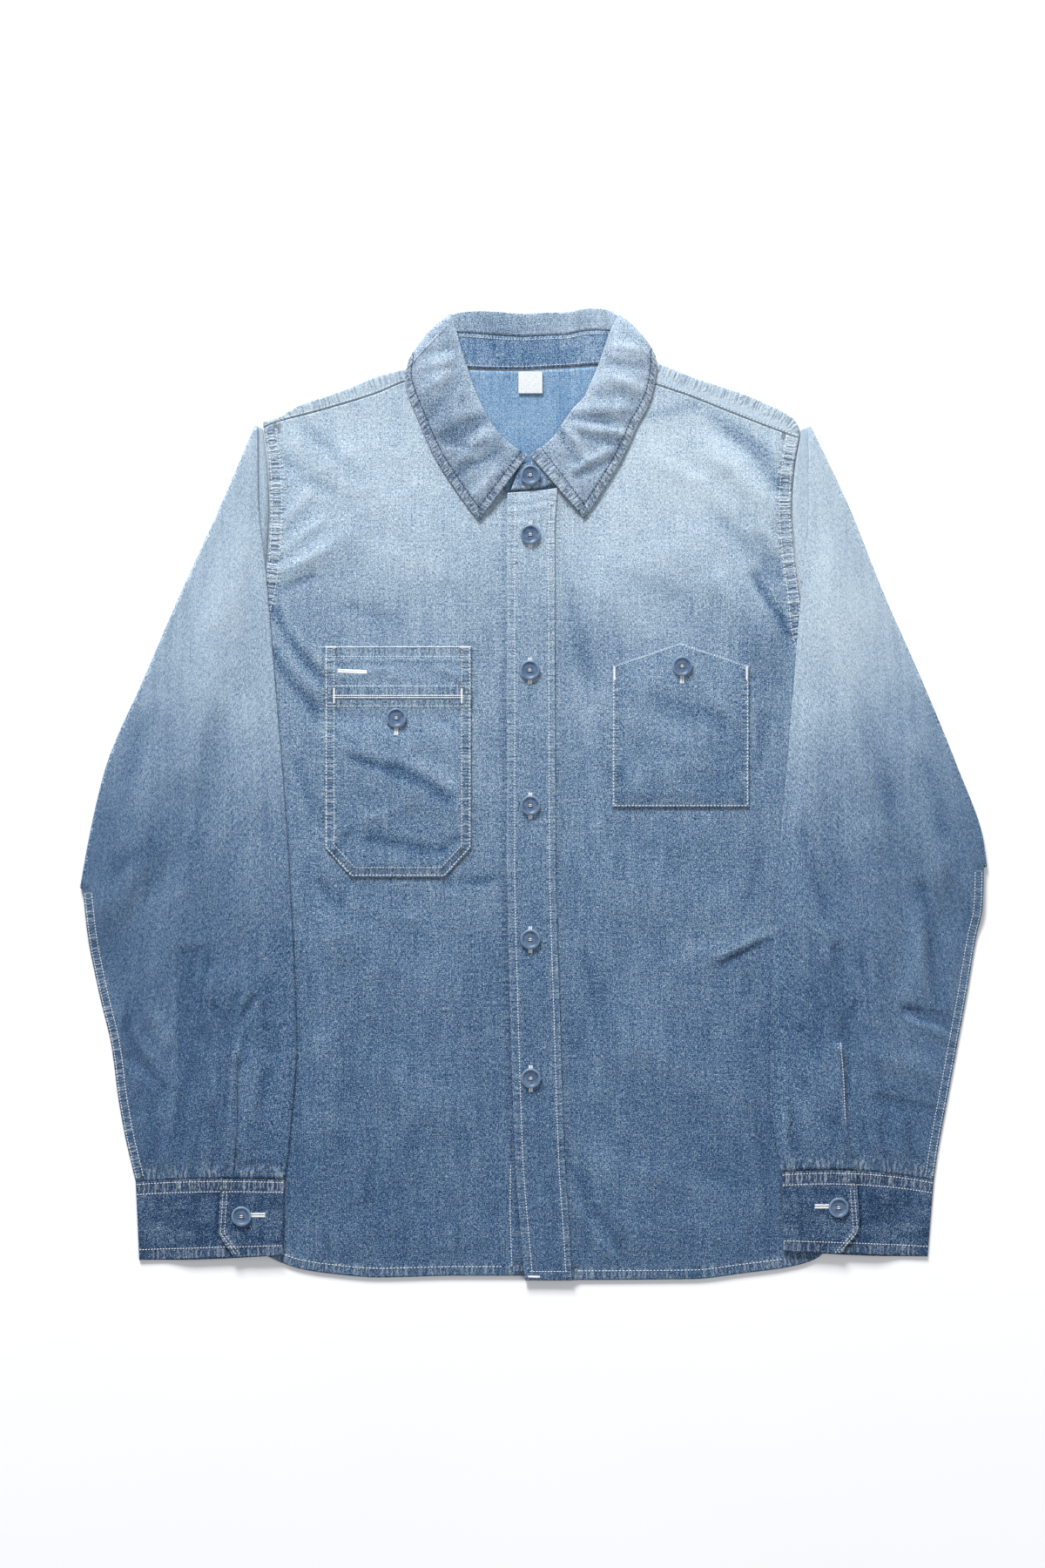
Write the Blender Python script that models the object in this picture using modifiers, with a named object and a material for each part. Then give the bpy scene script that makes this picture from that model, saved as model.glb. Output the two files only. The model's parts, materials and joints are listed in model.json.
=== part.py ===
"""Chambray shirt laid flat on its back, both sleeves turned over its front.

Every cut-and-sewn piece is a thin wall of cloth. Sizes are millimetres: +X is the wearer's left,
+Y runs from the hem to the collar, +Z is up from the surface the shirt lies on.
"""
import math

import bmesh
import bpy
import numpy as np
from mathutils import Vector
from mathutils.bvhtree import BVHTree

MM = 0.001
WALL = 1.0                    # thickness of one cloth wall
GAP = 0.3                     # air between two pieces that touch
LAYER = WALL + GAP            # height from one laid layer to the next
FRONT_Z = LAYER               # underside of a front lying on the back
SLEEVE_H = 2 * WALL + GAP     # thickness of a flattened sleeve
SLEEVE_BASE = 2 * LAYER       # underside of a sleeve lying on a front
FOLD_AXIS = SLEEVE_H + GAP / 2   # height of the line a sleeve turns over about
YOKE_LIFT = LAYER             # the collar's fall lies under the yoke and lifts it
LIFT_FROM, LIFT_TO = 255.0, 327.0   # y over which that lift grows
HALF_FOLD = (WALL + GAP) / 2  # middle radius of a cloth folded on itself

# Right side of the body (photo left): y, x
SIDE_R = ((-332.6, -241.8), (-129, -244.6), (50.4, -246.7), (98.7, -229.4), (143.5, -218.4),
          (178, -211.5), (228.4, -208.4), (257.4, -209.4), (292, -213.6))
# Left side of the body (photo right): y, x
SIDE_L = ((-332.6, 248.1), (-129, 246.7), (53.8, 245.3), (95.2, 226), (133.2, 213.6),
          (160.1, 210.8), (196.6, 206), (229.8, 203.9), (259.4, 206), (284, 210.2), (292, 211.2))
# Hem: x, y
HEM_R = ((-241.8, -332.6), (-226, -355.3), (-208.7, -365.7), (-184.6, -374.7), (-163.9, -378.1),
         (-122.5, -381.6), (-60.4, -380.2), (16.2, -380.2))
HEM_L = ((-12, -383.6), (22.4, -383.6), (125.9, -382.9), (167.3, -378.1), (198.4, -374),
         (223.2, -367.1), (239.8, -349.8), (248.1, -332.6))
# Upper edge of each front: yoke seam, then neckline: x, y
TOP_R = ((-214, 290.5), (-207.3, 293.9), (-174.2, 302.9), (-125.9, 317.4), (-101.8, 327.4),
         (-71.5, 336.5), (-60.4, 305.7), (-36.2, 260.8), (-20.4, 239.4), (16.2, 239.4))
TOP_L = ((-21, 239.4), (17, 243.2), (36.2, 264.3), (60.4, 305.7), (71.5, 334.2),
         (95.6, 325.4), (123.2, 316), (152.8, 304.3), (181.1, 293.2), (211, 282))
# Centre edge of the left front, and the right edge of its placket strip: y, x
CENTRE_L = ((-383.6, -6.6), (-329.1, -11.4), (-294.6, -14.1), (-170.4, -18.3), (-46.9, -21),
            (188.4, -21), (243.2, -20.4))
PLACKET_EDGE = ((-383.6, 30.7), (-354.7, 29.3), (-294.6, 25.2), (-170.4, 21), (-46.9, 17.6),
                (204.9, 16.9), (243.6, 19))
# Shoulder fold of the yoke: x, y
SHOULDER_R = ((-214, 296.2), (-205.3, 298.1), (-184.6, 309.1), (-163.9, 316), (-143.2, 323.6),
              (-122.5, 331.9), (-101.8, 337.4), (-72.8, 347.1))
SHOULDER_L = ((72.8, 349), (94.9, 343.3), (105.2, 339.5), (125.9, 331.2), (146.6, 324.3),
              (167.3, 317.4), (184.6, 309.8), (205.3, 298.8), (211, 290.5))
# Neck edge of the yoke at the back: x, y
NECK_BACK = ((-64, 340.5), (-52.1, 336.7), (-15.5, 335.7), (7.2, 336.7),
             (50, 339.5), (64, 342.5))
NECK_POINT = 71.5             # where yoke seam and neckline of a front meet
NECK_END = 74.5               # where the shoulder's wrap stops beside the neck
YOKE_SEAM_Y = 240.0           # hidden seam of yoke and back, placed as on real shirts
BACK_ROWS, BACK_COLUMNS = 25, 8
BACK_HEM_SHORT = 3.0          # the back's hem ends this much above the front's
SHOULDER_STATIONS, YOKE_LEVELS = 10, 6
NECK_STATIONS = (-64, -52, -34, -14, 7, 28, 50, 64)   # x of the yoke's columns in the neck

# Largest folds of the fronts: x0, y0, x1, y1, height, half width
FRONT_FOLDS = ((-206, 128, -178, 88, 2.4, 12), (-205, 168, -150, 203, 1.7, 13),
               (-150, 262, -95, 205, 1.5, 16), (-142, 30, -66, -4, 1.3, 13),
               (-150, -112, -60, -160, 1.4, 20), (-120, -225, -40, -262, 1.4, 20),
               (-168, -110, -172, -300, 1.8, 15), (150, 272, 184, 228, 1.8, 13),
               (150, 165, 196, 112, 2.2, 13), (140, -128, 190, -104, 1.9, 12),
               (44, -280, 78, -356, 1.6, 13), (64, -60, 150, -95, 1.3, 20),
               (80, -195, 168, -242, 1.5, 21), (60, 165, 150, 205, 1.4, 20))
PUFF = 0.9                    # how far the middle of a front stands off the back

ARMHOLE_GAP = 1.1             # the armhole's chords stay clear of the sleeve's
ARMHOLE_WIDER = (110, 70)     # y over which that gap doubles towards the armpit
ARMHOLE_POINTS = 25
ARMPIT_Y = 52.0

# Sleeve outlines, wearer's right and left. top: height of the armhole's upper end, bow: dip of
# the cuff seam; crease, inner edge and outer edge: x, y
SLEEVE_R = {
    "top": 290.8, "bow": 1.9,
    "crease": ((-220.5, 293.2), (-250.1, 224.2), (-279.1, 160.8), (-308.8, 91.8), (-338.4, 22.8),
               (-351.6, -32.4), (-359.1, -73.8)),
    "inner": ((-218.2, 292.2), (-217.7, 238), (-211.5, 174.6), (-205.3, 101.4), (-197.7, 9),
              (-190.8, -101.4), (-188, -167.7), (-187.3, -198.7), (-188.7, -225.6),
              (-191.5, -254.6), (-193.5, -279.4), (-197, -303.9)),
    "outer": ((-356.7, -74.3), (-352.2, -115.2), (-344, -156.6), (-334.3, -198), (-328.8, -239.4),
              (-324, -267), (-317.7, -294.6), (-315, -305.7)),
}
SLEEVE_L = {
    "top": 290.0, "bow": 4.5,
    "crease": ((219.8, 292.6), (249.4, 229.8), (277, 160.8), (307.4, 91.8), (335.7, 22.8),
               (355.7, -32.4), (359.1, -56.6)),
    "inner": ((217.4, 291.6), (217.7, 229.1), (211.5, 157.3), (205.3, 80.7), (200.4, 22.8),
              (195.6, -32.4), (191.5, -89.7), (188.7, -140.8), (187.3, -191.8), (187.3, -241.5),
              (191.8, -273.2), (196.3, -297.8)),
    "outer": ((356.6, -56.6), (355.7, -87.6), (350.2, -115.2), (343.3, -156.6), (335.7, -198),
              (328.1, -239.4), (320.5, -280.8), (317.1, -304.6)),
}
SLEEVE_FOLDS = ((-258, -150, -262, -292, 1.9, 8), (-298, -140, -293, -292, 1.9, 8),
                (-330, -172, -312, -226, 1.4, 8), (-226, -150, -224, -290, 1.8, 9),
                (-240, 180, -270, 20, 1.9, 15), (-300, 20, -322, -80, 1.5, 13),
                (-225, 60, -226, -90, 1.5, 12), (-270, -20, -296, -120, 1.3, 13),
                (232, -110, 246, -196, 1.9, 9), (318, -62, 298, -160, 2.0, 9),
                (272, -205, 318, -222, 1.5, 9), (215, -250, 226, -292, 1.5, 8),
                (290, -262, 286, -296, 1.5, 8), (236, 180, 264, 20, 1.9, 15),
                (302, 40, 320, -50, 1.5, 13), (218, 60, 214, -100, 1.5, 12),
                (262, -30, 280, -120, 1.3, 13))
SLEEVE_PUFF = 0.7             # how far the middle of a turned sleeve's upper layer stands off
SLEEVE_CELLS = 10             # across one flattened layer
SLEEVE_RINGS = {"flat": 2, "turn": 4, "turned": 15}
SUPPORT_MARGIN, SUPPORT_DROP = 20.0, 26.0   # a sleeve leaves the body's level this far out

# Cuffs: outer edge, inner edge, free end of the overlap, free end under it
CUFF_R = {"outer": (-315, -306, -312.2, -367.8), "inner": (-197, -304.2, -198.4, -363.6),
          "lap": (-246.7, -248.7, -237), "bow": 1.9}
CUFF_L = {"outer": (317.1, -304.9, 312.2, -365), "inner": (196.3, -298.1, 197.7, -360.2),
          "lap": (255, 257.7, 243.5), "bow": 4.5}
CUFF_CELLS, CUFF_UNDER = 8, 6   # cells across, and how many the end under the lap reaches

# Collar, one row a section from the middle of the back round to each front end.
# turn: -1 fall under, 0 at the side fold, 1 fall on top; rx ry roll line, nx ny neck seam,
# ex ey outer edge of the leaf, inner: roll line to stand's edge, bulge: roundness of the fall
COLLAR_R = (
    (-1, -8, 380, -8, 0, -8, 340, 17, 0), (-1, -30, 381.4, -30, 0, -30, 340, 17.5, 0),
    (-1, -50, 382, -50, 0, -50, 340.5, 16, 0), (-1, -62, 380.5, -65, 0, -80, 341, 14, 0),
    (-0.5, -64.5, 379, -72, 352, -97, 341.5, 12, 0.7), (0, -64.5, 379, -72, 352, -97, 341.6, 11, 3),
    (0.5, -64.5, 378.6, -72, 352, -97.5, 341, 10, 2.8),
    (1, -63.6, 374.5, -72.6, 346, -100.6, 336, 9, 2.4),
    (1, -61, 366, -69, 334, -101.8, 327.8, 8, 2.2), (1, -57.6, 354, -63.9, 319, -98.5, 315, 7, 2),
    (1, -52.4, 337.4, -58.3, 304.5, -92, 299, 6, 2), (1, -47.3, 322.2, -51, 290.5, -86, 284.5, 5, 2),
    (1, -41.1, 307.4, -43.8, 277.5, -79, 269.5, 5, 1.8),
    (1, -33.7, 293.9, -36, 263, -71, 256, 5, 1.5), (1, -23.1, 281.2, -27.2, 250, -60, 239.5, 4, 1.2),
    (1, -14.1, 273.9, -21.5, 242, -51, 227, 4, 1), (1, -5, 268.2, -13, 242, -43.5, 217, 4, 0.8))
COLLAR_L = (
    (-1, 14, 381.7, 14, 0, 14, 341, 17, 0), (-1, 34, 382.8, 34, 0, 34, 342, 16.5, 0),
    (-1, 52, 384, 52, 0, 52, 343, 16, 0), (-1, 64, 381.5, 66, 0, 80, 344, 14, 0),
    (-0.5, 66.5, 378.6, 72, 353.5, 94.5, 345, 12, 0.7), (0, 66.5, 378.4, 72, 353.5, 94.8, 345.2, 11, 3),
    (0.5, 66.5, 378, 72, 353.5, 95, 344.6, 10, 2.8), (1, 65.6, 374.5, 72.6, 347, 97.6, 338.5, 9, 2.4),
    (1, 61.8, 368, 69, 334, 96.5, 328, 8, 2.2), (1, 57.6, 357, 63.6, 319, 93.4, 314.5, 7, 2),
    (1, 51.4, 338.8, 57.6, 305, 88, 302, 6, 2), (1, 45.4, 325, 51, 293, 81.6, 290.9, 5, 2),
    (1, 39.7, 313.3, 44.2, 281, 77, 280, 5, 1.8), (1, 32.5, 306, 37, 269.5, 69, 264, 5, 1.5),
    (1, 24.5, 295, 30, 261, 60, 249, 4, 1.2), (1, 14.5, 281, 19, 248, 49, 231.5, 4, 1),
    (1, -2.4, 268.2, 10, 244, 40.4, 219.1, 4, 0.8))
STAND_END = (-9, 264.5, -18, 241)   # free front end of the stand, over the placket: rx ry nx ny
BEND_CENTRE = YOKE_LIFT + WALL + 0.75    # height of the collar's side folds
BEND_RADIUS = BEND_CENTRE - YOKE_LIFT - WALL / 2
ROLL_HEIGHTS = ((0.3, 5.6), (0.8, 5.6), (1, 5.4))   # roll line: share of the way to the front, z
LEAF_EDGE_DROP = LAYER - 0.6  # leaf's outer edge above the bend where it comes over the shoulder
LEAF_EDGE_HEIGHTS = ((0.4, 4.2), (1, 3.7))          # outer edge on the fronts: share, z
STAND_END_Z = 5.3             # upper corner of the stand's free end
COLLAR_FRONT_ROW = 7          # first row that lies wholly on top
COLLAR_LINE = (43.5, 217.0, 0.884, 0.466)   # leaf's outer edge: a point, and its normal

WORK_POCKET = {"x": (-165, -49.2), "top": 118.4, "upper_end": 81.8, "mouth": 87.2, "step": 80.0,
               "bottom": -64.6, "chamfer": (21.0, 23.0)}
POINT_POCKET = {"x": (62.4, 170.6), "top": 102.4, "apex": 120.6, "bottom": -9.4}
POCKET_LOW, POCKET_HIGH = WORK_POCKET["bottom"], WORK_POCKET["top"]
LAID_GAP = GAP + 0.25         # under a patch, more than GAP because its facets differ from the front's
POCKET_ROWS = 10              # rows of a front over the height of the work pocket
FRONT_LEVELS = ([("low", s) for s in np.linspace(0, 1, 15, endpoint=False)]
                + [("mid", s) for s in np.linspace(0, 1, POCKET_ROWS, endpoint=False)]
                + [("high", s) for s in np.linspace(0, 1, 10)])
LABEL = {"x": (-11.8, 7.2), "y": (318, 335.2)}
SLIT_R = ((-202, -238.6), (-225, -238.2), (-255, -238.4), (-280, -240), (-302, -242))  # y, x
SLIT_L = ((-196, 243.6), (-225, 246), (-253, 247.2), (-275, 250), (-295.4, 253.4))     # y, x
SLIT_WIDTH = 4.2

BUTTON_D, BUTTON_SIDES = 15.8, 12
BUTTONS = {"button_front_1": (-2.4, 253.2), "button_front_2": (-2.4, 206.3),
           "button_front_3": (-2.8, 99), "button_front_4": (-2.4, -7.9),
           "button_front_5": (-2.4, -113.8), "button_front_6": (-2.1, -223.6),
           "button_work_pocket": (-108.4, 61.2), "button_point_pocket": (117.6, 102.1),
           "button_cuff_right": (-230.8, -332.6), "button_cuff_left": (241.2, -325.7)}

BUTTON_CARRIERS = (("button_front", "front_placket"), ("button_front_1", "collar_stand"),
                   ("button_work", "work_pocket_lower"), ("button_point", "point_pocket"),
                   ("button_point", "front_left"), ("button_cuff_right", "cuff_right"),
                   ("button_cuff_left", "cuff_left"))
# Outer side of a button, top to bottom: share of the radius, height
BUTTON_PROFILE = ((0, 1.7), (0.64, 1.75), (0.78, 2.8), (0.94, 2.7), (1, 1.2), (0.86, 0), (0, 0))

# Finish: red, green, blue, roughness
FINISHES = {"bleached": (0.42, 0.54, 0.66, 0.85), "worn": (0.24, 0.36, 0.52, 0.85),
            "blue": (0.13, 0.22, 0.36, 0.85), "label": (0.82, 0.84, 0.86, 0.8),
            "button": (0.12, 0.17, 0.27, 0.45)}


def smooth(edges, values):
    """0 to 1 as values pass from edges[0] to edges[1], level at both ends."""
    t = np.clip((np.asarray(values, float) - edges[0]) / (edges[1] - edges[0]), 0, 1)
    return t * t * (3 - 2 * t)


def follow(rows, at):
    """Value at a position along rows of (position, value), smooth and without overshoot."""
    x, y = np.array(rows, float).T
    step = np.diff(x)
    slope = np.diff(y) / step
    turn = np.zeros_like(y)
    turn[0], turn[-1] = slope[0], slope[-1]
    both = slope[:-1] * slope[1:]
    turn[1:-1] = np.where(both > 0, 2 * both / np.where(both > 0, slope[:-1] + slope[1:], 1), 0)
    at = np.clip(np.asarray(at, float), x[0], x[-1])
    k = np.clip(np.searchsorted(x, at) - 1, 0, len(step) - 1)
    s = (at - x[k]) / step[k]
    rise = y[k + 1] - y[k]
    return (y[k] + step[k] * turn[k] * s * (1 - s) ** 2 + rise * s * s * (3 - 2 * s)
            - step[k] * turn[k + 1] * s * s * (1 - s))


def along(points, share):
    """Points at shares 0 to 1 of the length of a plan curve through points."""
    points = np.array(points, float)
    run = np.concatenate(([0], np.cumsum(np.linalg.norm(np.diff(points, axis=0), axis=1))))
    at = np.asarray(share, float) * run[-1]
    return np.stack([follow(np.stack([run, points[:, i]], 1), at) for i in (0, 1)], -1)


def folds(rows, x, y):
    """Height of soft folds: rows of x0, y0, x1, y1, height, half width."""
    total = np.zeros(np.broadcast(x, y).shape)
    for x0, y0, x1, y1, height, width in rows:
        run = math.hypot(x1 - x0, y1 - y0)
        ux, uy = (x1 - x0) / run, (y1 - y0) / run
        lengthwise = (x - x0) * ux + (y - y0) * uy
        beyond = np.maximum(0, np.maximum(-lengthwise, lengthwise - run))
        across = (y - y0) * ux - (x - x0) * uy
        total += height * np.exp(-(across ** 2 + 0.6 * beyond ** 2) / width ** 2)
    return total


def lift(y):
    """Rise of yoke and fronts where the collar's fall lies under them."""
    return YOKE_LIFT * np.clip((np.asarray(y, float) - LIFT_FROM) / (LIFT_TO - LIFT_FROM), 0, 1)


def front_loft(x, y):
    """How far the fronts stand off the back: none at placket, collar, hem or under sleeves."""
    inner = np.where(x < 0, -follow([(b, a) for a, b in SLEEVE_R["inner"]][::-1], y),
                     follow([(b, a) for a, b in SLEEVE_L["inner"]][::-1], y))
    reach = np.abs(x)
    x0, y0, across, up = COLLAR_LINE
    collar = (reach - x0) * across - (y - y0) * up
    window = (smooth((34, 60), reach) * smooth((4, 30), inner - reach)
              * smooth((6, 30), collar) * smooth((-377, -345), y) * smooth((300, 262), y))
    return window * (PUFF + folds(FRONT_FOLDS, x, y))


def support(x, y, side, armpit, corner):
    """Height of what a turned sleeve lies on: the body and the sleeve's own first part."""
    beyond_body = side * x - side * armpit[0]
    run = np.subtract(corner, armpit)
    run = run / np.linalg.norm(run)
    below = side * ((x - armpit[0]) * run[1] - (y - armpit[1]) * run[0])
    far = SUPPORT_MARGIN + SUPPORT_DROP
    return SLEEVE_BASE * np.maximum(*(smooth((far, SUPPORT_MARGIN), d) for d in (beyond_body, below)))


def finish(name):
    """The material of that name, made once."""
    made = bpy.data.materials.get(name)
    if made is None:
        made = bpy.data.materials.new(name)
        made.use_nodes = True
        shader = made.node_tree.nodes["Principled BSDF"]
        red, green, blue, rough = FINISHES[name]
        shader.inputs["Base Color"].default_value = (red, green, blue, 1)
        shader.inputs["Roughness"].default_value = rough
        made.diffuse_color = (red, green, blue, 1)
    return made


def add_object(name, vertices, faces, material):
    """A named object of these vertices (mm) and faces, in the shirt's collection."""
    mesh = bpy.data.meshes.new(name)
    mesh.from_pydata([Vector(v) * MM for v in np.asarray(vertices, float).reshape(-1, 3)], [], faces)
    mesh.materials.append(finish(material))
    made = bpy.data.objects.new(name, mesh)
    shirt.objects.link(made)
    return made


def face_out(made):
    """Turns every face of a closed body outward."""
    work = bmesh.new()
    work.from_mesh(made.data)
    bmesh.ops.recalc_face_normals(work, faces=work.faces)
    work.to_mesh(made.data)
    work.free()
    return made


def grid_faces(rows, columns, around=False):
    """Quads of a grid, closed across the columns when around is set."""
    cells = columns if around else columns - 1
    return [(r * columns + c, r * columns + (c + 1) % columns,
             (r + 1) * columns + (c + 1) % columns, (r + 1) * columns + c)
            for r in range(rows - 1) for c in range(cells)]


def split(faces, points):
    """Each quad as two triangles along its shorter diagonal in plan, the same on every layer."""
    flat = np.round(np.asarray(points, float).reshape(-1, 3)[:, :2], 1)
    halves = []
    for a, b, c, d in faces:
        if math.dist(flat[a], flat[c]) < math.dist(flat[b], flat[d]) + 0.01:
            halves += [(a, b, c), (a, c, d)]
        else:
            halves += [(a, b, d), (b, c, d)]
    return halves


def sheet(name, points, material, faces=None, offset=1.0):
    """An open surface given its wall by Solidify; offset 1 grows it upward."""
    points = np.asarray(points, float)
    if faces is None:
        faces = grid_faces(*points.shape[:2])
    faces = split(faces, points)
    made = add_object(name, points, faces, material)
    flat = made.data.polygons[0].normal.z
    if flat < 0:
        made.data.flip_normals()
    wall = made.modifiers.new("cloth wall", "SOLIDIFY")
    wall.thickness, wall.offset = WALL * MM, offset
    wall.use_even_offset = False
    return made


def shell(name, outer, inner, material, around=False):
    """A loft between unlike sections: two matching surfaces and the rims that join them."""
    rows, columns = outer.shape[:2]
    shift = rows * columns
    faces = split(grid_faces(rows, columns, around), outer)
    faces += [tuple(v + shift for v in reversed(f)) for f in faces]
    last = (rows - 1) * columns
    for c in range(columns if around else columns - 1):
        n = (c + 1) % columns
        faces.append((n, c, c + shift, n + shift))
        faces.append((last + c, last + n, last + n + shift, last + c + shift))
    if not around:
        for r in range(rows - 1):
            a, b, e = r * columns, (r + 1) * columns, columns - 1
            faces.append((a, b, b + shift, a + shift))
            faces.append((b + e, a + e, a + e + shift, b + e + shift))
    return face_out(add_object(name, np.concatenate([outer.reshape(-1, 3), inner.reshape(-1, 3)]),
                               faces, material))


def surface_below(*makers):
    """Reads the height of the highest of these objects straight below a point, in mm."""
    graph = bpy.context.evaluated_depsgraph_get()
    trees = [BVHTree.FromObject(made, graph) for made in makers]

    def height(x, y, otherwise=0.0):
        """Height in mm at a plan point, or otherwise where nothing lies there."""
        found = [tree.ray_cast(Vector((x * MM, y * MM, 1)), Vector((0, 0, -1)))[0] for tree in trees]
        found = [hit.z / MM for hit in found if hit is not None]
        return max(found) if found else otherwise
    return height


def back():
    """The flat back, from the hem to the hidden yoke seam."""
    bottom = HEM_R[:-1] + HEM_L[1:]
    points = np.zeros((BACK_ROWS, BACK_COLUMNS, 3))
    for r, share in enumerate(np.linspace(0, 1, BACK_ROWS)):
        for c, across in enumerate(np.linspace(0, 1, BACK_COLUMNS)):
            y = 0.0
            for _ in range(4):
                left, right = follow(SIDE_R, y), follow(SIDE_L, y)
                x = left + (right - left) * across
                low = follow(bottom, x) + BACK_HEM_SHORT
                y = low + (YOKE_SEAM_Y - GAP / 2 - low) * share
            points[r, c] = x, y, 0
    return sheet("back", points, "blue")


def shoulder_wrap(x, start, fold_rows, seam, first):
    """Chain of a yoke column from its last flat point round the shoulder fold to the front seam."""
    middle = follow(fold_rows, x) - HALF_FOLD - WALL / 2
    seam_y = min(follow(seam, x) + GAP, middle - 1.2)
    points = []
    for angle in (-45, 0, 45, 90):
        turn = math.radians(angle)
        points.append((x, middle + HALF_FOLD * math.cos(turn),
                       WALL / 2 + HALF_FOLD * (1 + math.sin(turn)) + lift(middle)))
    points += [(x, y, WALL / 2 + FRONT_Z + lift(y)) for y in ((middle + seam_y) / 2, seam_y)]
    return points, [start] + [first + k for k in range(len(points))]


def yoke():
    """The yoke, flat over the back's top and wrapped over both shoulders."""
    right = list(np.linspace(SHOULDER_R[0][0] + 0.2, -NECK_END, SHOULDER_STATIONS))
    left = list(np.linspace(NECK_END, SHOULDER_L[-1][0] - 0.6, SHOULDER_STATIONS))
    stations = right + list(NECK_STATIONS) + left
    seam_y = YOKE_SEAM_Y + GAP / 2
    points, faces = [], []
    for x in stations:
        shoulder = abs(x) >= NECK_END
        fold = follow(SHOULDER_R if x < 0 else SHOULDER_L, x) - HALF_FOLD - WALL / 2
        high = fold if shoulder else follow(NECK_BACK, x)
        side = SIDE_R if x < 0 else SIDE_L
        for y in np.linspace(seam_y, high, YOKE_LEVELS):
            shift = (follow(side, min(y, 290)) - side[-1][1]) * smooth((130, 213), abs(x))
            points.append((x + shift, y, WALL / 2 + lift(y)))
    for k in range(len(stations) - 1):
        a, b = k * YOKE_LEVELS, (k + 1) * YOKE_LEVELS
        faces += [(a + v, b + v, b + v + 1, a + v + 1) for v in range(YOKE_LEVELS - 1)]
    last = len(stations) - len(left)
    for columns, fold_rows, seam in ((range(len(right)), SHOULDER_R, TOP_R),
                                     (range(last, len(stations)), SHOULDER_L, TOP_L)):
        wrapped = []
        for k in columns:
            more, chain = shoulder_wrap(stations[k], (k + 1) * YOKE_LEVELS - 1, fold_rows, seam,
                                        len(points))
            points += more
            wrapped.append(chain)
        for a, b in zip(wrapped, wrapped[1:]):
            faces += [(a[i], b[i], b[i + 1], a[i + 1]) for i in range(len(a) - 1)]
    return sheet("yoke", points, "bleached", faces, offset=0.0)


def front_grid(stations, levels, hem, top, rise):
    """Grid of a front: stations gives x at (column, y), levels y at (row, low, high)."""
    columns, rows = len(stations), len(levels)
    points = np.zeros((rows, columns, 3))
    for r, (anchor, share) in enumerate(levels):
        for c, station in enumerate(stations):
            y = 0.0
            for _ in range(5):
                x = station(y)
                low, high = follow(hem, x), follow(top, x) - GAP
                ends = {"low": (low, POCKET_LOW), "mid": (POCKET_LOW, POCKET_HIGH),
                        "high": (POCKET_HIGH, high)}
                a, b = ends[anchor]
                y = a + (b - a) * share
            points[r, c] = x, y, FRONT_Z + front_loft(x, y) + lift(y) + rise(x, y)
    return points


def between(a, b, share):
    """A column that runs at a share of the way from edge a to edge b, both functions of y."""
    return lambda y: a(y) + (b(y) - a(y)) * share


def fronts():
    """Right front under the placket, left front over it, and the placket strip."""
    def fixed(x):
        return lambda y: x

    def side_r(y):
        return follow(SIDE_R, y)

    def side_l(y):
        return follow(SIDE_L, y)

    def centre(y):
        return follow(CENTRE_L, y)

    def strip_edge(y):
        return follow(PLACKET_EDGE, y)

    pocket = WORK_POCKET["x"]
    columns = [between(side_r, fixed(pocket[0]), s) for s in np.linspace(0, 1, 5, endpoint=False)]
    columns += [fixed(x) for x in np.linspace(pocket[0], -NECK_POINT, 6)]
    columns += [fixed(x) for x in (-60.4, pocket[1], -34, -22, -3, 15.8)]
    right = sheet("front_right", front_grid(columns, FRONT_LEVELS, HEM_R, TOP_R, lambda x, y: 0.0),
                  "worn")

    pocket = POINT_POCKET["x"]
    columns = [between(centre, strip_edge, s) for s in (0, 0.5, 1)]
    columns += [lambda y: strip_edge(y) + 7, lambda y: (strip_edge(y) + 7 + pocket[0]) / 2]
    columns += [fixed(pocket[0])] + [fixed(x) for x in np.linspace(NECK_POINT, pocket[1], 7)]
    columns += [between(fixed(pocket[1]), side_l, s) for s in np.linspace(0, 1, 6)[1:]]
    left = sheet("front_left",
                 front_grid(columns, FRONT_LEVELS, HEM_L, TOP_L,
                            lambda x, y: LAYER * smooth((6.5, 0), x - strip_edge(y))), "worn")

    rows = []
    for r in range(len(FRONT_LEVELS)):
        base = front_grid(columns[:3], FRONT_LEVELS[r:r + 1], HEM_L, TOP_L, lambda x, y: 0.0)[0]
        base[:, 2] = FRONT_Z + LAYER + LAYER
        rows.append(base)
    strip = sheet("front_placket", np.array(rows), "worn")
    return right, left, strip


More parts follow.
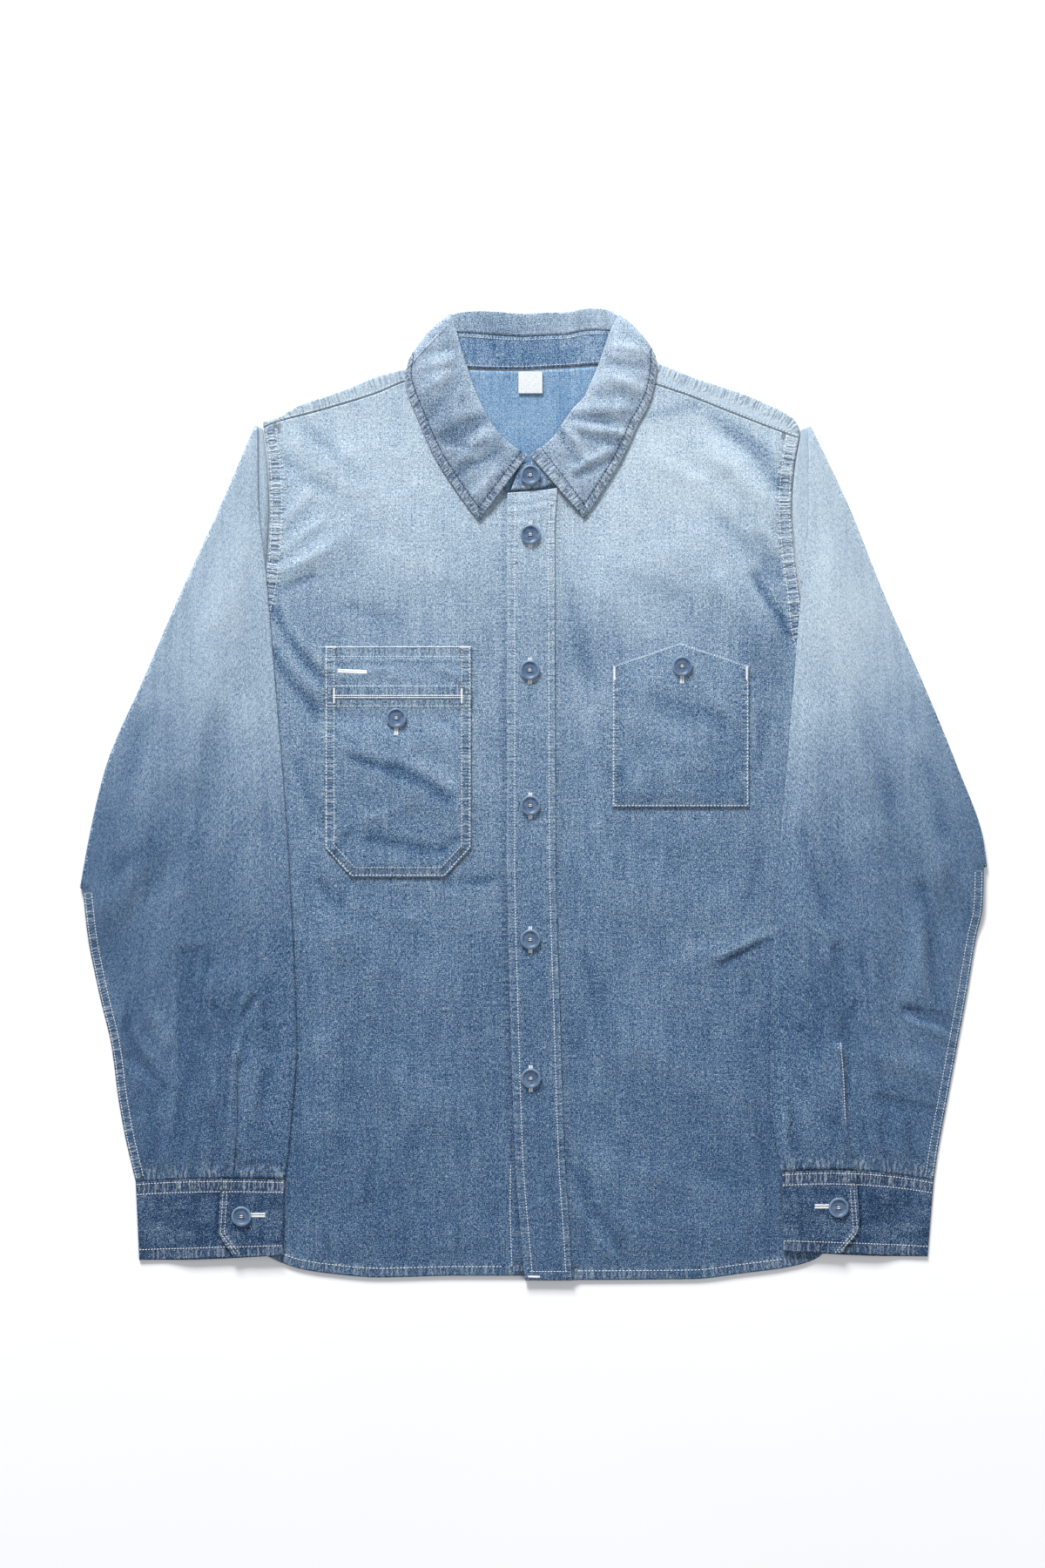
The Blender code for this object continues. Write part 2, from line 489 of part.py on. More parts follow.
def sleeve(name, cut, side, material):
    """A flattened tube from the armhole, turned over at its crease, ending at the cuff."""
    crease = np.array(cut["crease"], float)
    down = np.linspace(cut["top"], ARMPIT_Y, ARMHOLE_POINTS)
    clear = side * ARMHOLE_GAP * (1 + smooth(ARMHOLE_WIDER, down))
    armhole = np.column_stack([follow(SIDE_R if side < 0 else SIDE_L, down) + clear, down])
    counts = SLEEVE_RINGS
    edge, thin = SLEEVE_H / 2, GAP / 2

    def frame_at(share):
        """Point and outward normal of the crease."""
        here = along(crease, share)
        ahead = along(crease, np.clip(share + 0.02, 0, 1)) - along(crease, np.clip(share - 0.02, 0, 1))
        ahead /= np.linalg.norm(ahead, axis=-1, keepdims=True)
        out = np.stack([ahead[..., 1], -ahead[..., 0]], -1) * (1 if side < 0 else -1)
        return here, out

    def axis(share):
        here, out = frame_at(share)
        return here - out * FOLD_AXIS, out

    corner, armpit = axis(np.array([1.0]))[0][0], armhole[-1]
    top_mid = axis(np.array([0.0]))[0][0]

    def flat_ring(step):
        def ring(share):
            return along(armhole, share) * (1 - step) + axis(share)[0] * step
        return ring

    def turned_ring(step):
        inner, outer = along(cut["inner"], step), along(cut["outer"], step)

        def ring(share):
            share = np.asarray(share, float)[..., None]
            straight = top_mid * (1 - share) + corner * share
            bend = (axis(share[..., 0])[0] - straight) * (1 - step) ** 3
            bow = np.array([0, cut["bow"]]) * 4 * share * (1 - share) * step ** 4
            return inner * (1 - share) + outer * share + bend + bow
        return ring

    rings = [("flat", flat_ring(k / counts["flat"]), 0) for k in range(counts["flat"])]
    rings += [("turn", flat_ring(1.0), k / counts["turn"]) for k in range(counts["turn"])]
    rings += [("turned", turned_ring(k / counts["turned"]), k / counts["turned"])
              for k in range(counts["turned"] + 1)]
    outer, inner = [], []
    for kind, ring, turn in rings:
        line = ring(np.linspace(0, 1, 41))
        length = np.linalg.norm(np.diff(line, axis=0), axis=1).sum()
        flats = np.linspace(edge, length - edge, SLEEVE_CELLS + 1)
        loops = []
        for reach, low, high in ((0.0, 0.0, SLEEVE_H), (edge - thin, WALL, WALL + GAP)):
            at = np.concatenate(([reach], flats, [length - reach], flats[::-1])) / length
            height = np.concatenate(([edge], np.full(len(flats), low), [edge],
                                     np.full(len(flats), high)))
            plan = ring(at)
            if kind == "turn":
                out = axis(at)[1]
                angle = math.pi * turn
                plan = plan + out * ((FOLD_AXIS - height) * math.sin(angle))[:, None]
                z = FOLD_AXIS - (FOLD_AXIS - height) * math.cos(angle)
            elif kind == "turned":
                held = support(plan[:, 0], plan[:, 1], side, armpit, corner)
                soft = (smooth((0, 0.12), at) * smooth((1, 0.9), at)
                        * smooth((0, 0.15), turn) * smooth((1, 0.93), turn))
                rise = soft * (SLEEVE_PUFF + folds(SLEEVE_FOLDS, plan[:, 0], plan[:, 1]))
                upper = height < edge - 0.01
                z = held + SLEEVE_H - height + np.where(upper, rise, 0)
            else:
                z = height
            loops.append(np.column_stack([plan, z]))
        outer.append(loops[0])
        inner.append(loops[1])
    made = shell(name, np.array(outer), np.array(inner), material, around=True)
    return made, armpit, corner


def cuff(name, cut, side, armpit, corner):
    """A band folded round the wrist's end, its lap over its other end, with a chamfered corner."""
    shares = (0, 0.32, 0.64, 0.82, 1)
    outer_rows, inner_rows = [], []
    for share in shares:
        xo, yo = (cut["outer"][i] + (cut["outer"][i + 2] - cut["outer"][i]) * share for i in (0, 1))
        xi, yi = (cut["inner"][i] + (cut["inner"][i + 2] - cut["inner"][i]) * share for i in (0, 1))
        lap = follow(((0, cut["lap"][0]), (0.64, cut["lap"][1]), (1, cut["lap"][2])), share)
        tight, wide = HALF_FOLD, LAYER
        xo_in = xo - side * (tight + WALL / 2)
        xi_in = xi + side * (wide + WALL / 2)
        across = np.linspace(xo_in, xi_in, CUFF_CELLS + 1)
        path = [(x, WALL * 1.5 + GAP, 0, 1) for x in across[CUFF_UNDER:0:-1]]
        path += [(xo_in + side * tight * math.cos(a), WALL + GAP / 2 + tight * math.sin(a),
                  side * math.cos(a), math.sin(a)) for a in np.radians((90, 45, 0, -45, -90))]
        path += [(x, WALL / 2, 0, -1) for x in across[1:-1]]
        path += [(xi_in - side * wide * math.cos(a), WALL / 2 + wide + wide * math.sin(a),
                  -side * math.cos(a), math.sin(a)) for a in np.radians((-90, -45, 0, 45, 90))]
        path += [(x, WALL / 2 + 2 * wide, 0, 1) for x in (*across[-2:CUFF_UNDER - 1:-1], lap)]
        outer, inner = [], []
        for x, height, nx, nz in path:
            u = np.clip((x - xo) / (xi - xo), 0, 1)
            y = yo + (yi - yo) * u + cut["bow"] * 4 * u * (1 - u) * (1 - share)
            y -= 1.2 * 4 * u * (1 - u) * share * (nz < -0.9)
            base = float(support(np.array(x), np.array(y), side, armpit, corner))
            outer.append((x + nx * WALL / 2, y, base + height + nz * WALL / 2))
            inner.append((x - nx * WALL / 2, y, base + height - nz * WALL / 2))
        outer_rows.append(outer)
        inner_rows.append(inner)
    return shell(name, np.array(outer_rows), np.array(inner_rows), "blue")


def collar_points(row, side, k):
    """Frame of one collar section: roll line, neck seam and outer edge, and the fall's normal."""
    turn, rx, ry, nx, ny, ex, ey = row[:7]
    angle = math.radians(90 * turn)
    fall = np.array([ex - rx, ey - ry]) / math.hypot(ex - rx, ey - ry)
    out = np.array([-fall[1], fall[0]])
    out = out if out[1] > 0 else -out
    normal = np.array([out[0] * math.cos(angle), out[1] * math.cos(angle), math.sin(angle)])
    shift = np.append(out * BEND_RADIUS * math.cos(angle), 0)
    bend_z = BEND_CENTRE + BEND_RADIUS * math.sin(angle)
    if turn == 1:
        progress = max(0, k - COLLAR_FRONT_ROW) / (len(COLLAR_R) - 1 - COLLAR_FRONT_ROW)
        roll_z = float(follow(((0, bend_z),) + ROLL_HEIGHTS, progress))
        edge_z = float(follow(((0, bend_z + LEAF_EDGE_DROP),) + LEAF_EDGE_HEIGHTS, progress))
        on_placket = 2 * LAYER * float(smooth((26, 14), nx)) if side > 0 else 0
        seam_z = FRONT_Z + WALL / 2 + float(lift(ny)) + on_placket
    else:
        roll_z = seam_z = bend_z
        edge_z = bend_z + LAYER * math.sin(angle)
    if turn == -1:
        ny = float(follow(NECK_BACK, nx)) + 1.2
    roll, seam = np.array([rx, ry, roll_z]) + shift, np.array([nx, ny, seam_z]) + shift
    edge = np.array([ex, ey, edge_z]) + shift + np.append(out * LAYER, 0) * math.cos(angle)
    return roll, seam, edge, normal


def collar_section(row, side, k):
    """Middle line and normals of one section: of the stand, and of the leaf round the roll line."""
    inside, bulge = row[7:]
    roll, seam, edge, normal = collar_points(row, side, k)
    run = np.linalg.norm(seam - roll)
    down = (seam - roll) / run
    square = normal - down * normal.dot(down)
    square /= np.linalg.norm(square)
    first = inside + 2 * GAP
    stand = [(roll + down * (first + (run - first) * t), square) for t in (0, 0.5, 1)]
    middle = roll + square * HALF_FOLD
    leaf = [(roll + down * inside, -square)]
    for step in (-90, -45, 0, 45, 90):
        a = math.radians(step)
        ray = square * math.sin(a) - down * math.cos(a)
        leaf.append((middle + ray * HALF_FOLD, ray))
    start = roll + square * 2 * HALF_FOLD
    for t in (0.22, 0.45, 0.72, 1):
        leaf.append((start + (edge - start) * t + normal * bulge * 4 * t * (1 - t), normal))
    return stand, leaf


def collar():
    """Stand and leaf: each section is a line from neck seam to roll line, and the fall beyond."""
    rows = [(row, -1, k) for k, row in reversed(list(enumerate(COLLAR_R)))]
    rows += [(row, 1, k) for k, row in enumerate(COLLAR_L)]
    sections = [collar_section(*row) for row in rows]
    rx, ry, nx, ny = STAND_END
    roll, seam = np.array([rx, ry, STAND_END_Z]), np.array([nx, ny, FRONT_Z + 2 * LAYER + WALL / 2])
    free_end = [(seam + (roll - seam) * t, np.array([0, 0, 1])) for t in (0.86, 0.43, 0)]
    made = []
    for name, lines, material in (("collar_stand", [s for s, _ in sections[1:]] + [free_end], "worn"),
                                  ("collar_leaf", [leaf for _, leaf in sections], "bleached")):
        walls = [np.array([[p + n * WALL / 2 * way for p, n in line] for line in lines])
                 for way in (1, -1)]
        made.append(shell(name, *walls, material))
    return made


def laid(name, plan, height, material, rise=None):
    """A piece laid on what is below it: plan is a grid of x, y, height the surface's height."""
    points = [[(x, y, height(x, y) + LAID_GAP + (rise(x, y) if rise else 0)) for x, y in row]
              for row in plan]
    return sheet(name, points, material)


def work_pocket(front):
    """Upper patch with its own hem, and the lower patch that laps it and ends in cut corners."""
    cut, carried = WORK_POCKET, surface_below(front)
    (x0, x1), (corner_x, corner_y) = cut["x"], cut["chamfer"]
    xs = list(np.linspace(x0, -NECK_POINT, 6)) + [-60.4, x1]
    step = (cut["top"] - cut["bottom"]) / POCKET_ROWS
    ys = [cut["top"], cut["top"] - step, cut["upper_end"]]
    upper = laid("work_pocket_upper", [[(x, y) for x in xs] for y in ys], carried, "worn")
    level = [cut["bottom"] + step * k for k in range(POCKET_ROWS)]
    plan = []
    for y in (cut["mouth"], cut["step"], *level[7:1:-1], cut["bottom"] + corner_y, level[1],
              cut["bottom"]):
        cut_in = corner_x * max(0, 1 - (y - cut["bottom"]) / corner_y)
        low, high = x0 + cut_in, x1 - cut_in
        last = len(xs) - 1
        plan.append([(float(np.clip(x, low + 0.4 * k, high - 0.4 * (last - k))) if cut_in else x, y)
                     for k, x in enumerate(xs)])
    lower = laid("work_pocket_lower", plan, carried, "worn",
                 lambda x, y: LAYER * float(smooth((level[7], cut["step"]), y)))
    return upper, lower


def point_pocket(front):
    """The pocket whose mouth rises to a point in the middle."""
    cut = POINT_POCKET
    (x0, x1), middle = cut["x"], sum(cut["x"]) / 2
    xs = [x0] + list(np.linspace(NECK_POINT, x1, 7))
    xs.insert(4, middle)
    plan = []
    for share in np.linspace(0, 1, 8):
        peaks = [(cut["apex"] - cut["top"]) * (1 - abs(x - middle) / (x1 - middle)) for x in xs]
        plan.append([(x, cut["bottom"] + (cut["top"] + peak - cut["bottom"]) * share)
                     for x, peak in zip(xs, peaks)])
    return laid("point_pocket", plan, surface_below(front), "worn")


def bindings_and_label(made):
    """Slit bindings on the sleeves and the blank neck label on the yoke."""
    for name, rows, carrier, side in (("slit_binding_right", SLIT_R, made["sleeve_right"], 1),
                                      ("slit_binding_left", SLIT_L, made["sleeve_left"], -1)):
        rows = rows[::-1]
        plan = [[(float(follow(rows, y)) + side * w, y) for w in (0, SLIT_WIDTH / 2, SLIT_WIDTH)]
                for y in np.linspace(rows[0][0], rows[-1][0], 12)]
        laid(name, plan, surface_below(carrier), "worn")
    (x0, x1), (y0, y1) = LABEL["x"], LABEL["y"]
    laid("neck_label", [[(x, y) for x in np.linspace(x0, x1, 3)] for y in np.linspace(y0, y1, 4)],
         surface_below(made["yoke"]), "label")


def button(name, x, y, height):
    """A turned button laid on what carries it, height giving that surface."""
    radius = BUTTON_D / 2
    rim = [height(x + radius * math.cos(a), y + radius * math.sin(a))
           for a in np.linspace(0, 2 * math.pi, 16, endpoint=False)]
    base = max(rim + [height(x, y)]) + GAP
    mesh = bpy.data.meshes.new(name)
    mesh.from_pydata([(r * radius * MM, 0, z * MM) for r, z in BUTTON_PROFILE],
                     [(k, k + 1) for k in range(len(BUTTON_PROFILE) - 1)], [])
    mesh.materials.append(finish("button"))
    turned = bpy.data.objects.new(name, mesh)
    turned.location = x * MM, y * MM, base * MM
    shirt.objects.link(turned)
    screw = turned.modifiers.new("turned", "SCREW")
    screw.steps = screw.render_steps = BUTTON_SIDES
    screw.use_merge_vertices, screw.merge_threshold = True, 0.00001
    screw.use_smooth_shade = True


def buttons(made):
    """Every button on its carrier."""
    for name, (x, y) in BUTTONS.items():
        below = [made[node] for start, node in BUTTON_CARRIERS if name.startswith(start)]
        button(name, x, y, surface_below(*below))


def main():
    """Builds every piece."""
    made = {}
    right, left, strip = fronts()
    for name, cut, cuff_cut, side in (("right", SLEEVE_R, CUFF_R, -1), ("left", SLEEVE_L, CUFF_L, 1)):
        made["sleeve_" + name], armpit, corner = sleeve("sleeve_" + name, cut, side, "worn")
        made["cuff_" + name] = cuff("cuff_" + name, cuff_cut, side, armpit, corner)
    stand, leaf = collar()
    upper, lower = work_pocket(right)
    point = point_pocket(left)
    for piece in (back(), yoke(), right, left, strip, stand, leaf, upper, lower, point):
        made[piece.name] = piece
    bindings_and_label(made)
    buttons(made)


for old in list(bpy.data.objects):
    bpy.data.objects.remove(old, do_unlink=True)
shirt = bpy.data.collections.new("chambray_shirt")
bpy.context.scene.collection.children.link(shirt)
main()
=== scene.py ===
"""Looks of the chambray shirt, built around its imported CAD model.

The shirt lies on its back with both sleeves turned over its front. Sizes in the tables are
millimetres in the shirt's own frame: +X is the wearer's left, +Y runs from hem to collar, +Z is up.
"""
from __future__ import annotations

import json
import logging
import math
from collections import Counter
from dataclasses import dataclass, field
from enum import Enum
from typing import Callable, Iterable, Sequence

import bpy
import numpy as np
from mathutils import Matrix, Vector
from mathutils.bvhtree import BVHTree

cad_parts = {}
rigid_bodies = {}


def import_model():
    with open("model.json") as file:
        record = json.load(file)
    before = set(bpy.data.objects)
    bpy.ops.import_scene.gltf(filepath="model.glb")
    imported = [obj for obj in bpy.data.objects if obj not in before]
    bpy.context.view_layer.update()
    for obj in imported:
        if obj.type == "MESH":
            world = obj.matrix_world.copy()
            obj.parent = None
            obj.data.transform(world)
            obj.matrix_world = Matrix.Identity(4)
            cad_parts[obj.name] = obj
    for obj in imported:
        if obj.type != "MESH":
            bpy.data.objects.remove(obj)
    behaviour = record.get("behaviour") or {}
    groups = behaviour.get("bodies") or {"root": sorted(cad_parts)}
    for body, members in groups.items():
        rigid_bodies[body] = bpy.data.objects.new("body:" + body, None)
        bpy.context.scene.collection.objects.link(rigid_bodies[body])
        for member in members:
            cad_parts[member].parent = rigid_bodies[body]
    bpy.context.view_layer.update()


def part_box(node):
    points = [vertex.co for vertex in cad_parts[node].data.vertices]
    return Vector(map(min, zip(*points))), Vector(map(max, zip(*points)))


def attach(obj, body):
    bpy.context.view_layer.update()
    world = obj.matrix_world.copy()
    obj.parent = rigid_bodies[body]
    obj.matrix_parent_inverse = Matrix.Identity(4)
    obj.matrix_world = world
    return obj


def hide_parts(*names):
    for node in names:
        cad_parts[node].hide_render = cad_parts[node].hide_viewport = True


log = logging.getLogger("shirt")

Table = Sequence[Sequence[float]]
Path = np.ndarray
Tint = tuple[float, float, float]
Station = Callable[[np.ndarray], np.ndarray]
Piece = bpy.types.Object
Finish = bpy.types.Material
Socket = bpy.types.NodeSocket

MM = 0.001
WALL = 1.0
GAP = 0.3
LAYER = WALL + GAP
FRONT_Z = LAYER
SLEEVE_H = 2 * WALL + GAP
SLEEVE_BASE = 2 * LAYER
FOLD_AXIS = SLEEVE_H + GAP / 2
YOKE_LIFT = LAYER
LIFT_FROM, LIFT_TO = 255.0, 327.0
HALF_FOLD = (WALL + GAP) / 2
ARMPIT_Y = 52.0
NECK_POINT, NECK_END = 71.5, 74.5
YOKE_SEAM_Y = 240.0
SUPPORT_MARGIN, SUPPORT_DROP = 20.0, 26.0
BEND_CENTRE = YOKE_LIFT + WALL + 0.75
BEND_RADIUS = BEND_CENTRE - YOKE_LIFT - WALL / 2

# Right side of the body, as worn, and its left side: y, x
SIDE_R = (
    (-332.6, -241.8), (-129, -244.6), (50.4, -246.7), (98.7, -229.4), (143.5, -218.4),
    (178, -211.5), (228.4, -208.4), (257.4, -209.4), (292, -213.6))
SIDE_L = (
    (-332.6, 248.1), (-129, 246.7), (53.8, 245.3), (95.2, 226), (133.2, 213.6), (160.1, 210.8),
    (196.6, 206), (229.8, 203.9), (259.4, 206), (284, 210.2), (292, 211.2))
# Hem: x, y
HEM_R = (
    (-241.8, -332.6), (-226, -355.3), (-208.7, -365.7), (-184.6, -374.7), (-163.9, -378.1),
    (-122.5, -381.6), (-60.4, -380.2), (16.2, -380.2))
HEM_L = (
    (-12, -383.6), (22.4, -383.6), (125.9, -382.9), (167.3, -378.1), (198.4, -374), (223.2, -367.1),
    (239.8, -349.8), (248.1, -332.6))
# Upper edge of each front: yoke seam, then neckline: x, y
TOP_R = (
    (-214, 290.5), (-207.3, 293.9), (-174.2, 302.9), (-125.9, 317.4), (-101.8, 327.4),
    (-71.5, 336.5), (-60.4, 305.7), (-36.2, 260.8), (-20.4, 239.4), (16.2, 239.4))
TOP_L = (
    (-21, 239.4), (17, 243.2), (36.2, 264.3), (60.4, 305.7), (71.5, 334.2), (95.6, 325.4),
    (123.2, 316), (152.8, 304.3), (181.1, 293.2), (211, 282))
# Centre edge of the left front, and the placket's other edge: y, x
CENTRE_L = (
    (-383.6, -6.6), (-329.1, -11.4), (-294.6, -14.1), (-170.4, -18.3), (-46.9, -21), (188.4, -21),
    (243.2, -20.4))
PLACKET_EDGE = (
    (-383.6, 30.7), (-354.7, 29.3), (-294.6, 25.2), (-170.4, 21), (-46.9, 17.6), (204.9, 16.9),
    (243.6, 19))
# Shoulder fold of the yoke, and its neck edge at the back: x, y
SHOULDER_R = (
    (-214, 296.2), (-205.3, 298.1), (-184.6, 309.1), (-163.9, 316), (-143.2, 323.6),
    (-122.5, 331.9), (-101.8, 337.4), (-72.8, 347.1))
SHOULDER_L = (
    (72.8, 349), (94.9, 343.3), (105.2, 339.5), (125.9, 331.2), (146.6, 324.3), (167.3, 317.4),
    (184.6, 309.8), (205.3, 298.8), (211, 290.5))
NECK_BACK = ((-64, 340.5), (-52.1, 336.7), (-15.5, 335.7), (7.2, 336.7), (50, 339.5), (64, 342.5))

# Largest folds of the fronts, as in the solids: x0, y0, x1, y1, height, half width
FRONT_FOLDS = (
    (-206, 128, -178, 88, 2.4, 12), (-205, 168, -150, 203, 1.7, 13), (-150, 262, -95, 205, 1.5, 16),
    (-142, 30, -66, -4, 1.3, 13), (-150, -112, -60, -160, 1.4, 20),
    (-120, -225, -40, -262, 1.4, 20), (-168, -110, -172, -300, 1.8, 15),
    (150, 272, 184, 228, 1.8, 13), (150, 165, 196, 112, 2.2, 13), (140, -128, 190, -104, 1.9, 12),
    (44, -280, 78, -356, 1.6, 13), (64, -60, 150, -95, 1.3, 20), (80, -195, 168, -242, 1.5, 21),
    (60, 165, 150, 205, 1.4, 20))
# Creases of the fronts, finer than the folds: x0, y0, x1, y1, height, half width
FRONT_CREASES = (
    (-207, 146, -168, 90, -2.2, 3.6), (-201, 138, -160, 96, 0.9, 4.5),
    (-206, 112, -170, 62, -1.8, 3.4), (-204, 190, -172, 214, 0.9, 4.5),
    (-205, 176, -166, 192, 1.0, 4.0), (-204, 206, -180, 236, 0.8, 4.5),
    (-206, 160, -176, 172, -0.9, 3.5), (-196, 262, -160, 238, -0.8, 5.0),
    (-176, 292, -140, 250, -0.7, 5.5), (-120, 196, -60, 172, 0.5, 7.0),
    (-150, 150, -110, 138, -0.5, 5.0), (-186, 28, -170, -20, -0.6, 5.0),
    (-140, -86, -96, -98, 0.5, 5.0), (-70, -70, -38, -64, -0.6, 4.0),
    (-48, -66, -30, -62, -0.8, 3.0), (-168, -68, -150, -86, -0.7, 4.0),
    (-170, -190, -160, -260, 0.6, 5.0), (-60, -300, -40, -350, 0.5, 5.0),
    (-130, -300, -122, -350, -0.4, 5.0), (95, 300, 126, 309, -1.0, 4.0),
    (143, 298, 164, 282, -1.2, 6.0), (164, 282, 178, 268, -1.6, 6.0),
    (178, 268, 192, 244, -1.4, 6.0), (150, 262, 176, 236, 0.9, 7.0), (110, 262, 150, 226, 0.7, 8.0),
    (28, 160, 46, 96, -0.6, 7.0), (150, 214, 190, 176, -0.8, 6.0), (178, 172, 202, 128, -1.9, 4.0),
    (168, 176, 190, 134, 1.0, 5.0), (150, -126, 189, -108, 1.4, 2.6),
    (150, -131, 188, -113, -1.0, 3.0), (26, -305, 60, -364, 0.8, 5.0),
    (34, -300, 66, -360, -0.7, 4.0), (185, 60, 172, 10, -0.6, 5.0), (180, 214, 196, 196, 0.8, 4.0),
    (176, 202, 198, 178, -0.7, 4.0), (60, 176, 110, 158, -0.4, 7.0), (40, 60, 52, -30, 0.5, 5.0),
    (182, -40, 168, -90, -0.5, 5.0), (90, -300, 150, -318, 0.5, 6.0),
    (176, -250, 186, -320, -0.8, 4.5), (168, -240, 176, -330, 0.6, 5.0),
    (42, -130, 60, -190, -0.4, 6.0))
PLACKET_CREASES = (
    (-24, 233, 14, 237, 0.8, 2.4), (-24, 224, 14, 229, 0.9, 2.6), (-20, 215, 4, 219, 0.6, 2.4),
    (-16, 150, 14, 156, 0.3, 4), (-18, 52, 10, 46, 0.3, 4), (-18, -60, 12, -54, 0.3, 4),
    (-16, -160, 14, -168, 0.3, 4), (-12, -262, 16, -256, 0.3, 4), (-8, -330, 20, -322, 0.35, 4))
PUFF = 1.2
ARMHOLE_GAP = 1.1

# Sleeve outlines, wearer's right and left: crease, inner edge and outer edge as x, y
SLEEVE_R = {
    "top": 290.8, "bow": 1.9,
    "crease": ((-220.5, 293.2), (-250.1, 224.2), (-279.1, 160.8), (-308.8, 91.8), (-338.4, 22.8),
               (-351.6, -32.4), (-359.1, -73.8)),
    "inner": ((-218.2, 292.2), (-217.7, 238), (-211.5, 174.6), (-205.3, 101.4), (-197.7, 9),
              (-190.8, -101.4), (-188, -167.7), (-187.3, -198.7), (-188.7, -225.6),
              (-191.5, -254.6), (-193.5, -279.4), (-197, -303.9)),
    "outer": ((-356.7, -74.3), (-352.2, -115.2), (-344, -156.6), (-334.3, -198), (-328.8, -239.4),
              (-324, -267), (-317.7, -294.6), (-315, -305.7)),
}
SLEEVE_L = {
    "top": 290.0, "bow": 4.5,
    "crease": ((219.8, 292.6), (249.4, 229.8), (277, 160.8), (307.4, 91.8), (335.7, 22.8),
               (355.7, -32.4), (359.1, -56.6)),
    "inner": ((217.4, 291.6), (217.7, 229.1), (211.5, 157.3), (205.3, 80.7), (200.4, 22.8),
              (195.6, -32.4), (191.5, -89.7), (188.7, -140.8), (187.3, -191.8), (187.3, -241.5),
              (191.8, -273.2), (196.3, -297.8)),
    "outer": ((356.6, -56.6), (355.7, -87.6), (350.2, -115.2), (343.3, -156.6), (335.7, -198),
              (328.1, -239.4), (320.5, -280.8), (317.1, -304.6)),
}
SLEEVE_FOLDS = (
    (-258, -150, -262, -292, 1.9, 8), (-298, -140, -293, -292, 1.9, 8),
    (-330, -172, -312, -226, 1.4, 8), (-226, -150, -224, -290, 1.8, 9),
    (-240, 180, -270, 20, 1.9, 15), (-300, 20, -322, -80, 1.5, 13), (-225, 60, -226, -90, 1.5, 12),
    (-270, -20, -296, -120, 1.3, 13), (232, -110, 246, -196, 1.9, 9), (318, -62, 298, -160, 2.0, 9),
    (272, -205, 318, -222, 1.5, 9), (215, -250, 226, -292, 1.5, 8), (290, -262, 286, -296, 1.5, 8),
    (236, 180, 264, 20, 1.9, 15), (302, 40, 320, -50, 1.5, 13), (218, 60, 214, -100, 1.5, 12),
    (262, -30, 280, -120, 1.3, 13))
SLEEVE_CREASES = (
    (-321, -184, -311, -208, -1.6, 2.6), (-319, -206, -296, -233, -1.6, 2.8),
    (-314, -184, -304, -206, 0.9, 3.0), (-252, -168, -239, -190, -1.5, 2.6),
    (-222, -162, -237, -190, -1.7, 2.6), (-266, -130, -263, -196, -1.2, 6.0),
    (-266, -196, -262, -264, -1.1, 5.0), (-211, -168, -205, -202, -1.0, 3.6),
    (-316, -288, -306, -300, -1.2, 2.6), (-238, -296, -200, -293, -1.4, 2.2),
    (-228, -288, -206, -285, 0.8, 2.4), (-300, -170, -290, -196, 0.8, 5.0),
    (-236.4, -200, -237.6, -280, 1.5, 2.6), (-240.4, -196, -241.2, -250, -1.6, 2.0),
    (241.6, -200, 247, -270, 1.4, 2.6), (246, -198, 249, -240, -1.6, 2.0),
    (232, -168, 243, -193, -1.6, 2.6), (256, -164, 245, -192, -1.5, 2.6),
    (-276, -130, -280, -280, -1.6, 4.5), (-282, -150, -286, -262, 0.8, 4.5),
    (-236, -160, -240, -200, -1.5, 3.4), (-228, -196, -232, -214, -1.2, 3.2),
    (-320, -178, -310, -214, -1.5, 4.0), (-340, -150, -318, -190, 0.8, 5.0),
    (-210, -150, -206, -200, -0.7, 4.5), (-212, -220, -214, -290, -0.9, 4.0),
    (-300, -240, -304, -296, -0.9, 3.6), (-252, -250, -250, -298, -1.0, 3.2),
    (-268, -262, -268, -300, -0.8, 3.0), (-222, -262, -222, -298, -0.8, 3.0),
    (-330, -60, -300, -40, -0.6, 6.0), (-250, 60, -270, -40, -0.5, 8.0),
    (-310, 60, -320, 20, -0.5, 7.0), (-230, 200, -236, 120, 0.4, 6.0),
    (240, -122, 250, -196, -1.8, 3.6), (232, -136, 240, -190, -1.4, 3.4),
    (222, -158, 226, -204, -0.9, 4.0), (198, -176, 212, -190, -1.9, 2.8),
    (310, -76, 322, -158, -1.5, 5.0), (298, -170, 338, -184, -2.2, 4.0),
    (300, -178, 336, -192, 1.0, 4.0), (274, -240, 324, -256, -1.6, 4.0),
    (196, -250, 206, -298, 1.2, 3.4), (201, -248, 213, -298, -1.1, 3.0),
    (300, -256, 306, -300, -0.9, 3.4), (236, -262, 238, -296, -0.9, 3.2),
    (262, -264, 262, -300, -0.8, 3.2), (278, -262, 282, -300, -0.9, 3.0),
    (214, -30, 230, -90, -0.5, 6.0), (258, 80, 280, -10, -0.5, 8.0), (310, 20, 326, -30, -0.6, 7.0),
    (232, 200, 240, 110, 0.4, 6.0))
SLEEVE_PUFF = 1.0

CUFF_R = {"outer": (-315, -306, -312.2, -367.8), "inner": (-197, -304.2, -198.4, -363.6),
          "lap": (-246.7, -248.7, -237), "bow": 1.9}
CUFF_L = {"outer": (317.1, -304.9, 312.2, -365), "inner": (196.3, -298.1, 197.7, -360.2),
          "lap": (255, 257.7, 243.5), "bow": 4.5}

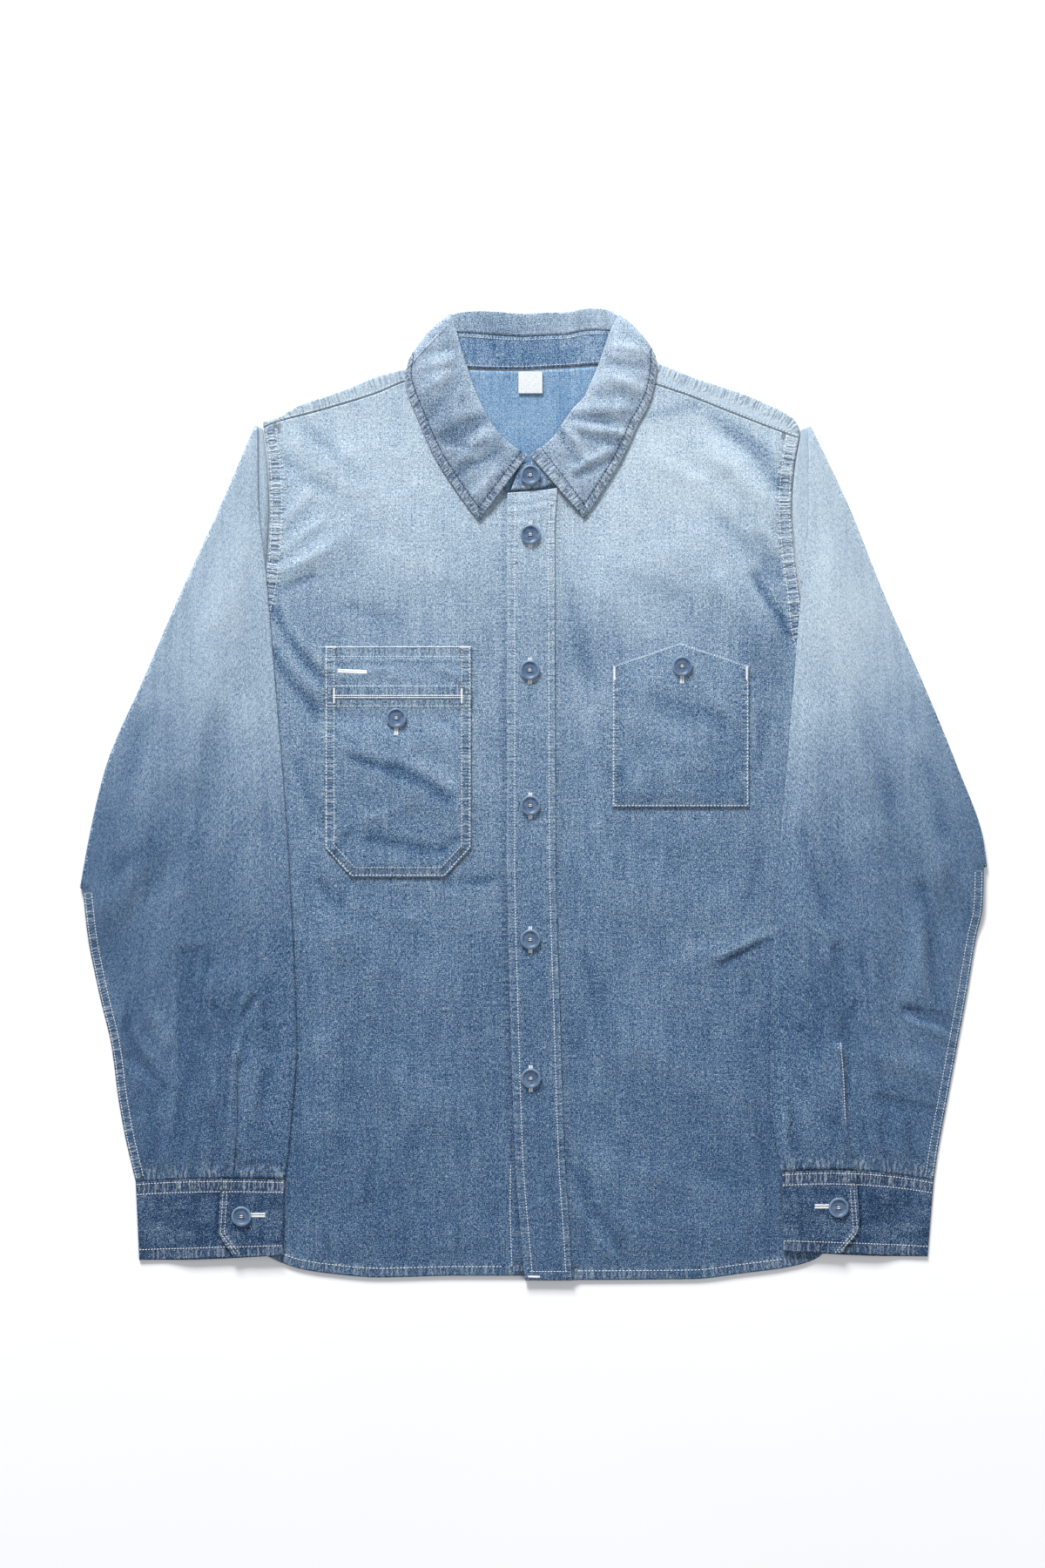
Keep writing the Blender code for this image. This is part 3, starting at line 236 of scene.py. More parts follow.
# Collar sections, middle of the back to each front end: turn, roll line x y, neck seam x y,
# leaf's outer edge x y, roll line to the leaf's hidden edge, bulge of the fall
COLLAR_R = (
    (-1, -8, 380, -8, 0, -8, 340, 17, 0), (-1, -30, 381.4, -30, 0, -30, 340, 17.5, 0),
    (-1, -50, 382, -50, 0, -50, 340.5, 16, 0), (-1, -62, 380.5, -65, 0, -80, 341, 14, 0),
    (-0.5, -64.5, 379, -72, 352, -97, 341.5, 12, 0.7), (0, -64.5, 379, -72, 352, -97, 341.6, 11, 3),
    (0.5, -64.5, 378.6, -72, 352, -97.5, 341, 10, 2.8),
    (1, -63.6, 374.5, -72.6, 346, -100.6, 336, 9, 2.4),
    (1, -61, 366, -69, 334, -101.8, 327.8, 8, 2.2), (1, -57.6, 354, -63.9, 319, -98.5, 315, 7, 2),
    (1, -52.4, 337.4, -58.3, 304.5, -92, 299, 6, 2),
    (1, -47.3, 322.2, -51, 290.5, -86, 284.5, 5, 2),
    (1, -41.1, 307.4, -43.8, 277.5, -79, 269.5, 5, 1.8),
    (1, -33.7, 293.9, -36, 263, -71, 256, 5, 1.5),
    (1, -23.1, 281.2, -27.2, 250, -60, 239.5, 4, 1.2),
    (1, -14.1, 273.9, -21.5, 242, -51, 227, 4, 1), (1, -5, 268.2, -13, 242, -43.5, 217, 4, 0.8))
COLLAR_L = (
    (-1, 14, 381.7, 14, 0, 14, 341, 17, 0), (-1, 34, 382.8, 34, 0, 34, 342, 16.5, 0),
    (-1, 52, 384, 52, 0, 52, 343, 16, 0), (-1, 64, 381.5, 66, 0, 80, 344, 14, 0),
    (-0.5, 66.5, 378.6, 72, 353.5, 94.5, 345, 12, 0.7),
    (0, 66.5, 378.4, 72, 353.5, 94.8, 345.2, 11, 3),
    (0.5, 66.5, 378, 72, 353.5, 95, 344.6, 10, 2.8),
    (1, 65.6, 374.5, 72.6, 347, 97.6, 338.5, 9, 2.4), (1, 61.8, 368, 69, 334, 96.5, 328, 8, 2.2),
    (1, 57.6, 357, 63.6, 319, 93.4, 314.5, 7, 2), (1, 51.4, 338.8, 57.6, 305, 88, 302, 6, 2),
    (1, 45.4, 325, 51, 293, 81.6, 290.9, 5, 2), (1, 39.7, 313.3, 44.2, 281, 77, 280, 5, 1.8),
    (1, 32.5, 306, 37, 269.5, 69, 264, 5, 1.5), (1, 24.5, 295, 30, 261, 60, 249, 4, 1.2),
    (1, 14.5, 281, 19, 248, 49, 231.5, 4, 1), (1, -2.4, 268.2, 10, 244, 40.4, 219.1, 4, 0.8))
STAND_END = (-9, 264.5, -18, 241)
COLLAR_STITCH = 7.2
ROLL_WAVE = 1.2
ROLL_HEIGHTS = ((0.3, 5.6), (0.8, 5.6), (1, 5.4))
LEAF_EDGE_DROP = LAYER - 0.6
LEAF_EDGE_HEIGHTS = ((0.4, 4.2), (1, 3.7))
STAND_END_Z = 5.3
COLLAR_FRONT_ROW = 7
COLLAR_LINE = (43.5, 217.0, 0.884, 0.466)
# Soft folds of the fall: x0, y0, x1, y1, height, half width
COLLAR_CREASES = (
    (-30, 300, -68, 283, -1.7, 5), (-32, 290, -58, 267, 1.2, 5), (-68, 281, -50, 274, -1.0, 3),
    (-24, 308, -46, 310, 0.8, 4), (-70, 330, -88, 318, 0.9, 5), (-60, 326, -80, 300, -0.9, 5),
    (-30, 256, -48, 236, 1.0, 4), (-50, 262, -66, 250, -1.0, 3.5), (-26, 272, -44, 262, -1.0, 3),
    (-62, 346, -86, 336, 0.9, 4), (-60, 356, -82, 348, -0.8, 4), (22, 291, 34, 263, -1.8, 2.6),
    (28, 292, 40, 266, 1.1, 3), (30, 302, 60, 296, -1.4, 3.5), (34, 309, 70, 305, 1.2, 4),
    (36, 293, 72, 286, 1.2, 4), (40, 284, 68, 276, -1.2, 3.5), (58, 330, 84, 322, 1.0, 5),
    (60, 342, 86, 338, -0.9, 4), (36, 252, 64, 264, -1.2, 3), (34, 258, 58, 271, 1.0, 3),
    (52, 318, 80, 312, -0.8, 4), (64, 356, 88, 350, 0.8, 4))

WORK_POCKET = {"x": (-165, -49.2), "top": 118.4, "upper_end": 81.8, "mouth": 87.2, "step": 80.0,
               "bottom": -64.6, "chamfer": (21.0, 23.0)}
POINT_POCKET = {"x": (62.4, 170.6), "top": 102.4, "apex": 120.6, "bottom": -9.4}
WORK_POCKET_CREASES = (
    (-142, 31, -106, 16, -1.3, 5), (-108, 18, -68, -4, -1.5, 6), (-92, 22, -62, 6, 0.5, 6),
    (-158, 52, -142, 42, -0.6, 3), (-128, -34, -84, -44, -0.9, 5), (-158, -44, -146, -30, -0.9, 3),
    (-74, -44, -58, -34, -0.9, 3), (-70, 62, -56, 50, -0.6, 3), (-140, -10, -112, -20, 0.5, 6))
POINT_POCKET_CREASES = (
    (84, 60, 128, 40, 0.6, 8), (100, 74, 150, 60, -0.5, 7), (88, 18, 140, 26, 0.5, 8),
    (140, 84, 160, 60, 0.6, 5))
LABEL = {"x": (-11.8, 7.2), "y": (318, 335.2)}
SLIT_R = ((-202, -238.6), (-225, -238.2), (-255, -238.4), (-280, -240), (-302, -242))
SLIT_L = ((-196, 243.6), (-225, 246), (-253, 247.2), (-275, 250), (-295.4, 253.4))
SLIT_WIDTH = 4.2
LAID_GAP = GAP + 0.25
BUTTON_D = 15.8
BUTTONS = {"button_front_1": (-2.4, 253.2), "button_front_2": (-2.4, 206.3),
           "button_front_3": (-2.8, 99), "button_front_4": (-2.4, -7.9),
           "button_front_5": (-2.4, -113.8), "button_front_6": (-2.1, -223.6),
           "button_work_pocket": (-108.4, 61.2), "button_point_pocket": (117.6, 102.1),
           "button_cuff_right": (-230.8, -332.6), "button_cuff_left": (241.2, -325.7)}


class Slot(Enum):
    """Material slots of the record; the stitch groups carry one each, but no finish is taken from
    them.
    """

    BODY = "body_cloth"
    UPPER = "upper_cloth"
    SLEEVE = "sleeve_cloth"
    CUFF = "cuff_cloth"
    LABEL = "label"
    BUTTON = "button"


class Side(Enum):
    """The wearer's side a piece belongs to; its value is the sign of X there."""

    RIGHT = -1
    LEFT = 1


# ---------------------------------------------------------------- curves, folds and noise


def smooth(edges: Sequence[float], values: np.ndarray | float) -> np.ndarray:
    """0 to 1 as values pass from edges[0] to edges[1], level at both ends.

    Args:
        edges: Where the rise starts and ends.
        values: Where it is read.

    Returns:
        The share risen at each value.
    """
    t = np.clip((np.asarray(values, float) - edges[0]) / (edges[1] - edges[0]), 0, 1)
    return t * t * (3 - 2 * t)


def follow(rows: Table, at: np.ndarray | float) -> np.ndarray:
    """Reads a smooth curve without overshoot.

    Args:
        rows: (position, value) pairs in order of position.
        at: Positions to read.

    Returns:
        Values at those positions.
    """
    x, y = np.array(rows, float).T
    step = np.diff(x)
    slope = np.diff(y) / step
    turn = np.zeros_like(y)
    turn[0], turn[-1] = slope[0], slope[-1]
    both = slope[:-1] * slope[1:]
    turn[1:-1] = np.where(both > 0, 2 * both / np.where(both > 0, slope[:-1] + slope[1:], 1), 0)
    at = np.clip(np.asarray(at, float), x[0], x[-1])
    k = np.clip(np.searchsorted(x, at) - 1, 0, len(step) - 1)
    s = (at - x[k]) / step[k]
    rise = y[k + 1] - y[k]
    return (y[k] + step[k] * turn[k] * s * (1 - s) ** 2 + rise * s * s * (3 - 2 * s)
            - step[k] * turn[k + 1] * s * s * (1 - s))


def run_along(points: np.ndarray) -> np.ndarray:
    """How far along a line each of its points lies."""
    return np.concatenate(([0], np.cumsum(np.linalg.norm(np.diff(points, axis=0), axis=1))))


def run_across(grid: np.ndarray) -> np.ndarray:
    """How far along its own row each point of a grid lies."""
    steps = np.linalg.norm(np.diff(grid, axis=1), axis=2)
    return np.concatenate((np.zeros((len(grid), 1)), np.cumsum(steps, axis=1)), 1)


def along(points: Table, share: np.ndarray) -> np.ndarray:
    """Points at shares 0 to 1 of the length of a plan curve through points."""
    points = np.array(points, float)
    run = run_along(points)
    at = np.asarray(share, float) * run[-1]
    return np.stack([follow(np.stack([run, points[:, i]], 1), at) for i in (0, 1)], -1)


def folds(rows: Table, x: np.ndarray, y: np.ndarray) -> np.ndarray:
    """Height of soft folds at plan points.

    Args:
        rows: x0, y0, x1, y1, height, half width of each fold.
        x: Plan x.
        y: Plan y.

    Returns:
        Summed height.
    """
    total = np.zeros(np.broadcast(x, y).shape)
    for x0, y0, x1, y1, height, width in rows:
        run = math.hypot(x1 - x0, y1 - y0)
        ux, uy = (x1 - x0) / run, (y1 - y0) / run
        lengthwise = (x - x0) * ux + (y - y0) * uy
        beyond = np.maximum(0, np.maximum(-lengthwise, lengthwise - run))
        across = (y - y0) * ux - (x - x0) * uy
        total = total + height * np.exp(-(across ** 2 + 0.6 * beyond ** 2) / width ** 2)
    return total


class SoftNoise:
    """Smooth seeded noise between -1 and 1 over the plan."""

    def __init__(self, seed: int) -> None:
        """Fills the noise table from a fixed seed."""
        self.table = np.random.default_rng(seed).uniform(-1, 1, (97, 97))

    def at(self, x: np.ndarray, y: np.ndarray, size: float) -> np.ndarray:
        """Noise at plan points.

        Args:
            x: Plan x.
            y: Plan y.
            size: Width of one lump in mm.

        Returns:
            Noise values.
        """
        u, v = np.asarray(x, float) / size + 311.3, np.asarray(y, float) / size + 517.7
        i, j = np.floor(u).astype(int), np.floor(v).astype(int)
        fu, fv = u - i, v - j
        fu, fv = fu * fu * (3 - 2 * fu), fv * fv * (3 - 2 * fv)
        n = len(self.table)
        a, b = self.table[i % n, j % n], self.table[(i + 1) % n, j % n]
        c, d = self.table[i % n, (j + 1) % n], self.table[(i + 1) % n, (j + 1) % n]
        return (a * (1 - fu) + b * fu) * (1 - fv) + (c * (1 - fu) + d * fu) * fv


CRUMPLE = SoftNoise(11)
BEND_X, BEND_Y = SoftNoise(23), SoftNoise(37)


def creased(rows: Table, x: np.ndarray, y: np.ndarray, wander: float = 3.0) -> np.ndarray:
    """Listed creases whose lines wander a little, as creases in washed cloth do."""
    return folds(rows, x + wander * BEND_X.at(x, y, 26), y + wander * BEND_Y.at(x, y, 26))


def crumple(x: np.ndarray, y: np.ndarray) -> np.ndarray:
    """Fine uneven waviness of washed cotton, in mm, about a quarter of a millimetre deep."""
    wide = CRUMPLE.at(x + 6 * BEND_X.at(x, y, 50), y, 34)
    small = CRUMPLE.at(y, x + 4 * BEND_Y.at(x, y, 21), 13)
    ridge = (1 - np.abs(CRUMPLE.at(x * 0.8 + y * 0.5, y - x * 0.4, 41))) ** 6
    return 0.34 * wide + 0.09 * small + 0.45 * ridge


def relief_wear_and_shade(rows: Table, soft: Table, x: np.ndarray, y: np.ndarray) -> np.ndarray:
    """Colour from the relief: ridges and folds paler, partly fading from rubbing and partly painted
    highlight, and creases darker as painted shade.
    """
    lines = np.clip(creased(rows, x, y), -1.5, 1.2)
    return (np.where(lines < 0, 0.25, 0.12) * lines + 0.035 * folds(soft, x, y)
            + 0.1 * (crumple(x, y) - 0.12))


def lift(y: np.ndarray | float) -> np.ndarray:
    """Rise of yoke and fronts where the collar's fall lies under them."""
    return YOKE_LIFT * np.clip((np.asarray(y, float) - LIFT_FROM) / (LIFT_TO - LIFT_FROM), 0, 1)


def front_loft(x: np.ndarray, y: np.ndarray) -> np.ndarray:
    """How far the fronts stand off the back, creases included.

    Args:
        x: Plan x.
        y: Plan y.

    Returns:
        Heights above flat fronts.
    """
    inner = np.where(x < 0, -follow([(b, a) for a, b in SLEEVE_R["inner"]][::-1], y),
                     follow([(b, a) for a, b in SLEEVE_L["inner"]][::-1], y))
    reach = np.abs(x)
    x0, y0, across, up = COLLAR_LINE
    collar = (reach - x0) * across - (y - y0) * up
    window = (smooth((34, 60), reach) * smooth((4, 30), inner - reach)
              * smooth((6, 30), collar) * smooth((-377, -345), y) * smooth((300, 262), y))
    near = (smooth((28, 42), reach) * smooth((2, 10), inner - reach) * smooth((2, 12), collar)
            * smooth((-380, -366), y) * smooth((330, 312), y))
    rise = window * (PUFF + folds(FRONT_FOLDS, x, y) + crumple(x, y))
    return np.maximum(rise + near * 1.4 * creased(FRONT_CREASES, x, y), 0.0)


def support(x: np.ndarray, y: np.ndarray, side: Side, armpit: np.ndarray,
            corner: np.ndarray) -> np.ndarray:
    """Height of what a turned sleeve lies on: the body and the sleeve's own first part.

    Args:
        x: Plan x.
        y: Plan y.
        side: The wearer's side.
        armpit: Plan point of the armpit.
        corner: Plan point of the crease's lower end.

    Returns:
        Heights.
    """
    sign = side.value
    beyond_body = sign * x - sign * armpit[0]
    run = np.subtract(corner, armpit)
    run = run / np.linalg.norm(run)
    below = sign * ((x - armpit[0]) * run[1] - (y - armpit[1]) * run[0])
    far = SUPPORT_MARGIN + SUPPORT_DROP
    return SLEEVE_BASE * np.maximum(smooth((far, SUPPORT_MARGIN), beyond_body),
                                    smooth((far, SUPPORT_MARGIN), below))


def bordered(cells: int, rim: float = 0.004) -> np.ndarray:
    """Shares 0 to 1 in even cells, with one narrow cell at each end for the cloth's edge."""
    return np.concatenate(([0.0], np.linspace(rim, 1 - rim, cells + 1), [1.0]))


def line(*points: Sequence[float]) -> Path:
    """A plan line through these points."""
    return np.array(points, float)


def nearest(points: Path, x: np.ndarray, y: np.ndarray) -> tuple[np.ndarray, np.ndarray]:
    """Distance from plan points to a line, and how far along the line its nearest point is.

    Args:
        points: Points of the line.
        x: Plan x.
        y: Plan y.

    Returns:
        Distance, and how far along the line.
    """
    best = np.full(np.shape(x), 1e9)
    run_at = np.zeros(np.shape(x))
    start = 0.0
    for a, b in zip(points, points[1:]):
        step = b - a
        length = float(np.hypot(*step)) or 1e-9
        t = np.clip(((x - a[0]) * step[0] + (y - a[1]) * step[1]) / length ** 2, 0, 1)
        d = np.hypot(x - a[0] - t * step[0], y - a[1] - t * step[1])
        closer = d < best
        best = np.where(closer, d, best)
        run_at = np.where(closer, start + t * length, run_at)
        start += length
    return best, run_at


def offset(points: Path, distance: float) -> Path:
    """A plan line moved sideways, to the left of its direction for a positive distance."""
    ahead = np.gradient(points, axis=0)
    ahead /= np.maximum(np.linalg.norm(ahead, axis=1, keepdims=True), 1e-9)
    return points + np.stack([-ahead[:, 1], ahead[:, 0]], 1) * distance


def table_line(rows: Table, start: float, end: float, count: int = 60,
               swapped: bool = False) -> Path:
    """Points of a table's curve between two positions; swapped for (y, x) tables.

    Args:
        rows: The table.
        start: First position.
        end: Last position.
        count: Number of points.
        swapped: Whether the table's positions are y.

    Returns:
        The line.
    """
    at = np.linspace(start, end, count)
    value = follow(rows, at)
    return np.stack([value, at] if swapped else [at, value], 1)


# ---------------------------------------------------------------- seams, wash and painted shade


@dataclass(frozen=True)
class Seam:
    """A sewn line that draws the cloth into puckers.

    Attributes:
        points: Plan line of the seam's middle.
        width: Half width of the puckered band in mm.
        strength: Depth of the puckers, 1 at the armholes.
    """

    points: Path
    width: float = 6.0
    strength: float = 1.0


@dataclass
class Marks:
    """What a piece's material needs to know at each point of its grid."""

    uv: np.ndarray
    pucker: np.ndarray
    run: np.ndarray
    reach: np.ndarray
    pale: np.ndarray


def seam_marks(seams: Iterable[Seam], x: np.ndarray, y: np.ndarray
               ) -> tuple[np.ndarray, np.ndarray, np.ndarray]:
    """Pucker strength, place along the seam and distance from it, of the seam that rules there.

    Args:
        seams: Sewn lines.
        x: Plan x.
        y: Plan y.

    Returns:
        Strength, place along the seam and distance from it.
    """
    pucker = np.zeros(np.shape(x))
    run, reach = np.zeros(np.shape(x)), np.full(np.shape(x), 60.0)
    for k, seam in enumerate(seams):
        d, s = nearest(seam.points, x, y)
        here = seam.strength * np.exp(-(d / seam.width) ** 4)
        rules = here > pucker
        pucker = np.where(rules, here, pucker)
        run = np.where(rules, s + 400 * k, run)
        reach = np.where(rules, d, reach)
    return pucker, run, reach


class WashAndShade:
    """How far the dye has washed out over the shirt, 0 blue to 1 bleached; two darker places on the
    fronts, beside the sleeves, are painted shade.
    """

    BODY = ((-384, 0.08), (-308, 0.09), (-212, 0.13), (-115, 0.2), (-19, 0.3), (30, 0.37),
            (78, 0.46), (126, 0.54), (175, 0.67), (223, 0.77), (300, 0.88))
    SLEEVE = ((-310, 0.05), (-212, 0.09), (-115, 0.12), (-67, 0.18), (-19, 0.31), (30, 0.43),
              (78, 0.7), (126, 0.8), (175, 0.84), (223, 0.9), (290, 0.93))
    SLEEVE_TILT = 0.4
    # Lighter or darker places: x, y, half width, half height, amount. The darker places at (-176,
    # 130) and (190, 120), beside the sleeves, are painted shade
    PLACES = ((120, 240, 62, 60, 0.14), (55, 200, 50, 50, 0.1), (-176, 130, 40, 60, -0.12),
              (-90, 262, 44, 30, 0.05), (150, 140, 40, 40, -0.06), (190, 120, 24, 44, -0.22),
              (-86, 60, 40, 70, 0.06), (-176, -210, 40, 120, -0.08), (190, -260, 40, 120, -0.08),
              (100, -150, 60, 90, 0.02), (110, -40, 60, 60, -0.07), (-52, -60, 50, 80, 0.05),
              (36, 130, 26, 30, -0.07), (168, 90, 24, 30, -0.05), (96, 150, 30, 30, 0.05),
              (-60, 160, 40, 24, -0.05), (-150, 236, 34, 26, 0.05), (-100, 190, 50, 20, 0.04))

    def body(self, x: np.ndarray, y: np.ndarray) -> np.ndarray:
        """How far the dye has washed out on the body, collar and what lies on them, with the
        lighter and darker places added, two of them painted shade.
        """
        return self.places(follow(self.BODY, y + 0 * x), x, y)

    def sleeve(self, x: np.ndarray, y: np.ndarray) -> np.ndarray:
        """How far the sleeves' dye has washed out; they fade lower down than the body."""
        own = 0.08 * smooth((40, 100), y) * (x < 0)
        return follow(self.SLEEVE, y - self.SLEEVE_TILT * (np.abs(x) - 245)) - own

    def places(self, pale: np.ndarray, x: np.ndarray, y: np.ndarray) -> np.ndarray:
        """Adds the lighter and darker places.

        Args:
            pale: How far the dye has washed out.
            x: Plan x.
            y: Plan y.

        Returns:
            The same with the places added.
        """
        for x0, y0, rx, ry, amount in self.PLACES:
            pale = pale + amount * np.exp(-((x - x0) / rx) ** 2 - ((y - y0) / ry) ** 2)
        return np.clip(pale, 0, 1)


WASH_AND_SHADE = WashAndShade()
RAMP_LOW, RAMP_HIGH = -0.55, 1.4


# ---------------------------------------------------------------- shader parts


THREAD_PITCH = 0.8
STREAKS = 0.22
RIDGE_SHOWS, HOLLOW_SHOWS = 0.5, 0.66
CLOTH_ROUGHNESS = 0.86
PLEAT_DEPTH, THREAD_DEPTH = 0.006, 0.00022


class NodeTree:
    """Short ways to lay out and join nodes in one tree."""

    def __init__(self, tree: bpy.types.NodeTree) -> None:
        """Keeps the tree."""
        self.tree = tree

    def add(self, kind: str, **values: object) -> bpy.types.Node:
        """Adds a node and sets its properties."""
        node = self.tree.nodes.new(kind)
        for key, value in values.items():
            setattr(node, key, value)
        return node

    def ends(self) -> tuple[bpy.types.Node, bpy.types.Node]:
        """The nodes that hold a group's own inputs and outputs."""
        return self.add("NodeGroupInput"), self.add("NodeGroupOutput")

    def feed(self, node: bpy.types.Node, values: dict[str | int, object]) -> bpy.types.Node:
        """Joins sockets to a node's inputs, or sets plain values there, by name or number.

        Args:
            node: The node.
            values: Sockets or plain values by input.

        Returns:
            The node.
        """
        for key, value in values.items():
            if isinstance(value, Socket):
                self.tree.links.new(value, node.inputs[key])
            else:
                node.inputs[key].default_value = value
        return node

    def make(self, kind: str, inputs: dict[str | int, object], **values: object) -> Socket:
        """Adds a node, feeds its inputs and gives its first output."""
        return self.feed(self.add(kind, **values), inputs).outputs[0]

    def math(self, operation: str, *values: object) -> Socket:
        """A Math node's result."""
        return self.make("ShaderNodeMath", dict(enumerate(values)), operation=operation)

    def times(self, a: object, b: object) -> Socket:
        """Product of two values."""
        return self.math("MULTIPLY", a, b)

    def plus(self, first: object, *others: object) -> Socket:
        """Sum of values, added one after another."""
        for other in others:
            first = self.math("ADD", first, other)
        return first

    def swing(self, noise: Socket, gain: object) -> Socket:
        """How far a noise stands from its middle value, times a gain."""
        return self.times(self.math("SUBTRACT", noise, 0.5), gain)

    def span(self, value: object, low: float, high: float, to_low: float = 0.0,
             to_high: float = 1.0) -> Socket:
        """Maps a value from low..high to to_low..to_high, smoothly and clamped."""
        ends = {"From Min": low, "From Max": high, "To Min": to_low, "To Max": to_high}
        return self.make("ShaderNodeMapRange", {"Value": value, **ends},
                         interpolation_type="SMOOTHSTEP")

    def noise(self, vector: Socket, scale: float, detail: float = 2.0, rough: float = 0.55
              ) -> Socket:
        """A Noise Texture's factor."""
        return self.make("ShaderNodeTexNoise", {"Vector": vector, "Scale": scale,
                                                "Detail": detail, "Roughness": rough})

    def vector(self, x: object, y: object, z: object = 0.0) -> Socket:
        """A vector from three values."""
        return self.make("ShaderNodeCombineXYZ", {0: x, 1: y, 2: z})

    def mix(self, factor: object, a: object, b: object) -> Socket:
        """A colour mix."""
        node = self.add("ShaderNodeMix", data_type="RGBA")
        return self.feed(node, {"Factor": factor, 6: a, 7: b}).outputs[2]


class MaterialTree(NodeTree):
    """A new material's tree, with its shader."""

    def __init__(self, name: str) -> None:
        """Starts the material."""
        self.made = bpy.data.materials.new(name)
        self.made.use_nodes = True
        super().__init__(self.made.node_tree)

    def object_place(self) -> Socket:
        """Place in the object, in metres."""
        return self.add("ShaderNodeTexCoord").outputs["Object"]

    def cloth_place(self) -> Socket:
        """Place on the cloth as it was cut, in mm."""
        uv = self.make("ShaderNodeUVMap", {}, uv_map="cloth")
        return self.make("ShaderNodeVectorMath", {0: uv, "Scale": 1 / MM}, operation="SCALE")

    def mark(self, name: str) -> Socket:
        """One of the mesh's marks."""
        return self.add("ShaderNodeAttribute", attribute_name=name).outputs["Fac"]

    def bump(self, height: Socket, strength: float, distance: float, **below: Socket) -> Socket:
        """A Bump node's normal; Normal may give the one below it."""
        return self.make("ShaderNodeBump", {"Strength": strength, "Distance": distance,
                                            "Height": height, **below})

    def shade(self, values: dict[str | int, object]) -> Finish:
        """Sets the shader's inputs and gives the material."""
        self.feed(self.tree.nodes["Principled BSDF"], values)
        return self.made


def colour(red: float, green: float, blue: float, gain: float = 1.0
           ) -> tuple[float, float, float, float]:
    """A display colour of 0 to 255, times a gain, as the linear value a shader takes."""
    def linear(value: float) -> float:
        """One channel."""
        v = min(255, value * gain) / 255
        return v / 12.92 if v <= 0.04045 else ((v + 0.055) / 1.055) ** 2.4
    return linear(red), linear(green), linear(blue), 1.0


def new_group(name: str, inputs: Sequence[tuple[str, str, float]], outputs: Sequence[str]
              ) -> NodeTree:
    """An empty shader node group with named sockets.

    Args:
        name: The group's name.
        inputs: Name, socket type and default of each input.
        outputs: Names of the float outputs.

    Returns:
        The group's tree.
    """
    tree = bpy.data.node_groups.new(name, "ShaderNodeTree")
    for label, kind, default in inputs:
        socket = tree.interface.new_socket(label, in_out="INPUT", socket_type=kind)
        if kind == "NodeSocketFloat":
            socket.default_value = default
    for label in outputs:
        tree.interface.new_socket(label, in_out="OUTPUT", socket_type="NodeSocketFloat")
    return NodeTree(tree)


def weave_group() -> bpy.types.NodeTree:
    """Chambray seen close: blue warp over white weft, slubs and heathering. Vector is in mm."""
    part = new_group("chambray_weave", (("Cloth", "NodeSocketVector", 0.0),
                                        ("Slub", "NodeSocketFloat", 1.0)), ("Tone", "Height"))
    inlet, outlet = part.ends()
    split = part.feed(part.add("ShaderNodeSeparateXYZ"), {0: inlet.outputs["Cloth"]})
    u, v = split.outputs[0], split.outputs[1]

    def strands(across: float, up: float, start: float) -> Socket:
        """Noise drawn out one way, by how many lumps a mm holds across and up."""
        drawn = part.vector(part.times(u, across), part.times(v, up), start)
        return part.noise(drawn, 1.0, 1.0, 0.5)

    warp, weft = strands(2.1, 0.4, 0.0), strands(0.4, 2.1, 7.0)
    heather = part.noise(part.vector(u, v, 3.0), 2.3, 0.0, 0.5)
    slub, upright = strands(0.05, 0.8, 11.0), strands(0.95, 0.03, 17.0)
    crossing = [part.math("SINE", part.times(way, 2 * math.pi / THREAD_PITCH)) for way in (u, v)]
    threads = part.times(*crossing)
    tone = part.plus(part.swing(warp, 3.2), part.swing(weft, 2.8), part.swing(heather, 6.0),
                     part.times(part.swing(slub, inlet.outputs["Slub"]), 0.9),
                     part.swing(upright, 1.0))
    part.feed(outlet, {"Tone": part.plus(tone, part.times(threads, 0.12)),
                       "Height": part.plus(part.times(threads, 0.3), tone)})
    return part.tree


def blotch_group() -> bpy.types.NodeTree:
    """Uneven washing: broad soft clouds and smaller stains, -1 to 1. Vector is in mm."""
    part = new_group("wash_clouds", (("Place", "NodeSocketVector", 0.0),), ("Cloud", "Streak"))
    inlet, outlet = part.ends()
    place = inlet.outputs["Place"]
    cloud = part.plus(part.swing(part.noise(place, 0.016, 3.0), 1.6),
                      part.swing(part.noise(place, 0.07, 3.0, 0.6), 0.7))
    split = part.feed(part.add("ShaderNodeSeparateXYZ"), {0: place})
    drawn = part.vector(part.times(split.outputs[0], 0.11), part.times(split.outputs[1], 0.012))
    streak = part.math("SUBTRACT", part.noise(drawn, 1.0, 2.0, 0.5), 0.5)
    part.feed(outlet, {"Cloud": cloud, "Streak": streak})
    return part.tree


def pucker_group() -> bpy.types.NodeTree:
    """Puckers across a seam: ridges paler, partly fading from rubbing and partly painted highlight,
    hollows darker, partly dye kept in them and partly painted shade, and their height.
    """
    floats = (("Strength", 0.0), ("Run", 0.0), ("Reach", 0.0), ("Pitch", 4.0))
    part = new_group("seam_puckers", [(name, "NodeSocketFloat", value) for name, value in floats],
                     ("Ridge", "Hollow", "Height"))
    inlet, outlet = part.ends()
    strength, run, reach, pitch = (inlet.outputs[name] for name, _ in floats)
    wave = part.noise(part.vector(part.math("DIVIDE", run, pitch), part.times(reach, 0.12)),
                      1.0, 2.0, 0.6)
    small = part.vector(part.times(run, 0.55), part.times(reach, 0.2), 5.0)
    both = part.plus(part.times(wave, 0.72), part.times(part.noise(small, 1.0, 2.0, 0.6), 0.28))
    part.feed(outlet, {"Ridge": part.times(part.span(both, 0.5, 0.58), strength),
                       "Hollow": part.times(part.span(both, 0.5, 0.41), strength),
                       "Height": part.swing(both, strength)})
    return part.tree


GROUPS: dict[str, bpy.types.NodeTree] = {}
RIDGE_WEAR_AND_HIGHLIGHT, HOLLOW_DYE_AND_SHADE = colour(206, 216, 224), colour(40, 68, 106)


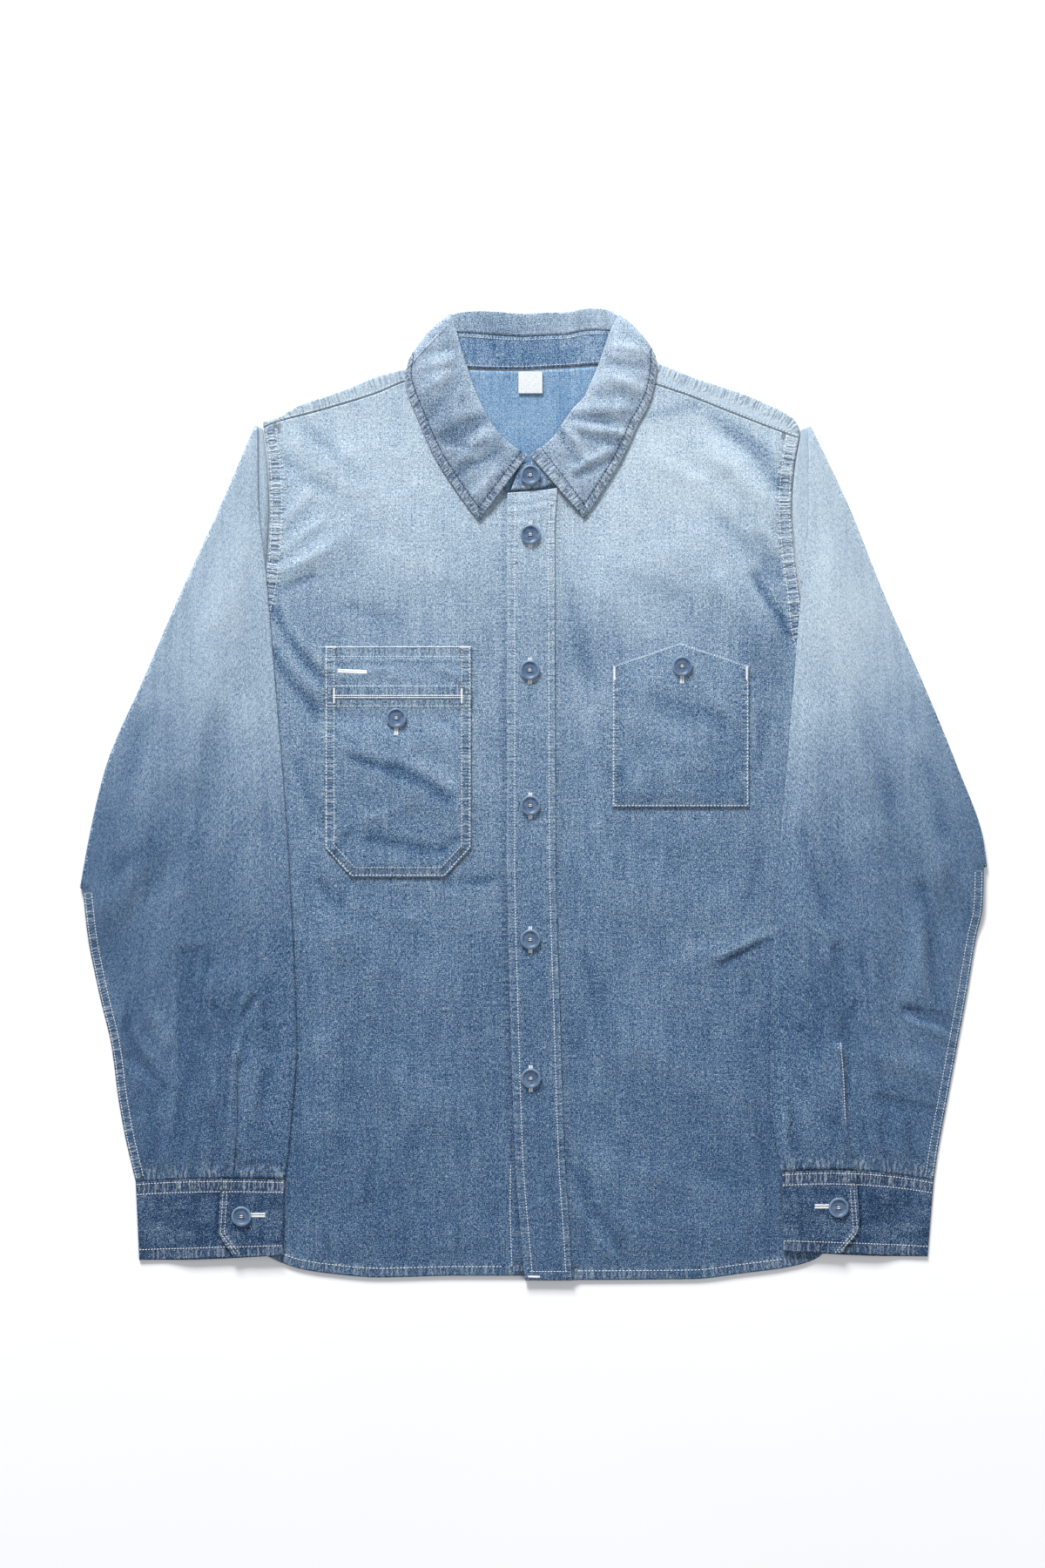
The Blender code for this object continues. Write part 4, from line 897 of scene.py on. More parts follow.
def group_node(tree: NodeTree, name: str, inputs: dict[str | int, object]) -> bpy.types.Node:
    """A shared group placed in a tree; the group is built at its first use.

    Args:
        tree: Tree to add to.
        name: weave, clouds or puckers.
        inputs: Its inputs.

    Returns:
        The node.
    """
    makers = {"weave": weave_group, "clouds": blotch_group, "puckers": pucker_group}
    if name not in GROUPS:
        GROUPS[name] = makers[name]()
    return tree.feed(tree.add("ShaderNodeGroup", node_tree=GROUPS[name]), inputs)


@dataclass(frozen=True)
class Chambray:
    """Washed chambray cloth.

    Attributes:
        name: Name of the material.
        deep: Colour where the dye holds.
        mid: Colour half washed out.
        pale: Colour where the cloth is bleached.
        mottle: How far the weave's tone shows.
        clouds: How uneven the washing is.
        pitch: Width of a seam's puckers in mm.
        shade: Overall lightness.
    """

    name: str
    deep: Tint = (36, 79, 131)
    mid: Tint = (107, 150, 183)
    pale: Tint = (188, 202, 212)
    mottle: float = 0.5
    clouds: float = 0.12
    pitch: float = 2.1
    shade: float = 0.953

    def ramp(self, tree: NodeTree, pale: Socket) -> Socket:
        """Colour of the cloth for how pale it is drawn: its wash, with painted light and shade
        added in places.

        Args:
            tree: Tree to add to.
            pale: How pale the cloth is drawn, from its wash and from painted light and shade.

        Returns:
            The colour.
        """
        reach = RAMP_HIGH - RAMP_LOW
        node = tree.add("ShaderNodeValToRGB")
        tree.feed(node, {0: tree.math("MULTIPLY_ADD", pale, 1 / reach, -RAMP_LOW / reach)})
        stops = ((RAMP_LOW, self.deep, 0.42), (0.14, self.deep, 1), (0.5, self.mid, 1),
                 (0.86, self.pale, 1), (RAMP_HIGH, self.pale, 1.22))
        for k, (place, tint, gain) in enumerate(stops):
            at = (place - RAMP_LOW) / reach
            stop = node.color_ramp.elements[k] if k < 2 else node.color_ramp.elements.new(at)
            stop.position = at
            stop.color = colour(*tint, gain=gain * self.shade)
        return node.outputs[0]

    def material(self) -> Finish:
        """Builds the material."""
        tree = MaterialTree(self.name)
        cloth = tree.cloth_place()
        weave = group_node(tree, "weave", {"Cloth": cloth}).outputs
        clouds = group_node(tree, "clouds", {"Place": cloth}).outputs
        marks = {name.title(): tree.mark(name) for name in ("run", "reach")}
        pucker = group_node(tree, "puckers", {"Strength": tree.mark("pucker"),
                                              "Pitch": self.pitch, **marks}).outputs
        pale = tree.plus(tree.mark("pale"), tree.times(clouds["Cloud"], self.clouds),
                         tree.times(clouds["Streak"], STREAKS),
                         tree.times(weave["Tone"], self.mottle))
        # Pucker ridges mixed paler and hollows darker: partly fading from rubbing and dye kept in
        # the hollows, partly painted highlight and shade.
        tone_with_painted_light = tree.mix(tree.times(pucker["Ridge"], RIDGE_SHOWS), self.ramp(tree, pale), RIDGE_WEAR_AND_HIGHLIGHT)
        tone_with_painted_light = tree.mix(tree.times(pucker["Hollow"], HOLLOW_SHOWS), tone_with_painted_light, HOLLOW_DYE_AND_SHADE)
        pleats = tree.bump(pucker["Height"], 0.9, PLEAT_DEPTH)
        return tree.shade({
            "Base Color": tone_with_painted_light,
            "Roughness": tree.plus(CLOTH_ROUGHNESS, tree.times(weave["Tone"], 0.06)),
            "Specular IOR Level": 0.25, "Sheen Weight": 0.12, "Sheen Roughness": 0.5,
            "Normal": tree.bump(weave["Height"], 0.35, THREAD_DEPTH, Normal=pleats)})


@dataclass(frozen=True)
class Thread:
    """Sewing thread: a plain colour broken by its twist."""

    name: str
    tint: Tint

    def material(self) -> Finish:
        """Builds the material."""
        tree = MaterialTree(self.name)
        place = tree.object_place()
        twist, dirt = tree.noise(place, 1400.0), tree.noise(place, 60.0)
        tone = tree.plus(tree.times(twist, 0.6), tree.times(dirt, 0.4))
        dark, light = (colour(*self.tint, gain=gain) for gain in (0.9, 1.08))
        return tree.shade({
            "Base Color": tree.mix(tone, dark, light),
            "Roughness": tree.span(twist, 0.3, 0.7, 0.6, 0.8),
            "Normal": tree.bump(twist, 0.5, 0.0001)})


@dataclass(frozen=True)
class Plastic:
    """Slate blue button plastic, satin, with faint clouding and a rim drawn paler as a painted
    highlight.
    """

    name: str
    dark: Tint = (58, 82, 114)
    light: Tint = (92, 117, 147)
    tone_with_painted_light: Tint = (150, 172, 194)
    rough: float = 0.42

    def material(self) -> Finish:
        """Builds the material."""
        tree = MaterialTree(self.name)
        place = tree.object_place()
        cloud, grit = tree.noise(place, 260.0, 3.0), tree.noise(place, 1900.0)
        tone = tree.plus(tree.times(cloud, 0.7), tree.times(grit, 0.3))
        body = tree.mix(tree.span(tone, 0.35, 0.65), colour(*self.dark), colour(*self.light))
        return tree.shade({
            # The rim is mixed toward a paler colour: a painted highlight.
            "Base Color": tree.mix(tree.times(tree.mark("rim"), 0.42), body, colour(*self.tone_with_painted_light)),
            "Roughness": tree.span(grit, 0.3, 0.7, self.rough - 0.06, self.rough + 0.1),
            "Normal": tree.bump(grit, 0.15, 0.0001)})


@dataclass(frozen=True)
class Paper:
    """The pale surface under the shirt, faintly mottled so that it isn't one flat value."""

    name: str
    tint: Tint = (253, 253, 254)

    def material(self) -> Finish:
        """Builds the material."""
        tree = MaterialTree(self.name)
        cloud = tree.noise(tree.object_place(), 3.0)
        return tree.shade({
            "Base Color": tree.mix(cloud, colour(*self.tint, gain=0.985), colour(*self.tint)),
            "Roughness": 0.95, "Specular IOR Level": 0.1})


@dataclass(frozen=True)
class LabelCloth:
    """White woven label, blank, with a close ribbed weave."""

    name: str = "label_weave"

    def material(self) -> Finish:
        """Builds the material."""
        tree = MaterialTree(self.name)
        weave = group_node(tree, "weave", {"Cloth": tree.cloth_place()}).outputs
        tone = tree.span(weave["Tone"], -0.5, 0.5)
        return tree.shade({
            "Base Color": tree.mix(tone, colour(206, 212, 217), colour(234, 237, 239)),
            "Roughness": tree.span(weave["Tone"], -0.5, 0.5, 0.55, 0.75),
            "Normal": tree.bump(weave["Height"], 0.4, 0.0002)})


# ---------------------------------------------------------------- cloth meshes


def grid_faces(rows: int, columns: int, around: bool) -> np.ndarray:
    """Quads of a grid, closed across its columns when around is set.

    Args:
        rows: Number of rows.
        columns: Number of columns.
        around: Whether the columns close on themselves.

    Returns:
        Four point numbers a face.
    """
    r, c = np.meshgrid(np.arange(rows - 1), np.arange(columns if around else columns - 1),
                       indexing="ij")
    n = (c + 1) % columns
    quads = [r * columns + c, r * columns + n, (r + 1) * columns + n, (r + 1) * columns + c]
    return np.stack([q.ravel() for q in quads], 1)


def rim_faces(rows: int, columns: int, around: bool) -> np.ndarray:
    """Quads that join the two walls of a cloth grid round its open edges.

    Args:
        rows: Number of rows.
        columns: Number of columns.
        around: Whether the columns close on themselves.

    Returns:
        Four point numbers a face.
    """
    shift, last, faces = rows * columns, (rows - 1) * columns, []
    for c in range(columns if around else columns - 1):
        n = (c + 1) % columns
        faces.append((n, c, c + shift, n + shift))
        faces.append((last + c, last + n, last + n + shift, last + c + shift))
    if not around:
        e = columns - 1
        for r in range(rows - 1):
            a, b = r * columns, (r + 1) * columns
            faces.append((a, b, b + shift, a + shift))
            faces.append((b + e, a + e, a + e + shift, b + e + shift))
    return np.array(faces)


def face_columns(faces: np.ndarray, columns: int, around: bool) -> np.ndarray:
    """Column of each face corner, counted past the last one where the grid closes.

    Args:
        faces: Point numbers of each face.
        columns: Number of columns.
        around: Whether the columns close on themselves.

    Returns:
        A column for each corner.
    """
    column = faces % columns
    if around:
        wraps = (column.max(1) - column.min(1)) > 1
        column = np.where(wraps[:, None] & (column == 0), columns, column)
    return column


def placed(name: str, data: bpy.types.ID) -> Piece:
    """A new object in the scene."""
    made = bpy.data.objects.new(name, data)
    bpy.context.scene.collection.objects.link(made)
    return made


def smooth_piece(name: str, mesh: bpy.types.Mesh, finish: Finish) -> Piece:
    """A smoothly shaded object of this mesh in the scene."""
    mesh.polygons.foreach_set("use_smooth", np.ones(len(mesh.polygons), bool))
    mesh.materials.append(finish)
    return placed(name, mesh)


def write_marks(mesh: bpy.types.Mesh, marks: Iterable[np.ndarray], uv: np.ndarray) -> None:
    """Writes a cloth mesh's marks at its points and its UV at its corners.

    Args:
        mesh: The mesh, whose two walls have the same points in the same order.
        marks: Values of each mark at one wall's points.
        uv: Place on the cloth at each corner, in metres.
    """
    for label, values in zip(("pucker", "run", "reach", "pale"), marks):
        data = np.tile(values.ravel(), 2).astype(np.float32)
        mesh.attributes.new(label, "FLOAT", "POINT").data.foreach_set("value", data)
    mesh.uv_layers.new(name="cloth").data.foreach_set("uv", uv.astype(np.float32).ravel())


def cloth_object(name: str, outer: np.ndarray, inner: np.ndarray, marks: Marks,
                 finish: Finish, around: bool = False) -> Piece:
    """A closed wall of cloth between two matching grids of points in mm.

    Args:
        name: Name of the piece.
        outer: Rows of points of the side that shows.
        inner: Rows of points of the other side.
        marks: Values for the material at each point; uv has one more column when around is set.
        finish: Its material.
        around: Whether the columns close on themselves.

    Returns:
        The object.
    """
    rows, columns = outer.shape[:2]
    shift = rows * columns
    face = grid_faces(rows, columns, around)
    shown, hidden = outer.reshape(-1, 3), inner.reshape(-1, 3)
    a, b, d = (shown[face[:, k]] for k in (0, 1, 3))
    facing = (np.cross(b - a, d - a) * (shown - hidden)[face[:, 0]]).sum()
    faces = np.concatenate([face, face[:, ::-1] + shift, rim_faces(rows, columns, around)])
    if facing < 0:
        faces = faces[:, ::-1]
    mesh = bpy.data.meshes.new(name + "_cloth")
    mesh.from_pydata((np.concatenate([shown, hidden]) * MM).tolist(), [], faces.tolist())
    mesh.update()
    corners = np.array([v for poly in mesh.polygons for v in poly.vertices]).reshape(-1, 4)
    column = face_columns(corners % shift, columns, around)
    row = (corners % shift) // columns
    uv = marks.uv[row, column].reshape(-1, 2) * MM
    write_marks(mesh, (marks.pucker, marks.run, marks.reach, marks.pale), uv)
    return smooth_piece(name + "_cloth", mesh, finish)


def mesh_area(piece: Piece) -> float:
    """Surface area of a mesh in square metres."""
    return float(sum(p.area for p in piece.data.polygons))


def settle(piece: Piece, nodes: Sequence[str], flat: Sequence[float],
           rests_on: Sequence[str]) -> None:
    """Attaches a cloth piece to the frame, hides the CAD nodes it replaces and logs the size it was
    cut to.

    Args:
        piece: The cloth.
        nodes: CAD nodes it replaces.
        flat: Width and length of the cut, in mm.
        rests_on: What it lies on; not used.
    """
    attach(piece, "root")
    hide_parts(*nodes)
    cut = min(flat[0] * flat[1] * MM * MM, mesh_area(piece) / 2)
    log.info("%s: %d faces, %.4f m2 of cloth", piece.name, len(piece.data.polygons), cut)


class Surface:
    """Reads heights, in mm, of the highest of some pieces straight below a plan point."""

    def __init__(self, *pieces: Piece) -> None:
        """Builds one search tree for each piece."""
        self.trees = []
        for piece in pieces:
            mesh = piece.data
            self.trees.append(BVHTree.FromPolygons([v.co.copy() for v in mesh.vertices],
                                                   [tuple(p.vertices) for p in mesh.polygons]))

    def height(self, x: float, y: float, otherwise: float = 0.0) -> float:
        """Height at a plan point, or otherwise where nothing lies there.

        Args:
            x: Plan x.
            y: Plan y.
            otherwise: Height where nothing lies below.

        Returns:
            The height.
        """
        found = [t.ray_cast(Vector((x * MM, y * MM, 1)), Vector((0, 0, -1)))[0] for t in self.trees]
        found = [hit.z / MM for hit in found if hit is not None]
        return max(found) if found else otherwise

    def heights(self, x: np.ndarray, y: np.ndarray) -> np.ndarray:
        """Heights over a grid of plan points."""
        flat = [self.height(a, b) for a, b in zip(np.ravel(x), np.ravel(y))]
        return np.array(flat).reshape(np.shape(x))


def sheet_object(name: str, points: np.ndarray, marks: Marks, finish: Finish
                 ) -> Piece:
    """A panel whose grid gives its underside; the wall grows straight up."""
    return cloth_object(name, points + (0, 0, WALL), points, marks, finish)


# ---------------------------------------------------------------- body


@dataclass
class Body:
    """Back, yoke, both fronts and the placket strip."""

    rows: int = 250
    columns: int = 84
    back_cut: tuple[float, float] = (496.0, 621.0)
    yoke_cut: tuple[float, float] = (430.0, 130.0)
    front_cut: tuple[float, float] = (272.0, 724.0)
    placket_cut: tuple[float, float] = (43.0, 630.0)
    pieces: dict[str, Piece] = field(default_factory=dict)

    def seams(self) -> list[Seam]:
        """Sewn lines that pucker the fronts."""
        made = []
        for side, top, sign in ((SIDE_R, TOP_R, -1), (SIDE_L, TOP_L, 1)):
            arm = table_line(side, ARMPIT_Y + 6, 288, swapped=True)
            made.append(Seam(arm - (sign * 5.0, 0), 6.2, 1.0))
            made.append(Seam(table_line(top, *sorted((sign * 76, sign * 209))), 5.0, 0.25))
        for hem, ends in ((HEM_R, (-240, 14)), (HEM_L, (-10, 246))):
            made.append(Seam(table_line(hem, *ends) + (0, 5.0), 4.6, 0.6))
        for edge, beside, width, strength in ((CENTRE_L, -3.0, 3.0, 0.25),
                                              (PLACKET_EDGE, 2.5, 3.4, 0.16)):
            seam = table_line(edge, -380, 240, swapped=True) + (beside, 0)
            made.append(Seam(seam, width, strength))
        x0, x1 = WORK_POCKET["x"]
        corner_x, corner_y = WORK_POCKET["chamfer"]
        low = WORK_POCKET["bottom"]
        made.append(Seam(line((x0, 118), (x0, low + corner_y), (x0 + corner_x, low),
                              (x1 - corner_x, low), (x1, low + corner_y), (x1, 118)), 6.0, 0.3))
        x0, x1 = POINT_POCKET["x"]
        made.append(Seam(line((x0, 100), (x0, -9.4), (x1, -9.4), (x1, 100)), 5.0, 0.22))
        return made

    def panel(self, name: str, points: np.ndarray, finish: Finish,
              seams: Sequence[Seam], shade: float = 0.0) -> Piece:
        """A body panel with its marks read in plan.

        Args:
            name: Name of the piece.
            points: Rows of points of its underside.
            finish: Its material.
            seams: Sewn lines on it.
            shade: Lightness added.

        Returns:
            The panel.
        """
        x, y = points[..., 0], points[..., 1]
        pucker, run, reach = seam_marks(seams, x, y)
        pale = WASH_AND_SHADE.body(x, y) + shade
        # Fronts: ridges paler and creases darker, partly fading from rubbing and partly painted
        # highlight and shade.
        if name in ("front_right", "front_left"):
            pale = pale + relief_wear_and_shade(FRONT_CREASES, FRONT_FOLDS, x, y)
        # Painted shadow: a dark line on the right front just beside the edge of the placket lying
        # on it.
        if name == "front_right":
            pale = pale - 0.16 * np.exp(-((follow(CENTRE_L, y) - 2 - x) / 3.0) ** 2)
        # The placket's edges paler: partly fading from rubbing, partly painted highlight.
        if name == "front_placket":
            rim = np.minimum(x - follow(CENTRE_L, y), follow(PLACKET_EDGE, y) - x)
            pale = pale + 0.16 * np.exp(-(rim / 1.2) ** 2)
        marks = Marks(points[..., :2], pucker, run, reach, np.clip(pale, 0, 1))
        made = sheet_object(name, points, marks, finish)
        self.pieces[name] = made
        return made

    def back(self, finish: Finish) -> None:
        """The flat back, from the hem to the yoke's hidden seam.

        Args:
            finish: Its material.
        """
        bottom = HEM_R[:-1] + HEM_L[1:]
        share, across = np.meshgrid(bordered(90), bordered(60), indexing="ij")
        y = np.zeros_like(share)
        for _ in range(5):
            left, right = follow(SIDE_R, y), follow(SIDE_L, y)
            x = left + (right - left) * across
            low = follow(bottom, x) + 3.0
            y = low + (YOKE_SEAM_Y - GAP / 2 - low) * share
        points = np.stack([x, y, 0 * x], -1)
        seams = [Seam(table_line(bottom, -240, 246) + (0, 8.0), 4.6, 0.6),
                 Seam(line((-206, YOKE_SEAM_Y - 3), (204, YOKE_SEAM_Y - 3)), 4.5, 0.5)]
        made = self.panel("back", points, finish, seams)
        settle(made, ["back"], self.back_cut, ["stage_floor"])

    def yoke_column(self, x: float) -> np.ndarray:
        """Middle points and normals of a yoke column, round the shoulder fold if it has one.

        Args:
            x: Plan x.

        Returns:
            Rows of a point and a normal.
        """
        shoulder = abs(x) >= NECK_END
        fold_rows, seam = (SHOULDER_R, TOP_R) if x < 0 else (SHOULDER_L, TOP_L)
        side = SIDE_R if x < 0 else SIDE_L
        middle = float(follow(fold_rows, x)) - HALF_FOLD - WALL / 2
        high = middle if shoulder else float(follow(NECK_BACK, x))
        ys = np.linspace(YOKE_SEAM_Y + GAP / 2, high, 34)
        shift = (follow(side, np.minimum(ys, 290)) - side[-1][1]) * smooth((130, 213), abs(x))
        rows = [(x + s, y, WALL / 2 + float(lift(y)), 0, 0, 1) for s, y in zip(shift, ys)]
        if shoulder:
            rows = [row[:3] + (0, 0, -1) for row in rows]
            for angle in np.radians(np.linspace(-70, 90, 9)):
                rows.append((x, middle + HALF_FOLD * math.cos(angle),
                             WALL / 2 + HALF_FOLD * (1 + math.sin(angle)) + float(lift(middle)),
                             0, math.cos(angle), math.sin(angle)))
            seam_y = min(float(follow(seam, x)) + GAP, middle - 1.2)
            for y in np.linspace(middle, seam_y, 6)[1:]:
                rows.append((x, y, WALL / 2 + FRONT_Z + float(lift(y)), 0, 0, 1))
        return np.array(rows)

    def yoke(self, finish: Finish) -> None:
        """The yoke as one closed skin: flat part, neck edge and a wrap over each shoulder.

        Args:
            finish: Its material.
        """
        stations = np.concatenate([np.linspace(-213.8, -NECK_END, 74), np.linspace(-64, 64, 66),
                                   np.linspace(NECK_END, 210.4, 72)])
        levels, points, normals, faces, columns = 34, [], [], [], []
        for x in stations:
            rows = self.yoke_column(x)
            start = len(points)
            columns.append((start, len(rows)))
            points += list(rows[:, :3])
            normals += [row[3:] * (-1 if k < levels and abs(x) < NECK_END else 1)
                        for k, row in enumerate(rows)]
        for (a, na), (b, nb) in zip(columns, columns[1:]):
            for v in range(min(na, nb) - 1):
                faces.append((a + v, a + v + 1, b + v + 1, b + v))
        mesh = bpy.data.meshes.new("yoke_cloth")
        middle, normal = np.array(points), np.array(normals)
        count = len(middle)
        outer, inner = middle + normal * WALL / 2, middle - normal * WALL / 2
        edges = [(f[i], f[(i + 1) % 4]) for f in faces for i in range(4)]
        used = Counter(tuple(sorted(edge)) for edge in edges)
        rims = [(b, a, a + count, b + count) for a, b in edges if used[tuple(sorted((a, b)))] == 1]
        both = faces + [tuple(v + count for v in reversed(f)) for f in faces] + rims
        skin = np.concatenate([outer, inner])
        mesh.from_pydata((skin * MM).tolist(), [], both)
        mesh.update()
        if sum(p.normal.dot(Vector(normal[p.vertices[0]])) for p in mesh.polygons[:len(faces)]) < 0:
            mesh.flip_normals()
        top = np.array([k for start, n in columns for k in range(n)]) >= levels + 4
        lines = [Seam(table_line(SHOULDER_R, -212, -76) - (0, 5), 5.0, 0.6),
                 Seam(table_line(SHOULDER_L, 76, 209) - (0, 5), 5.0, 0.6)]
        inside = [Seam(table_line(NECK_BACK, -64, 64) - (0, 3), 4.0, 0.35),
                  Seam(line((-206, YOKE_SEAM_Y + 3), (204, YOKE_SEAM_Y + 3)), 4.0, 0.5)]
        x, y = middle[:, 0], middle[:, 1]
        marks = [np.where(top, a, b) for a, b in zip(seam_marks(lines, x, y),
                                                     seam_marks(inside, x, y))]
        pale = np.where(top, 0.93, np.where(np.abs(x) < NECK_END, 0.45, WASH_AND_SHADE.body(x, y)))
        corner = np.array([v for p in mesh.polygons for v in p.vertices])
        write_marks(mesh, (*marks, pale), np.tile(middle[:, :2] * MM, (2, 1))[corner])
        made = smooth_piece("yoke_cloth", mesh, finish)
        self.pieces["yoke"] = made
        settle(made, ["yoke"], self.yoke_cut, ["back"])

    def front_grid(self, stations: Sequence[Station], hem: Table,
                   top: Table, rise: Callable[[np.ndarray, np.ndarray], np.ndarray],
                   relief: bool = True) -> np.ndarray:
        """Grid of a front: one row a level between hem and yoke seam, one column a station.

        Args:
            stations: One column's x at any y each.
            hem: Lower edge.
            top: Upper edge.
            rise: Extra height at x and y.
            relief: Whether it has the front's folds.

        Returns:
            Rows of points of its underside.
        """
        share = bordered(self.rows, 0.002)
        y = np.zeros((len(share), len(stations)))
        for _ in range(6):
            x = np.stack([station(y[:, c]) for c, station in enumerate(stations)], 1)
            low, high = follow(hem, x), follow(top, x) - GAP
            y = low + (high - low) * share[:, None]
        z = FRONT_Z + lift(y) + rise(x, y) + (front_loft(x, y) if relief else 0)
        return np.stack([x, y, z], -1)

    def fronts(self, finish: Finish) -> None:
        """Right front under the placket, left front over it, and the placket strip.

        Args:
            finish: Material of all three.
        """
        def edge(rows: Table) -> Station:
            """An edge's x at any y."""
            return lambda y: follow(rows, y)

        def between(a: Callable, b: Callable, share: float) -> Station:
            """A column at a share of the way between two edges."""
            return lambda y: a(y) + (b(y) - a(y)) * share

        def neck_first(a: Callable, b: Callable, corner: float) -> list[Callable]:
            """Columns from edge a to edge b, one of them through the neck point."""
            half = self.columns // 2
            fixed = (lambda y: corner + 0 * y)
            first = [between(a, fixed, s) for s in bordered(half, 0.006)[:-2]]
            return first + [between(fixed, b, s) for s in bordered(half, 0.006)[1:]]

        strip_edge, centre = edge(PLACKET_EDGE), edge(CENTRE_L)
        seams = self.seams()
        columns = neck_first(edge(SIDE_R), lambda y: 15.8 + 0 * y, -NECK_POINT)
        self.panel("front_right", self.front_grid(columns, HEM_R, TOP_R, lambda x, y: 0 * x),
                   finish, seams)
        columns = neck_first(centre, edge(SIDE_L), NECK_POINT)
        self.panel("front_left",
                   self.front_grid(columns, HEM_L, TOP_L,
                                   lambda x, y: LAYER * smooth((6.5, 0), x - strip_edge(y))),
                   finish, seams)
        columns = [between(centre, strip_edge, s) for s in bordered(14, 0.016)]
        points = self.front_grid(columns, HEM_L, TOP_L, lambda x, y: 2 * LAYER + 0 * x, False)
        points[..., 2] += self.placket_creases(points[..., 0], points[..., 1])
        strip = [Seam(table_line(CENTRE_L, -382, 242, swapped=True) + (4.2, 0), 4.5, 0.3),
                 Seam(table_line(PLACKET_EDGE, -382, 242, swapped=True) - (2.8, 0), 4.0, 0.36)]
        self.panel("front_placket", points, finish, strip, -0.02)
        for name, slot in (("front_right", self.front_cut), ("front_left", self.front_cut)):
            settle(self.pieces[name], [name], slot, ["back"])
        settle(self.pieces["front_placket"], ["front_placket"], self.placket_cut,
               ["front_left"])

    def placket_creases(self, x: np.ndarray, y: np.ndarray) -> np.ndarray:
        """Cross folds under the collar stand and a faint waviness down the strip."""
        rise = np.maximum(creased(PLACKET_CREASES, x, y, 1.5), 0)
        return rise + 0.1 * (1 + CRUMPLE.at(x, y, 9))

    def build(self, finish: Finish, inside: Finish) -> None:
        """Builds all five pieces.

        Args:
            finish: Material of the outside.
            inside: Material of the yoke.
        """
        self.back(finish)
        self.yoke(inside)
        self.fronts(finish)


# ---------------------------------------------------------------- sleeves and cuffs


